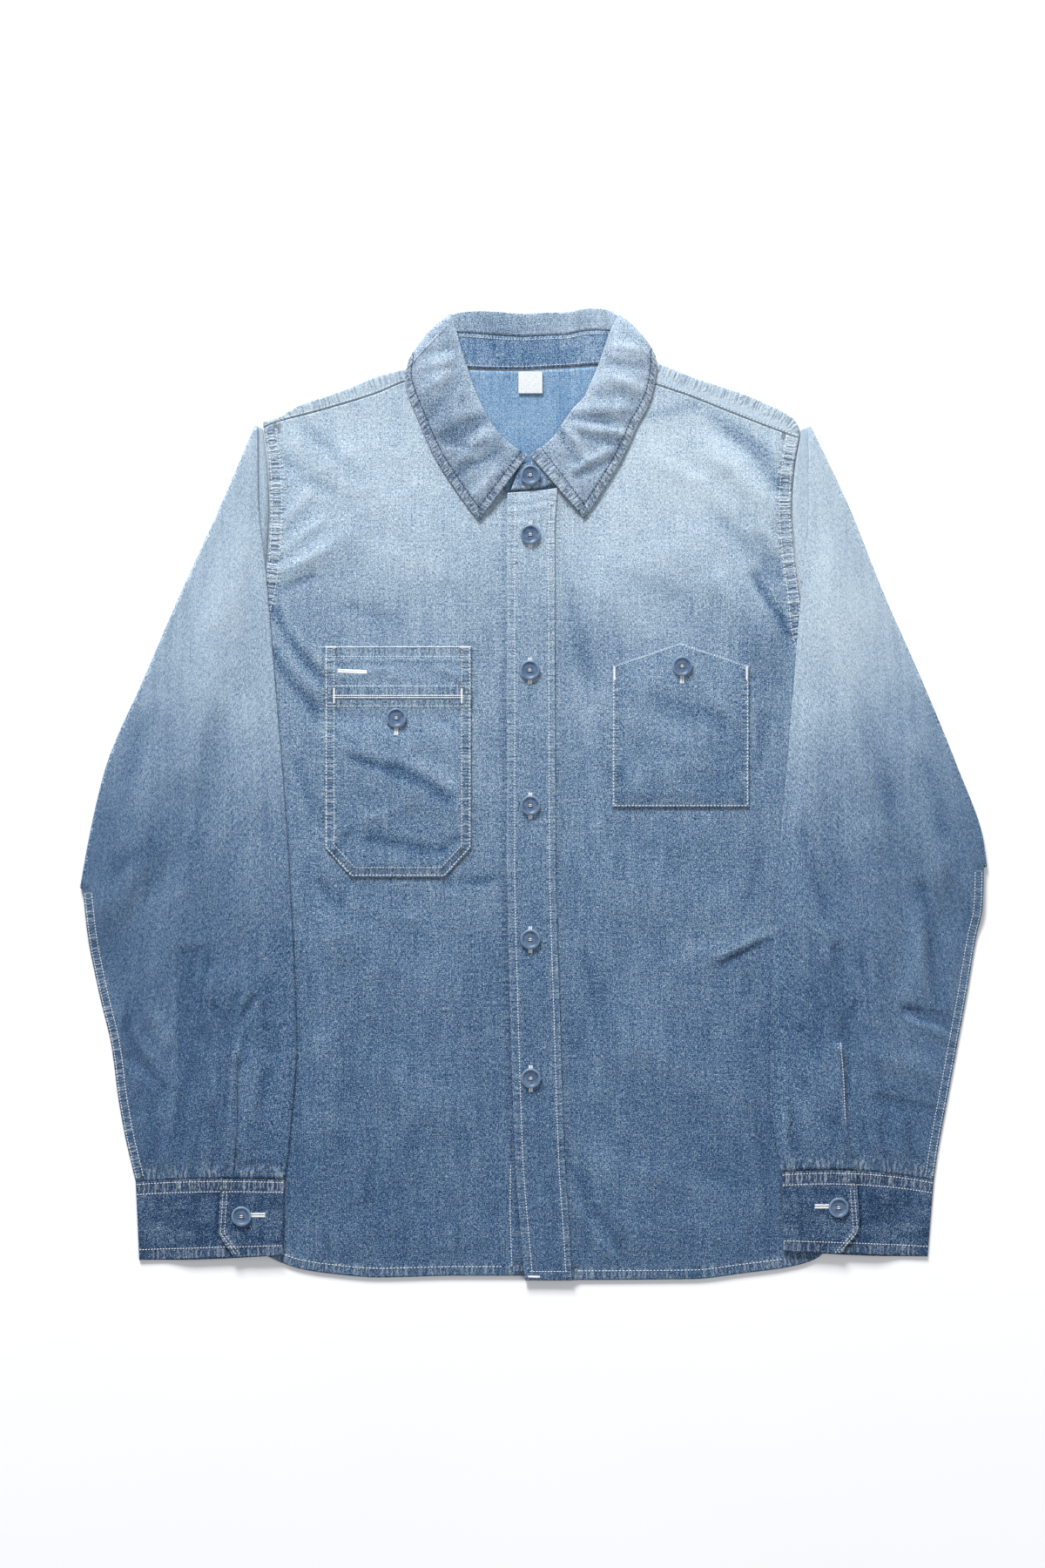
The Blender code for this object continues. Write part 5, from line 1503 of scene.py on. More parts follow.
@dataclass
class Sleeve:
    """A flattened tube of cloth, turned over at its slanting crease."""

    side: Side
    cut: dict
    flat_cut: tuple[float, float] = (372.0, 600.0)
    cells: int = 62
    armpit: np.ndarray = field(default_factory=lambda: np.zeros(2))
    corner: np.ndarray = field(default_factory=lambda: np.zeros(2))
    top_mid: np.ndarray = field(default_factory=lambda: np.zeros(2))

    @property
    def name(self) -> str:
        """Node that the sleeve stands for."""
        return "sleeve_" + self.side.name.lower()

    def axis(self, share: np.ndarray) -> tuple[np.ndarray, np.ndarray]:
        """Points of the line the sleeve turns about, and the way out from it.

        Args:
            share: Shares 0 to 1 of the width.

        Returns:
            Points, and unit vectors out from them.
        """
        crease = np.array(self.cut["crease"], float)
        before, after = (along(crease, np.clip(share + step, 0, 1)) for step in (-0.02, 0.02))
        ahead = (after - before) / np.linalg.norm(after - before, axis=-1, keepdims=True)
        out = np.stack([ahead[..., 1], -ahead[..., 0]], -1) * -self.side.value
        return along(crease, share) - out * FOLD_AXIS, out

    def armhole(self) -> np.ndarray:
        """Sleeve's edge along the armhole."""
        down = np.linspace(self.cut["top"], ARMPIT_Y, 70)
        clear = self.side.value * ARMHOLE_GAP * (1 + smooth((110, 70), down))
        rows = SIDE_R if self.side is Side.RIGHT else SIDE_L
        return np.column_stack([follow(rows, down) + clear, down])

    def ring(self, kind: str, step: float, share: np.ndarray) -> np.ndarray:
        """Plan points of one ring of the tube at shares of its width.

        Args:
            kind: flat, turn or turned, by what part of the sleeve it is.
            step: Share 0 to 1 of the way.
            share: Shares 0 to 1 of the width.

        Returns:
            Plan points.
        """
        if kind == "flat":
            return along(self.armhole(), share) * (1 - step) + self.axis(share)[0] * step
        if kind == "turn":
            return self.axis(share)[0]
        inner, outer = along(self.cut["inner"], step), along(self.cut["outer"], step)
        across = np.asarray(share, float)[..., None]
        straight = self.top_mid * (1 - across) + self.corner * across
        bend = (self.axis(share)[0] - straight) * (1 - step) ** 3
        bow = np.array([0, self.cut["bow"]]) * 4 * across * (1 - across) * step ** 4
        return inner * (1 - across) + outer * across + bend + bow

    def loop(self, kind: str, step: float) -> tuple[np.ndarray, np.ndarray, np.ndarray, np.ndarray]:
        """Outer and inner loop of one ring, with the plan and girth at each point.

        Args:
            kind: flat, turn or turned, by what part of the sleeve it is.
            step: Share 0 to 1 of the way.

        Returns:
            Outer points, inner points, plan points and girth.
        """
        chord = self.ring(kind, step, np.linspace(0, 1, 61))
        length = np.linalg.norm(np.diff(chord, axis=0), axis=1).sum()
        edge, thin = SLEEVE_H / 2, GAP / 2
        flats = np.linspace(edge, length - edge, self.cells + 1)
        caps = np.radians(np.linspace(90, -90, 7))[1:-1]
        loops = []
        for radius in (edge, thin):
            low, high = edge - radius, edge + radius
            at = np.concatenate((flats, length - edge + radius * np.cos(caps), flats[::-1],
                                 edge - radius * np.cos(caps)))
            height = np.concatenate((np.full(len(flats), low), edge - radius * np.sin(caps),
                                     np.full(len(flats), high), edge + radius * np.sin(caps)))
            share = np.clip(at / length, 0, 1)
            plan = self.ring(kind, step, share)
            if kind == "turn":
                out = self.axis(share)[1]
                swing = FOLD_AXIS - height
                plan = plan + out * (swing * math.sin(math.pi * step))[:, None]
                z = FOLD_AXIS - swing * math.cos(math.pi * step)
            elif kind == "turned":
                z = self.laid_height(plan, share, height, step)
            else:
                z = height
            loops.append(np.column_stack([plan, z]))
        girth = np.concatenate(([0], np.cumsum(np.abs(np.diff(at)))))
        return loops[0], loops[1], plan, girth

    def laid_height(self, plan: np.ndarray, share: np.ndarray, height: np.ndarray, step: float
                    ) -> np.ndarray:
        """Heights of the turned part, with folds and creases on its upper layer.

        Args:
            plan: Plan points.
            share: Shares 0 to 1 of the width.
            height: Height in the flattened tube.
            step: Share of the way to the cuff.

        Returns:
            Heights.
        """
        x, y = plan[:, 0], plan[:, 1]
        held = support(x, y, self.side, self.armpit, self.corner)
        soft = (smooth((0, 0.12), share) * smooth((1, 0.9), share) * smooth((0, 0.15), step)
                * smooth((1, 0.93), step))
        near = (smooth((0, 0.05), share) * smooth((1, 0.95), share) * smooth((0, 0.06), step)
                * smooth((1, 0.985), step))
        rise = soft * (SLEEVE_PUFF + folds(SLEEVE_FOLDS, x, y) + crumple(x, y))
        gathers = smooth((0.86, 0.99), step) * (0.45 * np.abs(CRUMPLE.at(x, y * 0.25, 5.5)))
        rise = np.maximum(rise + near * (1.3 * creased(SLEEVE_CREASES, x, y) + gathers), 0)
        return held + SLEEVE_H - height + np.where(height < SLEEVE_H / 2 - 0.01, rise, 0)

    def build(self, finish: Finish) -> Piece:
        """Builds the sleeve.

        Args:
            finish: Its material.

        Returns:
            The sleeve.
        """
        self.armpit = self.armhole()[-1]
        self.corner = self.axis(np.array([1.0]))[0][0]
        self.top_mid = self.axis(np.array([0.0]))[0][0]
        rings = [("flat", s) for s in np.linspace(0, 1, 12, endpoint=False)]
        rings += [("turn", s) for s in np.linspace(0, 1, 12, endpoint=False)]
        rings += [("turned", s) for s in np.linspace(0, 1, 181)]
        loops = [self.loop(*ring) for ring in rings]
        outer, inner = (np.array([l[k] for l in loops]) for k in (0, 1))
        plan = np.array([l[2] for l in loops])
        middle = plan[:, self.cells // 2]
        down = run_along(middle)
        girth = np.array([l[3] for l in loops])
        girth = np.concatenate([girth, girth[:, :1] + girth[:, -1:] + 1.0], 1)
        uv = np.stack([girth, np.repeat(down[:, None], girth.shape[1], 1)], -1)
        x, y = plan[..., 0], plan[..., 1]
        turned = np.array([kind == "turned" for kind, _ in rings])[:, None]
        sign = self.side.value
        strength = 0.75 if self.side is Side.RIGHT else 0.4
        cuff = along([self.cut["outer"][-1], self.cut["inner"][-1]], np.linspace(0, 1, 20))
        cuff[:, 1] += self.cut["bow"] * 4 * np.linspace(0, 1, 20) * np.linspace(1, 0, 20)
        slit = np.array([(b, a) for a, b in (SLIT_R if sign < 0 else SLIT_L)])
        seams = [Seam(np.array(self.cut["outer"]) - (sign * 3.2, 0), 3.4, strength),
                 Seam(cuff + (0, 2.0), 9.0, 0.55), Seam(slit, 3.0, 0.3)]
        pucker, run, reach = seam_marks(seams, x, y)
        pucker = pucker * turned
        # Turned part: ridges paler and creases darker, partly fading from rubbing and partly
        # painted highlight and shade.
        pale = WASH_AND_SHADE.sleeve(x, y) + turned * relief_wear_and_shade(SLEEVE_CREASES, SLEEVE_FOLDS, x, y)
        marks = Marks(uv, pucker, run, reach, np.clip(pale, 0, 1))
        made = cloth_object(self.name, outer, inner, marks, finish, around=True)
        settle(made, [self.name], self.flat_cut,
               ["front_" + self.side.name.lower(), "stage_floor"])
        return made


@dataclass
class Cuff:
    """A band folded round the end of a sleeve, one end over the other."""

    side: Side
    cut: dict
    sleeve: Sleeve
    flat_cut: tuple[float, float] = (256.0, 62.0)

    @property
    def name(self) -> str:
        """Node that the cuff stands for."""
        return "cuff_" + self.side.name.lower()

    def corners(self, share: float) -> tuple[float, float, float, float]:
        """Outer and inner edge of the cuff at a share of its height."""
        outer, inner = self.cut["outer"], self.cut["inner"]
        return tuple(edge[i] + (edge[i + 2] - edge[i]) * share for edge in (outer, inner)
                     for i in (0, 1))

    def section(self, share: float) -> tuple[np.ndarray, np.ndarray, np.ndarray]:
        """Outer points, inner points and length run of one section.

        Args:
            share: Share of the cuff's height.

        Returns:
            Outer points, inner points and length run.
        """
        sign, tight, wide = self.side.value, HALF_FOLD, LAYER
        xo, yo, xi, yi = self.corners(share)
        lap = float(follow(((0, self.cut["lap"][0]), (0.64, self.cut["lap"][1]),
                            (1, self.cut["lap"][2])), share))
        xo_in, xi_in = xo - sign * (tight + WALL / 2), xi + sign * (wide + WALL / 2)
        across = np.linspace(xo_in, xi_in, 9)
        path = [(x, WALL * 1.5 + GAP, 0, 1) for x in np.linspace(across[6], across[1], 70)]
        path += [(xo_in + sign * tight * math.cos(a), WALL + GAP / 2 + tight * math.sin(a),
                  sign * math.cos(a), math.sin(a)) for a in np.radians(np.linspace(90, -90, 9))]
        path += [(x, WALL / 2, 0, -1) for x in np.linspace(across[1], across[-2], 30)]
        path += [(xi_in - sign * wide * math.cos(a), WALL / 2 + wide + wide * math.sin(a),
                  -sign * math.cos(a), math.sin(a)) for a in np.radians(np.linspace(-90, 90, 9))]
        end = across[-2] + (lap - across[-2]) * bordered(34, 0.012)
        path += [(x, WALL / 2 + 2 * wide, 0, 1) for x in end]
        rows = []
        for x, height, nx, nz in path:
            u = float(np.clip((x - xo) / (xi - xo), 0, 1))
            y = yo + (yi - yo) * u + self.cut["bow"] * 4 * u * (1 - u) * (1 - share)
            y -= 1.2 * 4 * u * (1 - u) * share * (nz < -0.9)
            base = float(support(np.array(x), np.array(y), self.side, self.sleeve.armpit,
                                 self.sleeve.corner))
            wave = 0.22 * (1 + float(CRUMPLE.at(x, y, 9))) * (nz > 0.9) * (height > 2)
            if height > 3:
                wave += 0.7 * float(smooth((9, 0), abs(x - lap)))
            rows.append((x, y, base + height + wave, nx, nz))
        row = np.array(rows)
        normal = np.stack([row[:, 3], 0 * row[:, 3], row[:, 4]], 1) * WALL / 2
        middle = row[:, :3]
        return middle + normal, middle - normal, run_along(middle)

    def build(self, finish: Finish) -> Piece:
        """Builds the cuff.

        Args:
            finish: Its material.

        Returns:
            The cuff.
        """
        shares = bordered(30, 0.012)
        sections = [self.section(s) for s in shares]
        outer, inner = (np.array([s[k] for s in sections]) for k in (0, 1))
        run = np.array([s[2] for s in sections])
        x, y = outer[..., 0], outer[..., 1]
        xo, yo, xi, yi = self.corners(0.0)
        xb, yb, xc, yc = self.corners(1.0)
        top = line((xo, yo), ((xo + xi) / 2, (yo + yi) / 2 + self.cut["bow"]), (xi, yi))
        low = line((xb, yb), (xc, yc))
        sign = self.side.value
        lap = self.cut["lap"]
        edge = line((lap[0] - sign * 3, yo), (lap[1] - sign * 3, yo - 40), (lap[2] - sign * 3, yb))
        seams = [Seam(top - (0, 4.5), 4.6, 0.9), Seam(low + (0, 3.4), 4.0, 0.6),
                 Seam(edge, 3.6, 0.5)]
        pucker, along_seam, reach = seam_marks(seams, x, y)
        pucker = pucker * (inner[..., 2] < outer[..., 2] + 0.01)
        uv = np.stack([run, np.repeat((shares * 61.0)[:, None], run.shape[1], 1)], -1)
        lap_x = follow(((0, lap[0]), (0.64, lap[1]), (1, lap[2])), shares)[:, None]
        beside = sign * (x - lap_x)
        under = (outer[..., 2] > inner[..., 2] + 0.5) & (np.abs(beside) < 6)
        pale = 0.02 + 0.12 * CRUMPLE.at(x * 0.5, y * 1.6, 9) + 0.06 * CRUMPLE.at(x, y, 5)
        # Painted shadow on the lower layer just beside the lap's edge; the lap's own edge paler,
        # partly fading from rubbing and partly painted highlight.
        pale = pale - 0.28 * np.exp(-((beside - 1.0) / 1.5) ** 2) * (under & (beside > 0))
        pale = pale + 0.22 * np.exp(-((beside + 0.6) / 0.7) ** 2) * (under & (beside <= 0))
        made = cloth_object(self.name, outer, inner, Marks(uv, pucker, along_seam, reach, pale),
                            finish)
        settle(made, [self.name], self.flat_cut,
               ["front_" + self.side.name.lower(), "stage_floor"])
        return made


# ---------------------------------------------------------------- collar


@dataclass
class Collar:
    """Stand and leaf, from sections that run from the right front round the neck to the left."""

    steps: int = 14
    stand_cut: tuple[float, float] = (472.0, 36.0)
    leaf_cut: tuple[float, float] = (520.0, 78.0)
    faces: dict[str, np.ndarray] = field(default_factory=dict)

    def row_at(self, table: Table, k: float) -> list[float]:
        """A collar table read between its rows; behind the neck the seam follows the yoke.

        Args:
            table: The collar's table.
            k: Place in the table.

        Returns:
            The row there.
        """
        columns = [[row[c] for row in table] for c in range(9)]
        columns[4] = [row[4] if row[0] > -0.99 else float(follow(NECK_BACK, row[3])) + 1.2
                      for row in table]
        return [float(follow(list(enumerate(column)), k)) for column in columns]

    def frame(self, row: Sequence[float], side: Side, k: float
              ) -> tuple[np.ndarray, np.ndarray, np.ndarray, np.ndarray]:
        """Roll line, neck seam, outer edge and the fall's normal of one section.

        Args:
            row: One row of the collar's table.
            side: The wearer's side.
            k: Place in the table.

        Returns:
            Roll line, neck seam, outer edge and normal.
        """
        turn, rx, ry, nx, ny, ex, ey = row[:7]
        angle = math.radians(90 * turn)
        fall = np.array([ex - rx, ey - ry]) / math.hypot(ex - rx, ey - ry)
        out = np.array([-fall[1], fall[0]])
        out = out if out[1] > 0 else -out
        normal = np.array([out[0] * math.cos(angle), out[1] * math.cos(angle), math.sin(angle)])
        shift = np.append(out * BEND_RADIUS * math.cos(angle), 0)
        if turn < 0:
            ry += ROLL_WAVE * float(CRUMPLE.at(rx, 0, 15)) * float(smooth((64, 50), abs(rx)))
        bend_z = BEND_CENTRE + BEND_RADIUS * math.sin(angle)
        if turn > 0.999:
            progress = max(0, k - COLLAR_FRONT_ROW) / (len(COLLAR_R) - 1 - COLLAR_FRONT_ROW)
            roll_z = float(follow(((0, bend_z),) + ROLL_HEIGHTS, progress))
            edge_z = float(follow(((0, bend_z + LEAF_EDGE_DROP),) + LEAF_EDGE_HEIGHTS, progress))
            on_placket = 2 * LAYER * float(smooth((26, 14), nx)) if side is Side.LEFT else 0
            seam_z = FRONT_Z + WALL / 2 + float(lift(ny)) + on_placket
        else:
            roll_z = seam_z = bend_z
            edge_z = bend_z + LAYER * math.sin(angle)
        roll, seam = np.array([rx, ry, roll_z]) + shift, np.array([nx, ny, seam_z]) + shift
        edge = np.array([ex, ey, edge_z]) + shift + np.append(out * LAYER, 0) * math.cos(angle)
        return roll, seam, edge, normal

    def section(self, row: Sequence[float], side: Side, k: float
                ) -> tuple[list, list]:
        """Middle points and normals of the stand and of the leaf at one section.

        Args:
            row: One row of the collar's table.
            side: The wearer's side.
            k: Place in the table.

        Returns:
            Pairs of a point and a normal, for the stand and for the leaf.
        """
        inside, bulge = row[7:]
        roll, seam, edge, normal = self.frame(row, side, k)
        run = np.linalg.norm(seam - roll)
        down = (seam - roll) / run
        square = normal - down * normal.dot(down)
        square /= np.linalg.norm(square)
        first = inside + 2 * GAP
        stand = [(roll + down * (first + (run - first) * t), square) for t in np.linspace(0, 1, 12)]
        middle = roll + square * HALF_FOLD
        leaf = [(roll + down * inside * t, -square) for t in np.linspace(1, 0.12, 8)]
        for step in np.linspace(-90, 90, 11):
            a = math.radians(step)
            ray = square * math.sin(a) - down * math.cos(a)
            leaf.append((middle + ray * HALF_FOLD, ray))
        start = roll + square * 2 * HALF_FOLD
        length = np.linalg.norm(edge - start)
        fall = np.concatenate((np.linspace(0.03, 0.84, 24), np.linspace(0.855, 0.985, 12), [1.0]))
        for t in fall:
            point = start + (edge - start) * t + normal * bulge * 4 * t * (1 - t)
            band = math.exp(-((length * (1 - t) - 3.4) / 2.2) ** 2)
            groove = math.exp(-((length * (1 - t) - COLLAR_STITCH) / 0.9) ** 2)
            point = point + normal * (0.3 * band - 0.25 * groove) * (row[0] > 0.5)
            if row[0] > 0.95:
                soft = float(smooth((0.04, 0.2), t) * smooth((1.0, 0.8), t))
                wave = float(creased(COLLAR_CREASES, point[0], point[1], 2.0)
                             + 0.5 * CRUMPLE.at(point[0], point[1], 9))
                point = point + normal * max(soft * (0.5 + 1.2 * wave), -0.35)
            leaf.append((point, normal))
        return stand, leaf

    def sections(self) -> list[tuple[list, list]]:
        """All sections, right front end first.

        Returns:
            The stand's and the leaf's line of each section.
        """
        last = len(COLLAR_R) - 1
        made = []
        for table, side, order in ((COLLAR_R, Side.RIGHT, -1), (COLLAR_L, Side.LEFT, 1)):
            at = np.linspace(0, last, self.steps * last + 1)
            made += [self.section(self.row_at(table, k), side, k) for k in at[::order]]
        return made

    def wall(self, name: str, lines: list, marks: Callable[[np.ndarray], Marks],
             finish: Finish) -> Piece:
        """A cloth wall from middle points and normals.

        Args:
            name: Name of the piece.
            lines: Pairs of a point and a normal, section by section.
            marks: Marks of a grid of middle points.
            finish: Its material.

        Returns:
            The wall.
        """
        middle = np.array([[p for p, _ in section] for section in lines])
        normal = np.array([[n for _, n in section] for section in lines])
        return cloth_object(name, middle + normal * WALL / 2, middle - normal * WALL / 2,
                            marks(middle), finish)

    def leaf_marks(self, middle: np.ndarray) -> Marks:
        """Marks of the leaf: puckers along its outer edge and both front ends.

        Args:
            middle: Rows of points of the wall's middle.

        Returns:
            The marks.
        """
        across = run_across(middle)
        run = np.repeat(run_along(middle[:, -1])[:, None], middle.shape[1], 1)
        from_edge = across[:, -1:] - across
        x, y = middle[..., 0], middle[..., 1]
        ends = [line(middle[k, 14][:2], middle[k, -1][:2]) for k in (0, -1)]
        (d0, s0), (d1, s1) = (nearest(end, x, y) for end in ends)
        pucker = 0.85 * np.exp(-((from_edge - 3) / 5.0) ** 2)
        reach = from_edge.copy()
        for d, s, half in ((d0, s0, slice(0, len(x) // 3)), (d1, s1, slice(-len(x) // 3, None))):
            here = 0.8 * np.exp(-((d - 3) / 4.6) ** 2)
            rules = np.zeros_like(x, bool)
            rules[half] = (here > pucker)[half]
            pucker = np.where(rules, here, pucker)
            run, reach = np.where(rules, s + 900, run), np.where(rules, d, reach)
        roll = np.exp(-((across - across[:, 12:13]) / 4.0) ** 2)
        behind = smooth((66, 56), np.abs(x)) * smooth((335, 350), y)
        ridges = np.clip(creased(COLLAR_CREASES, x, y, 2.0), -1.2, 1.2) * (1 - behind)
        grooves = np.max([np.exp(-(d - COLLAR_STITCH) ** 2) for d in (from_edge, d0, d1)], 0)
        edges = np.exp(-(np.minimum(from_edge, np.minimum(d0, d1)) / 1.1) ** 2)
        # Painted light in the leaf: the wearer's right side darker as painted shade, the stitched
        # groove darker as painted shade, the edges paler, partly fading from rubbing and partly
        # painted highlight, and creases darker as painted shade with ridges paler, partly painted
        # highlight.
        pale = (0.55 + 0.12 * roll + 0.14 * smooth((-30, 30), x) - 0.08 * smooth((250, 215), y)
                - 0.2 * grooves * (from_edge > 5) + 0.16 * edges
                + 0.1 * smooth((290, 340), y) - 0.16 * behind
                + np.where(ridges < 0, 0.22, 0.12) * ridges
                + 0.07 * CRUMPLE.at(x, y, 13) + 0.05 * CRUMPLE.at(x, y, 6))
        return Marks(middle[..., :2], pucker, run, reach, np.clip(pale, 0, 1))

    def stand_marks(self, middle: np.ndarray) -> Marks:
        """Marks of the stand: darker towards the neck seam.

        Args:
            middle: Rows of points of the wall's middle.

        Returns:
            The marks.
        """
        across = run_across(middle)
        run = np.repeat(run_along(middle[:, 0])[:, None], middle.shape[1], 1)
        pucker = 0.8 * np.exp(-((across[:, -1:] - across) / 4) ** 2)
        share = across / across[:, -1:]
        x, y = middle[..., 0], middle[..., 1]
        pale = 0.34 - 0.08 * share + 0.12 * CRUMPLE.at(x, y * 0.6, 5) + 0.2 * smooth((300, 275), y)
        pucker = np.maximum(pucker, 0.7 * np.exp(-(across / 4) ** 2))
        return Marks(middle[..., :2], pucker, run, across[:, -1:] - across, pale)

    def build(self, leaf_finish: Finish, stand_finish: Finish
              ) -> dict[str, Piece]:
        """Builds stand and leaf, and keeps the grids of their faces for the stitches.

        Args:
            leaf_finish: Material of the leaf.
            stand_finish: Material of the stand.

        Returns:
            Both pieces by node.
        """
        lines = self.sections()
        rx, ry, nx, ny = STAND_END
        roll = np.array([rx, ry, STAND_END_Z])
        seam = np.array([nx, ny, FRONT_Z + 2 * LAYER + WALL / 2])
        shares = np.linspace(0.86, 0, 12)
        free_end = [(seam + (roll - seam) * t, np.array([0.0, 0.0, 1.0])) for t in shares]
        stands = [s for s, _ in lines[self.steps:]]
        last = stands[-1]
        for t in np.linspace(0, 1, 15)[1:]:
            stands.append([(p + (q - p) * t, n + (m - n) * t)
                           for (p, n), (q, m) in zip(last, free_end)])
        stand = self.wall("collar_stand", stands, self.stand_marks, stand_finish)
        leaf = self.wall("collar_leaf", [l for _, l in lines], self.leaf_marks, leaf_finish)
        settle(stand, ["collar_stand"], self.stand_cut,
               ["yoke", "front_left"])
        settle(leaf, ["collar_leaf"], self.leaf_cut,
               ["collar_stand", "front_left", "front_right"])
        for part, rows in (("leaf", [l for _, l in lines]), ("stand", stands)):
            self.faces[part] = np.array([[p + n * WALL / 2 for p, n in row] for row in rows])
        return {"collar_stand": stand, "collar_leaf": leaf}


# ---------------------------------------------------------------- pockets and trimmings


@dataclass
class Pockets:
    """Work pocket of two patches on the right front, pointed pocket on the left."""

    upper_cut: tuple[float, float] = (136.0, 62.0)
    lower_cut: tuple[float, float] = (136.0, 178.0)
    point_cut: tuple[float, float] = (128.0, 152.0)

    def laid(self, name: str, x: np.ndarray, y: np.ndarray, carried: Surface, rise: np.ndarray,
             seams: Sequence[Seam], finish: Finish, shade: float,
             creases: Table = ()) -> Piece:
        """A patch laid on what is below it.

        Args:
            name: Name of the piece.
            x: Plan x of its grid.
            y: Plan y of its grid.
            carried: Heights of what it lies on.
            rise: Height above that.
            seams: Sewn lines on it.
            finish: Its material.
            shade: Lightness added.
            creases: Creases painted into the colour: troughs darker as painted shade, ridges paler,
                partly fading from rubbing and partly painted highlight.

        Returns:
            The patch.
        """
        z = carried.heights(x, y) + LAID_GAP + rise
        pucker, run, reach = seam_marks(seams, x, y)
        relief = z - follow([(k, r) for k, r in enumerate(z.mean(1))], np.arange(len(z)))[:, None]
        rim = np.minimum(np.minimum(x - x[:, :1], x[:, -1:] - x), np.abs(y - y[-1:]))
        tone_with_painted_light = creased(creases, x, y) if creases else 0 * x
        # Painted light from the relief: raised cloth paler, hollows darker.
        pale = WASH_AND_SHADE.body(x, y) + shade + 0.08 * np.clip(relief, -1.5, 0.7)
        # Creases darker as painted shade, ridges paler, partly fading from rubbing and partly
        # painted highlight.
        pale = pale + np.where(tone_with_painted_light < 0, 0.22, 0.1) * tone_with_painted_light
        # Edges paler: partly fading from rubbing, partly painted highlight.
        pale = np.clip(pale + 0.3 * np.exp(-(rim / 1.0) ** 2), 0, 1)
        marks = Marks(np.stack([x, y], -1), pucker, run, reach, pale)
        return sheet_object(name, np.stack([x, y, z], -1), marks, finish)

    def work(self, front: Piece, finish: Finish
             ) -> tuple[Piece, Piece]:
        """Upper patch with its own hem, and the lower one that laps it.

        Args:
            front: The front below.
            finish: Material of both.

        Returns:
            Upper and lower patch.
        """
        cut, carried = WORK_POCKET, Surface(front)
        (x0, x1), (corner_x, corner_y), low = cut["x"], cut["chamfer"], cut["bottom"]
        sides = [Seam(line((x0 + 3.6, 118), (x0 + 3.6, -44)), 5.6, 0.62),
                 Seam(line((x1 - 3.6, 118), (x1 - 3.6, -44)), 5.6, 0.62)]
        top = sides + [Seam(line((x0, 114), (x1, 114)), 4.5, 0.55),
                       Seam(line((x0, 84), (x1, 84)), 4.5, 0.5)]
        y, x = np.meshgrid(np.linspace(cut["top"], cut["upper_end"], 26),
                           x0 + (x1 - x0) * bordered(56, 0.005), indexing="ij")
        ridge = folds(((x0 - 5, 106.4, x1 + 5, 107.2, 0.7, 1.6), (-150, 93, -126, 98, 0.7, 3),
                       (-72, 100, -58, 92, 0.8, 3), (-110, 96, -86, 92, 0.4, 4)), x, y)
        upper = self.laid("work_pocket_upper", x, y, carried, ridge, top, finish, -0.05)
        share, across = np.meshgrid(np.linspace(0, 1, 92), bordered(56, 0.005), indexing="ij")
        y = cut["mouth"] + (low - cut["mouth"]) * share
        cut_in = corner_x * np.clip(1 - (y - low) / corner_y, 0, None)
        x = x0 + cut_in + (x1 - x0 - 2 * cut_in) * across
        step = (cut["top"] - cut["bottom"]) / 10
        over = LAYER * smooth((cut["bottom"] + step * 7, cut["step"]), y)
        inner = smooth((0, 12), x - x0 - cut_in) * smooth((0, 12), x1 - cut_in - x)
        inner = inner * smooth((low, low + 14), y) * smooth((62, 44), y)
        puff = 1.5 + creased(WORK_POCKET_CREASES, x, y) + 0.8 * crumple(x, y)
        rise = over + inner * np.maximum(puff, 0)
        bottom = [Seam(line((x0 + 1, -40), (x0 + corner_x, low + 4), (x1 - corner_x, low + 4),
                            (x1 - 1, -40)), 5.0, 0.45),
                  Seam(line((x0, 82), (x1, 82)), 4.0, 0.6),
                  Seam(line((x0, 72), (x1, 72)), 4.0, 0.55)]
        lower = self.laid("work_pocket_lower", x, y, carried, rise, sides + bottom, finish, -0.07,
                          WORK_POCKET_CREASES)
        settle(upper, ["work_pocket_upper"], self.upper_cut, ["front_right"])
        settle(lower, ["work_pocket_lower"], self.lower_cut,
               ["work_pocket_upper", "front_right"])
        return upper, lower

    def point(self, front: Piece, finish: Finish) -> Piece:
        """The pocket whose mouth rises to a point.

        Args:
            front: The front below.
            finish: Its material.

        Returns:
            The pocket.
        """
        cut, carried = POINT_POCKET, Surface(front)
        (x0, x1), middle = cut["x"], sum(cut["x"]) / 2
        share, across = np.meshgrid(bordered(64, 0.006), bordered(56, 0.006), indexing="ij")
        x = x0 + (x1 - x0) * across
        peak = (cut["apex"] - cut["top"]) * (1 - np.abs(x - middle) / (x1 - middle))
        y = cut["bottom"] + (cut["top"] + peak - cut["bottom"]) * share
        inner = smooth((0, 14), x - x0) * smooth((0, 14), x1 - x) * smooth((0, 0.1), share)
        inner = inner * smooth((1, 0.84), share)
        puff = 0.9 + creased(POINT_POCKET_CREASES, x, y) + 0.8 * crumple(x, y)
        rise = inner * np.maximum(puff, 0)
        seams = [Seam(line((x0 + 2, 100), (x0 + 2, -8)), 4.0, 0.5),
                 Seam(line((x0 + 2, -7), (x1 - 2, -7)), 3.6, 0.35),
                 Seam(line((x1 - 2, -8), (x1 - 2, 100)), 4.0, 0.5)]
        made = self.laid("point_pocket", x, y, carried, rise, seams, finish, -0.09,
                         POINT_POCKET_CREASES)
        settle(made, ["point_pocket"], self.point_cut, ["front_left"])
        return made


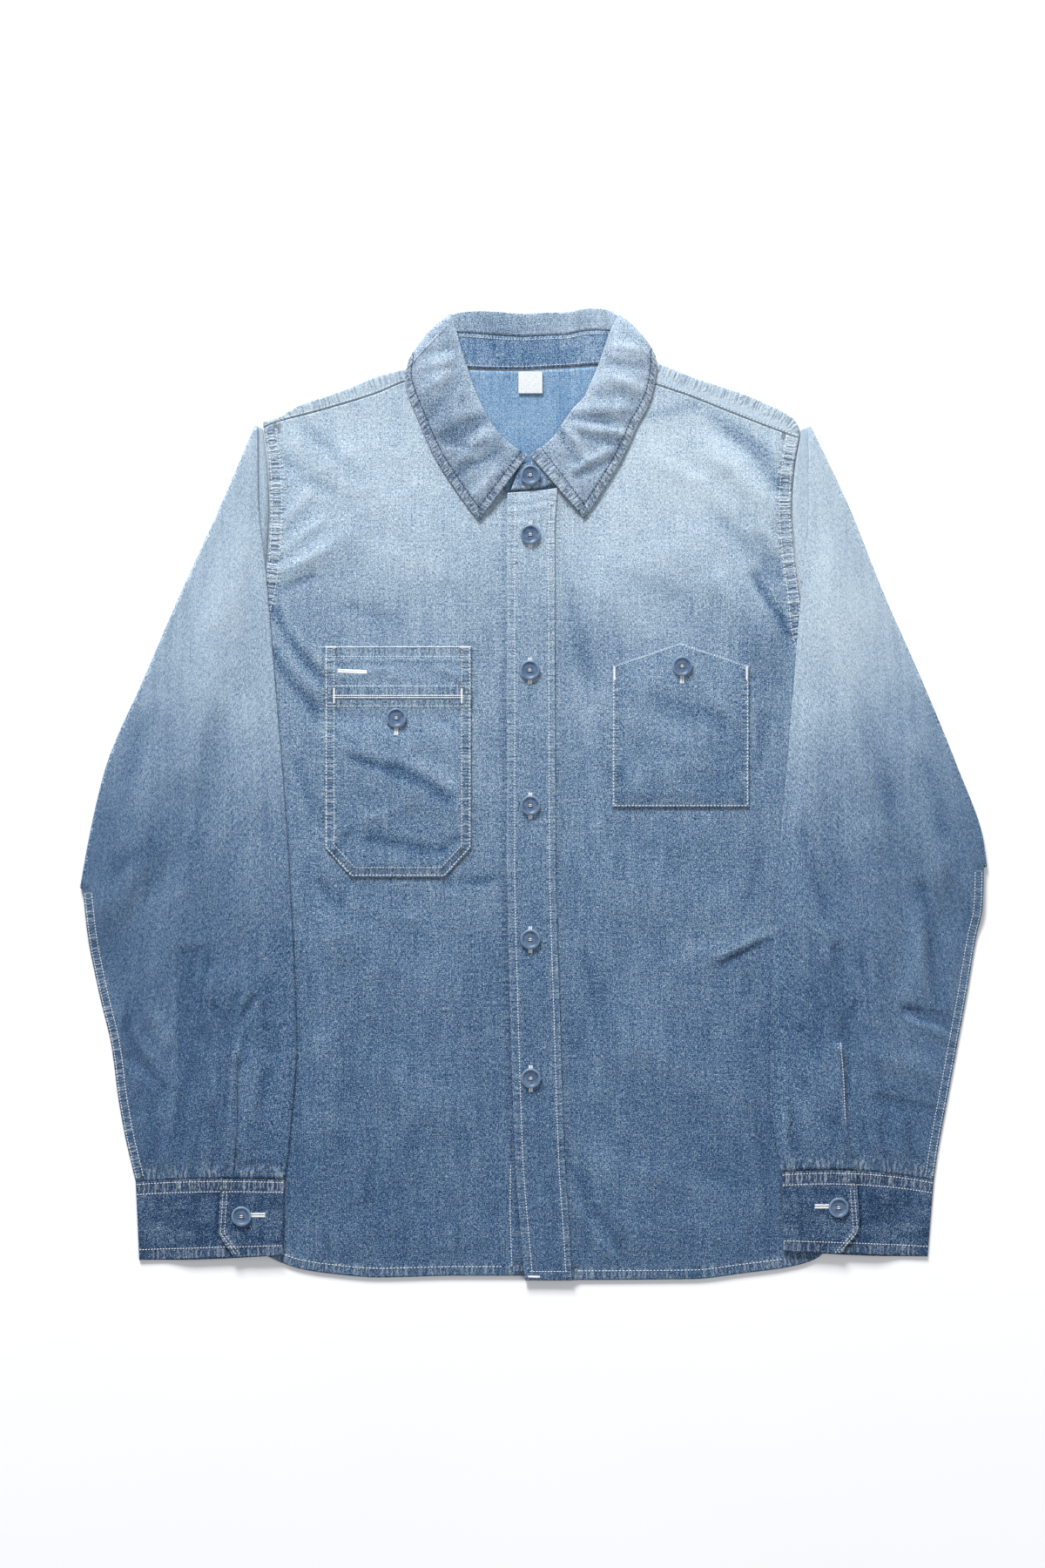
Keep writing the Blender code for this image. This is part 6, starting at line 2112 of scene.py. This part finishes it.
@dataclass
class Trimmings:
    """Slit bindings and the blank neck label."""

    binding_cut: tuple[float, float] = (12.0, 104.0)
    label_cut: tuple[float, float] = (19.2, 17.4)

    def binding(self, side: Side, carrier: Piece, finish: Finish) -> None:
        """The narrow strip beside one sleeve's slit.

        Args:
            side: The wearer's side.
            carrier: What it lies on.
            finish: Its material.
        """
        rows = (SLIT_R if side is Side.RIGHT else SLIT_L)[::-1]
        name = "slit_binding_" + side.name.lower()
        y, across = np.meshgrid(np.linspace(rows[0][0], rows[-1][0], 60), bordered(5, 0.06),
                                indexing="ij")
        x = follow(rows, y) - side.value * SLIT_WIDTH * across
        z = Surface(carrier).heights(x, y) + LAID_GAP
        middle = np.stack([x[:, 3], y[:, 3]], 1)
        pucker, run, reach = seam_marks([Seam(middle, 4.0, 0.15)], x, y)
        marks = Marks(np.stack([x, y], -1), pucker, run, reach, WASH_AND_SHADE.sleeve(x, y))
        made = sheet_object(name, np.stack([x, y, z], -1), marks, finish)
        settle(made, [name], self.binding_cut, ["sleeve_" + side.name.lower()])

    def label(self, carrier: Piece, finish: Finish) -> None:
        """The blank woven label on the inside of the yoke.

        Args:
            carrier: What it lies on.
            finish: Its material.
        """
        (x0, x1), (y0, y1) = LABEL["x"], LABEL["y"]
        y, x = np.meshgrid(y0 + (y1 - y0) * bordered(16, 0.02), x0 + (x1 - x0) * bordered(16, 0.02),
                           indexing="ij")
        z = Surface(carrier).heights(x, y) + LAID_GAP + 0.25 * smooth((y1, y0), y)
        blank = np.zeros_like(x)
        marks = Marks(np.stack([x, y], -1), blank, blank, blank, blank)
        made = sheet_object("neck_label", np.stack([x, y, z], -1), marks, finish)
        settle(made, ["neck_label"], self.label_cut, ["yoke"])


# ---------------------------------------------------------------- stitches


class StitchTree:
    """Geometry Nodes tree that lays short threads along lines."""

    def __init__(self) -> None:
        """Builds the tree with its named inputs."""
        tree = bpy.data.node_groups.new("stitch_row", "GeometryNodeTree")
        face = tree.interface
        face.new_socket("Lines", in_out="INPUT", socket_type="NodeSocketGeometry")
        for name, default in (("Pitch", 0.003), ("Length", 0.0022), ("Width", 0.0005),
                              ("Turn", 0.0), ("Uneven", 0.12)):
            socket = face.new_socket(name, in_out="INPUT", socket_type="NodeSocketFloat")
            socket.default_value = default
        face.new_socket("Thread", in_out="INPUT", socket_type="NodeSocketMaterial")
        face.new_socket("Stitches", in_out="OUTPUT", socket_type="NodeSocketGeometry")
        self.tree = tree
        self.ids = {item.name: item.identifier for item in face.items_tree
                    if item.in_out == "INPUT"}
        self.lay_out(NodeTree(tree))

    def lay_out(self, part: NodeTree) -> None:
        """Adds and joins the nodes.

        Args:
            part: The tree.
        """
        inlet, outlet = part.ends()
        given = inlet.outputs
        curve = part.make("GeometryNodeMeshToCurve", {"Mesh": given["Lines"]})
        spread = part.make("GeometryNodeResampleCurve", {"Curve": curve, "Length": given["Pitch"]},
                           mode="LENGTH")
        bead = part.make("GeometryNodeMeshUVSphere", {"Segments": 6, "Rings": 4, "Radius": 0.5})
        tangent = part.make("GeometryNodeInputTangent", {})
        turn = part.make("FunctionNodeAlignRotationToVector", {"Vector": tangent}, axis="X")
        random = part.add("FunctionNodeRandomValue", data_type="FLOAT")
        wobble = part.feed(random, {"Seed": 5, 2: -1.0, 3: 1.0}).outputs[1]
        angle = part.plus(part.times(wobble, given["Uneven"]), given["Turn"])
        rotate = part.make("FunctionNodeRotateRotation", {
            "Rotation": turn, "Rotate By": part.vector(0.0, 0.0, angle)}, rotation_space="LOCAL")
        grow = part.plus(1.0, part.times(wobble, 0.12))
        size = part.vector(part.times(given["Length"], grow), given["Width"], given["Width"])
        beads = part.make("GeometryNodeInstanceOnPoints", {
            "Points": spread, "Instance": bead, "Rotation": rotate, "Scale": size})
        real = part.make("GeometryNodeRealizeInstances", {0: beads})
        part.feed(outlet, {0: part.make("GeometryNodeSetMaterial", {
            "Geometry": real, "Material": given["Thread"]})})


@dataclass
class StitchStyle:
    """Size of one kind of stitch in mm; turn is 90 for threads laid across their line."""

    pitch: float = 2.7
    length: float = 2.1
    width: float = 0.74
    turn: float = 0.0
    uneven: float = 0.12


TOPSTITCH = StitchStyle()
FINE_STITCH = StitchStyle(pitch=2.3, length=1.75, width=0.66)
BAR = StitchStyle(pitch=0.5, length=1.9, width=0.66, turn=90.0, uneven=0.2)
HEAVY = StitchStyle(pitch=1.8, length=2.0, width=0.9)


@dataclass
class Stitching:
    """Collects stitch lines in groups and lays them with the stitch tree."""

    groups: dict[str, list[np.ndarray]] = field(default_factory=dict)

    def add(self, group: str, points: np.ndarray) -> None:
        """Adds one line of points in mm to a group."""
        self.groups.setdefault(group, []).append(np.asarray(points, float))

    def on(self, group: str, surface: Surface, points: Path, above: float = 0.12) -> None:
        """Adds a plan line laid on a surface, split into points 2 mm apart.

        Args:
            group: Name of the group.
            surface: What the line lies on.
            points: Points of the plan line.
            above: Height of the thread over it.
        """
        points = np.asarray(points, float)
        run = run_along(points)
        at = np.linspace(0, run[-1], max(2, int(run[-1] / 2.0)))
        x, y = np.interp(at, run, points[:, 0]), np.interp(at, run, points[:, 1])
        z = np.array([surface.height(a, b, -1.0) for a, b in zip(x, y)])
        kept = z >= 0
        self.add(group, np.stack([x, y, z + above], 1)[kept])

    def lay(self, tree: StitchTree, group: str, style: StitchStyle, thread: Finish,
            slot: Slot) -> None:
        """Turns one group's lines into a mesh of threads.

        Args:
            tree: The stitch tree.
            group: Name of the group and of the piece.
            style: Size of its stitches.
            thread: Material of the thread.
            slot: The record's slot; not used.
        """
        lines = [l for l in self.groups.get(group, []) if len(l) > 1]
        if not lines:
            return
        points, edges = [], []
        for one in lines:
            start = len(points)
            points += (one * MM).tolist()
            edges += [(start + k, start + k + 1) for k in range(len(one) - 1)]
        mesh = bpy.data.meshes.new(group + "_lines")
        mesh.from_pydata(points, edges, [])
        carrier = placed(group + "_lines", mesh)
        modifier = carrier.modifiers.new("stitches", "NODES")
        modifier.node_group = tree.tree
        for name, value in (("Pitch", style.pitch * MM), ("Length", style.length * MM),
                            ("Width", style.width * MM), ("Turn", math.radians(style.turn)),
                            ("Uneven", style.uneven), ("Thread", thread)):
            modifier[tree.ids[name]] = value
        graph = bpy.context.evaluated_depsgraph_get()
        made = bpy.data.meshes.new_from_object(carrier.evaluated_get(graph))
        made.name = group
        bpy.data.objects.remove(carrier)
        if not made.materials:
            made.materials.append(thread)
        made.polygons.foreach_set("use_smooth", np.ones(len(made.polygons), bool))
        piece = placed(group, made)
        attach(piece, "root")
        log.info("%s: %d faces", group, len(made.polygons))


@dataclass
class Sewing:
    """Every visible line of stitches, laid on the finished pieces."""

    body: dict[str, Piece]
    sleeves: dict[Side, Sleeve]
    made: dict[str, Piece]
    collar: Collar
    stitching: Stitching = field(default_factory=Stitching)

    def fronts(self) -> None:
        """Hems, armholes, shoulders and placket."""
        add = self.stitching.on
        right, left, strip, yoke = (Surface(self.body[name]) for name in (
            "front_right", "front_left", "front_placket", "yoke"))
        for surface, rows, sign, top in ((right, SIDE_R, -1, 288), (left, SIDE_L, 1, 282)):
            arm = table_line(rows, 62, top, 80, swapped=True)
            for inset in (1.6, 9.2):
                add("stitch_body_white", surface, offset(arm, sign * inset))
        add("stitch_body_white", right, table_line(HEM_R, -206, -26) + (0, 7.2))
        add("stitch_body_white", left, table_line(HEM_L, 36, 196) + (0, 7.2))
        for rows, inset in ((CENTRE_L, 6.2), (PLACKET_EDGE, -4.8)):
            edge = table_line(rows, -376, 232, 120, swapped=True)
            add("stitch_body_fine", strip, edge + (inset, 0))
        add("stitch_body_fine", strip, line((-2, -376.5), (26, -376.5)))
        for top, ends in ((TOP_R, (-212, -104)), (TOP_L, (100, 208))):
            add("stitch_body_white", yoke, table_line(top, *ends) + (0, 1.7))
        for x, y in ((-4, -380.6), (-2, -380.4)):
            add("stitch_bars", strip, line((x, y), (x + 7, y - 0.4)))
        add("stitch_body_fine", right, line((-17, -372), (-18.4, -330), (-18, -294)))

    def pockets(self) -> None:
        """Rows, bars and buttonholes of both pockets."""
        add = self.stitching.on
        upper, lower = (Surface(self.made["work_pocket_" + part]) for part in ("upper", "lower"))
        both = Surface(self.made["work_pocket_upper"], self.made["work_pocket_lower"])
        (x0, x1), (cx, cy), low = WORK_POCKET["x"], WORK_POCKET["chamfer"], WORK_POCKET["bottom"]
        white, fine = "stitch_pocket_white", "stitch_pocket_fine"
        add("stitch_pocket_heavy", upper, line((x0 + 0.8, 117.2), (x1 - 0.8, 117.4)))
        add(fine, upper, line((x0 + 1.5, 109.8), (x1 - 1.5, 109.9)))
        for y in (87.0 - 0.8, 70.4):
            add(fine, lower, line((x0 + 1.5, y), (x1 - 1.5, y)))
        for y in (78.9, 77.2):
            add("stitch_pocket_heavy", lower, line((x0 + 7, y), (x1 - 7, y)))
        for a, b in ((1.3, 1.0), (7.4, 7.2)):
            ring = line((x0 + a, 116), (x0 + a, low + cy + b * 0.3), (x0 + cx + b * 0.4, low + a),
                        (x1 - cx - b * 0.4, low + a), (x1 - a, low + cy + b * 0.3), (x1 - a, 116))
            add(white if a < 2 else fine, both, ring)
        for x in (x0 + 7.4, x1 - 7.4):
            add("stitch_bars", lower, line((x, 84.5), (x, 73)))
        for x in (x0 + 1.2, x1 - 9):
            add("stitch_bars", upper, line((x, 117.2), (x + 7.5, 117.2)))
        for shift in (-0.8, 0.8):
            add("stitch_bars", upper, line((-154.6, 98.4 + shift), (-132, 97.4 + shift)))
        point = Surface(self.made["point_pocket"])
        x0, x1 = POINT_POCKET["x"]
        base, apex, middle = POINT_POCKET["top"], POINT_POCKET["apex"], sum(POINT_POCKET["x"]) / 2
        add(white, point, line((x0 + 1.2, base - 1), (x0 + 1.2, -8.2), (x1 - 1.2, -8.2),
                               (x1 - 1.2, base - 1)))
        add(fine, point, line((x0 + 1, base - 0.9), (middle, apex - 1.3), (x1 - 1, base - 0.9)))
        for x in (x0 + 1.8, x1 - 1.8):
            add("stitch_bars", point, line((x, base - 1), (x, base - 11)))

    def buttonholes(self) -> None:
        """Worked buttonholes: two close rows and an end bar each."""
        placket = Surface(self.body["front_placket"], self.made["work_pocket_lower"],
                          self.made["point_pocket"])
        cuffs = {side: Surface(self.made["cuff_" + side.name.lower()]) for side in Side}
        for name, (x, y) in BUTTONS.items():
            if name == "button_front_1":
                continue
            if "cuff" in name:
                side = Side.RIGHT if "right" in name else Side.LEFT
                inward = -side.value
                rows = line((x + inward * 7.4, y + 0.8), (x + inward * 18.5, y + 0.8))
                surface, shifts = cuffs[side], ((0, 1.0), (0, -1.0))
            else:
                reach = (9.8, -10.6) if "front" in name else (-2.0, -13.4)
                rows = line((x, y + reach[0]), (x, y + reach[1]))
                surface, shifts = placket, ((0.85, 0), (-0.85, 0))
            for shift in shifts:
                self.stitching.on("stitch_buttonholes", surface, rows + shift)

    def sleeve_lines(self) -> None:
        """Underarm seams, slits and cuffs."""
        add = self.stitching.on
        share = np.linspace(0.012, 0.988, 60)
        for side, sleeve in self.sleeves.items():
            tag, sign = side.name.lower(), side.value
            surface, cuff = Surface(self.made["sleeve_" + tag]), Surface(self.made["cuff_" + tag])
            outer = along(sleeve.cut["outer"], np.linspace(0.02, 0.985, 60))
            group = "stitch_sleeves_white" if side is Side.RIGHT else "stitch_sleeves_fine"
            for inset in (1.6, 7.0):
                add(group, surface, offset(outer, -sign * inset))
            if side is Side.LEFT:
                slit = table_line(SLIT_L[::-1], SLIT_L[-1][0], SLIT_L[0][0], swapped=True)[::-1]
                binding = Surface(self.made["slit_binding_" + tag])
                add("stitch_sleeves_white", binding, slit[:36] - (0.9, 0))
            cut = CUFF_R if side is Side.RIGHT else CUFF_L
            for down in (0.035, 0.165, 0.87):
                first, last = (np.array(edge[:2]) + np.subtract(edge[2:], edge[:2]) * down
                               for edge in (cut["outer"], cut["inner"]))
                row = first + (last - first) * share[:, None]
                row[:, 1] += cut["bow"] * 4 * share * (1 - share) * (1 - down)
                add("stitch_sleeves_white", cuff, row)
            lap, top = cut["lap"], cut["outer"][1]
            for inset in (1.4, 4.4):
                places = zip((x - sign * inset for x in lap), (top - 8, top - 40, top - 56))
                add("stitch_sleeves_fine", cuff, line(*places))

    def collar_lines(self) -> None:
        """Topstitching round the leaf and along the stand."""
        grid, inset = self.collar.faces["leaf"], COLLAR_STITCH
        lifted = np.array([0, 0, 0.35])
        across = run_across(grid)
        from_edge = across[:, -1:] - across

        def at_reach(k: int, reach: float) -> np.ndarray:
            """Point of a section at a distance from the outer edge."""
            order = np.argsort(from_edge[k])
            return np.array([np.interp(reach, from_edge[k][order], way)
                             for way in grid[k, order].T])

        rows = np.array([at_reach(k, inset) for k in range(len(grid))])
        run = run_along(grid[:, -1])
        keep = (run > inset) & (run < run[-1] - inset) & (rows[:, 2] > 3)
        for part in np.split(np.arange(len(grid)), np.flatnonzero(np.diff(keep.astype(int))) + 1):
            if keep[part[0]]:
                self.stitching.add("stitch_collar_navy", rows[part] + lifted)
        for place in (inset, run[-1] - inset):
            k = int(np.argmin(np.abs(run - place)))
            points = [p for p, d in zip(grid[k], from_edge[k]) if d > inset and p[2] > 3][8:]
            if len(points) > 3:
                self.stitching.add("stitch_collar_navy", np.array(points) + lifted)
        stand = self.collar.faces["stand"]
        back = stand[(np.abs(stand[:, 0, 0]) < 60) & (stand[:, 0, 1] > 340)]
        upper, low = back[:, 1].copy(), back[:, -2].copy()
        upper[:, 2] = np.maximum(upper[:, 2], back[..., 2].mean(1))
        for row in (upper, low):
            self.stitching.add("stitch_collar_pale", row + (0, 0, 1.3))

    def build(self, white: Finish, pale: Finish, navy: Finish) -> None:
        """Lays every group.

        Args:
            white: Whitest thread.
            pale: Pale thread.
            navy: Dark thread.
        """
        self.fronts()
        self.pockets()
        self.buttonholes()
        self.sleeve_lines()
        self.collar_lines()
        tree = StitchTree()
        for group, style, thread, slot in (
                ("body_white", TOPSTITCH, pale, Slot.BODY),
                ("body_fine", FINE_STITCH, white, Slot.BODY),
                ("bars", BAR, white, Slot.BODY), ("pocket_white", TOPSTITCH, white, Slot.BODY),
                ("pocket_fine", FINE_STITCH, pale, Slot.BODY),
                ("pocket_heavy", HEAVY, white, Slot.BODY), ("buttonholes", BAR, white, Slot.BODY),
                ("sleeves_white", FINE_STITCH, white, Slot.SLEEVE),
                ("sleeves_fine", FINE_STITCH, pale, Slot.SLEEVE),
                ("collar_navy", TOPSTITCH, navy, Slot.UPPER),
                ("collar_pale", FINE_STITCH, pale, Slot.UPPER)):
            self.stitching.lay(tree, "stitch_" + group, style, thread, slot)


# ---------------------------------------------------------------- buttons


@dataclass
class Buttons:
    """Turned buttons with a raised rim, four holes drawn as flat dark beads of painted shadow, and
    their thread.
    """

    # Outer side, top to bottom: share of the radius, height in mm
    profile: tuple[tuple[float, float], ...] = (
        (0, 1.72), (0.42, 1.74), (0.6, 1.82), (0.69, 2.1), (0.75, 2.55), (0.81, 2.78),
        (0.88, 2.8), (0.94, 2.68), (0.985, 2.35), (1, 1.8), (1, 1.2), (0.965, 0.6), (0.88, 0.12),
        (0.8, 0), (0, 0))
    steps: int = 56
    bowl: float = 1.76
    spread: float = 1.25
    foot: float = BUTTON_D / 2 - 1.5
    clear: float = 0.05

    def disc(self, name: str, x: float, y: float, base: float, finish: Finish
             ) -> Piece:
        """One turned button, its place in its mesh.

        Args:
            name: Name of the piece.
            x: Plan x of its middle.
            y: Plan y of its middle.
            base: Height of its underside.
            finish: Its material.

        Returns:
            The button.
        """
        mesh = bpy.data.meshes.new(name + "_disc")
        radius = BUTTON_D / 2
        mesh.from_pydata([(r * radius * MM, 0, z * MM) for r, z in self.profile],
                         [(k, k + 1) for k in range(len(self.profile) - 1)], [])
        turned = placed(name + "_disc", mesh)
        screw = turned.modifiers.new("turned", "SCREW")
        screw.steps = screw.render_steps = self.steps
        screw.use_merge_vertices, screw.merge_threshold = True, 0.00001
        screw.use_smooth_shade = True
        graph = bpy.context.evaluated_depsgraph_get()
        made = bpy.data.meshes.new_from_object(turned.evaluated_get(graph))
        turned.modifiers.clear()
        turned.data = made
        made.name = name + "_disc"
        spots = np.array([v.co[:2] for v in made.vertices]) / (radius * MM)
        # Mask of the rim, where the plastic gets its painted highlight.
        rim = smooth((0.8, 0.92), np.linalg.norm(spots, axis=1)).astype(np.float32)
        made.attributes.new("rim", "FLOAT", "POINT").data.foreach_set("value", rim)
        made.transform(Matrix.Translation((x * MM, y * MM, base * MM)))
        made.materials.clear()
        made.materials.append(finish)
        return turned

    def build(self, carriers: Surface, plastic: Finish, hole: Finish,
              thread: Finish) -> None:
        """Builds every button at its node, clear of the cloth below, with its holes as painted
        shadow, and its thread.

        Args:
            carriers: Heights of what the buttons lie on.
            plastic: Material of the discs.
            hole: Material of the dark beads of painted shadow in the holes.
            thread: Material of the thread.
        """
        holes, threads = [], []
        for name, (x, y) in BUTTONS.items():
            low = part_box(name)[0]
            ring = [(x + self.foot * math.cos(a), y + self.foot * math.sin(a))
                    for a in np.linspace(0, 6, 13)]
            base = max([low.z / MM] + [carriers.height(*p) + self.clear for p in ring])
            piece = self.disc(name, x, y, base, plastic)
            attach(piece, "root")
            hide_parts(name)
            centre, spread = base + self.bowl, (-self.spread, self.spread)
            # Each hole is a flat dark bead on the bowl, painted shadow; the disc itself has no
            # opening.
            holes += [(x + dx, y + dy, centre, 0.72, 0.72, 0.12) for dx in spread for dy in spread]
            threads += [(x, y + dy * 0.55, centre + 0.3, 1.7, 0.42, 0.36) for dy in spread]
        self.beads("button_holes", holes, hole)
        self.beads("button_threads", threads, thread)
        log.info("buttons: %d", len(BUTTONS))

    def beads(self, name: str, rows: Sequence[Sequence[float]], finish: Finish) -> None:
        """Small rounded pieces: x, y, z and half sizes in mm of each.

        Args:
            name: Name of the piece.
            rows: x, y, z and half sizes of each, in mm.
            finish: Its material.
        """
        points, faces = [], []
        around, levels = 10, 5
        for x, y, z, rx, ry, rz in rows:
            start = len(points)
            points.append((x, y, z + rz))
            for k in range(1, levels):
                a = math.pi * k / levels
                for j in range(around):
                    b = 2 * math.pi * j / around
                    points.append((x + rx * math.sin(a) * math.cos(b),
                                   y + ry * math.sin(a) * math.sin(b), z + rz * math.cos(a)))
            points.append((x, y, z - rz))
            end = len(points) - 1
            for j in range(around):
                n = (j + 1) % around
                faces.append((start, start + 1 + j, start + 1 + n))
                for k in range(levels - 2):
                    a, b = start + 1 + k * around, start + 1 + (k + 1) * around
                    faces.append((a + j, b + j, b + n, a + n))
                a = start + 1 + (levels - 2) * around
                faces.append((a + n, a + j, end))
        mesh = bpy.data.meshes.new(name)
        mesh.from_pydata((np.array(points) * MM).tolist(), [], faces)
        piece = smooth_piece(name, mesh, finish)
        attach(piece, "root")


# ---------------------------------------------------------------- studio


@dataclass
class Studio:
    """Pale floor, soft light and a camera that looks straight down, in metres and watts.

    Attributes:
        centre: Plan point the camera looks at.
        lens: Focal length in mm.
        sensor: Height of the sensor in mm.
        frame_height: Height of the frame on the floor.
        floor_size: Length of the floor's sides.
        key: Place, size and power of the main light.
        fill: Place, size and power of the light that fills the shadows.
        room_tint: Colour of the light from all round.
        room_light: Strength of the light from all round.
    """

    centre: tuple[float, float] = (-0.0086, 0.009)
    lens: float = 85.0
    sensor: float = 36.0
    frame_height: float = 1.242
    floor_size: float = 6.0
    key: tuple[Tint, float, float] = ((-1.1, 3.9, 2.2), 1.4, 315)
    fill: tuple[Tint, float, float] = ((1.6, -0.8, 3.4), 2.4, 29)
    room_tint: tuple[float, float, float, float] = (0.93, 0.96, 1.0, 1)
    room_light: float = 0.34

    def floor(self) -> None:
        """The surface the shirt lies on, as a shallow slab below z 0."""
        half, depth = self.floor_size / 2, 0.02
        corners = [(sx * half, sy * half, z) for z in (0.0, -depth)
                   for sx, sy in ((-1, -1), (1, -1), (1, 1), (-1, 1))]
        faces = [(0, 1, 2, 3), (7, 6, 5, 4), (0, 4, 5, 1), (1, 5, 6, 2), (2, 6, 7, 3), (3, 7, 4, 0)]
        mesh = bpy.data.meshes.new("stage_floor")
        mesh.from_pydata(corners, [], faces)
        mesh.materials.append(Paper("pale_paper").material())
        placed("stage_floor", mesh)

    def lamp(self, name: str, place: Sequence[float], size: float, power: float) -> None:
        """A square soft light aimed at the shirt.

        Args:
            name: Name of the light.
            place: Where it stands.
            size: Length of its sides.
            power: Power in watts.
        """
        data = bpy.data.lights.new(name, "AREA")
        data.energy, data.size = power, size
        lamp = placed(name, data)
        lamp.location = place
        lamp.rotation_euler = (-Vector(place)).to_track_quat("-Z", "Y").to_euler()

    def camera(self) -> None:
        """The camera at the photograph's angle, straight above."""
        data = bpy.data.cameras.new("camera")
        data.lens, data.sensor_width, data.sensor_fit = self.lens, self.sensor, "AUTO"
        data.clip_end = 50
        camera = placed("camera", data)
        camera.location = (*self.centre, self.frame_height * self.lens / self.sensor)
        bpy.context.scene.camera = camera

    def build(self) -> None:
        """Builds the whole studio."""
        self.floor()
        self.lamp("key_light", *self.key)
        self.lamp("fill_light", *self.fill)
        self.camera()
        world = bpy.data.worlds.new("soft_room")
        world.use_nodes = True
        background = world.node_tree.nodes["Background"]
        background.inputs[0].default_value = self.room_tint
        background.inputs[1].default_value = self.room_light
        scene = bpy.context.scene
        scene.world = world
        scene.view_settings.view_transform = "Standard"


# ---------------------------------------------------------------- the shirt


def main() -> None:
    """Builds the shirt piece by piece on its frame."""
    logging.basicConfig(level=logging.INFO, format="%(message)s")
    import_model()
    Studio().build()
    body_cloth = Chambray("body_chambray").material()
    inside_cloth = Chambray("yoke_chambray", deep=(48, 98, 152), mid=(126, 172, 210), mottle=0.3,
                            clouds=0.2).material()
    sleeve_cloth = Chambray("sleeve_chambray").material()
    cuff_cloth = Chambray("cuff_chambray", deep=(12, 60, 110), mid=(82, 121, 159), clouds=0.35,
                          pitch=1.9).material()
    collar_cloth = Chambray("collar_chambray", deep=(46, 82, 124), mid=(120, 148, 175),
                           pale=(184, 199, 212), mottle=0.44, clouds=0.22, pitch=1.9).material()
    stand_cloth = Chambray("stand_chambray", deep=(30, 88, 144), mid=(108, 152, 190), clouds=0.5,
                           pitch=1.8).material()
    pocket_cloth = Chambray("pocket_chambray", clouds=0.14, pitch=2.0).material()
    body = Body()
    body.build(body_cloth, inside_cloth)
    made: dict[str, Piece] = {}
    sleeves: dict[Side, Sleeve] = {}
    for side, cut, cuff_cut in ((Side.RIGHT, SLEEVE_R, CUFF_R), (Side.LEFT, SLEEVE_L, CUFF_L)):
        sleeves[side] = Sleeve(side, cut)
        tag = side.name.lower()
        made["sleeve_" + tag] = sleeves[side].build(sleeve_cloth)
        made["cuff_" + tag] = Cuff(side, cuff_cut, sleeves[side]).build(cuff_cloth)
    collar = Collar()
    made.update(collar.build(collar_cloth, stand_cloth))
    pockets = Pockets()
    made["work_pocket_upper"], made["work_pocket_lower"] = pockets.work(
        body.pieces["front_right"], pocket_cloth)
    made["point_pocket"] = pockets.point(body.pieces["front_left"], pocket_cloth)
    trimmings = Trimmings()
    for side in Side:
        tag = side.name.lower()
        trimmings.binding(side, made["sleeve_" + tag], sleeve_cloth)
        made["slit_binding_" + tag] = bpy.data.objects["slit_binding_" + tag + "_cloth"]
    trimmings.label(body.pieces["yoke"], LabelCloth().material())
    white = Thread("white_thread", (244, 250, 255)).material()
    pale = Thread("pale_thread", (222, 233, 243)).material()
    navy = Thread("navy_thread", (32, 52, 88)).material()
    Sewing(body.pieces, sleeves, made, collar).build(white, pale, navy)
    below = Surface(body.pieces["front_placket"], made["collar_stand"], made["cuff_right"],
                    made["cuff_left"], made["work_pocket_lower"], made["point_pocket"])
    Buttons().build(below, Plastic("button_plastic").material(),
                     Plastic("button_hole_shadow", (10, 12, 18), (22, 26, 36), (22, 26, 36),
                             0.6).material(),
                    Thread("button_thread", (222, 222, 220)).material())


if __name__ == "__main__":
    main()
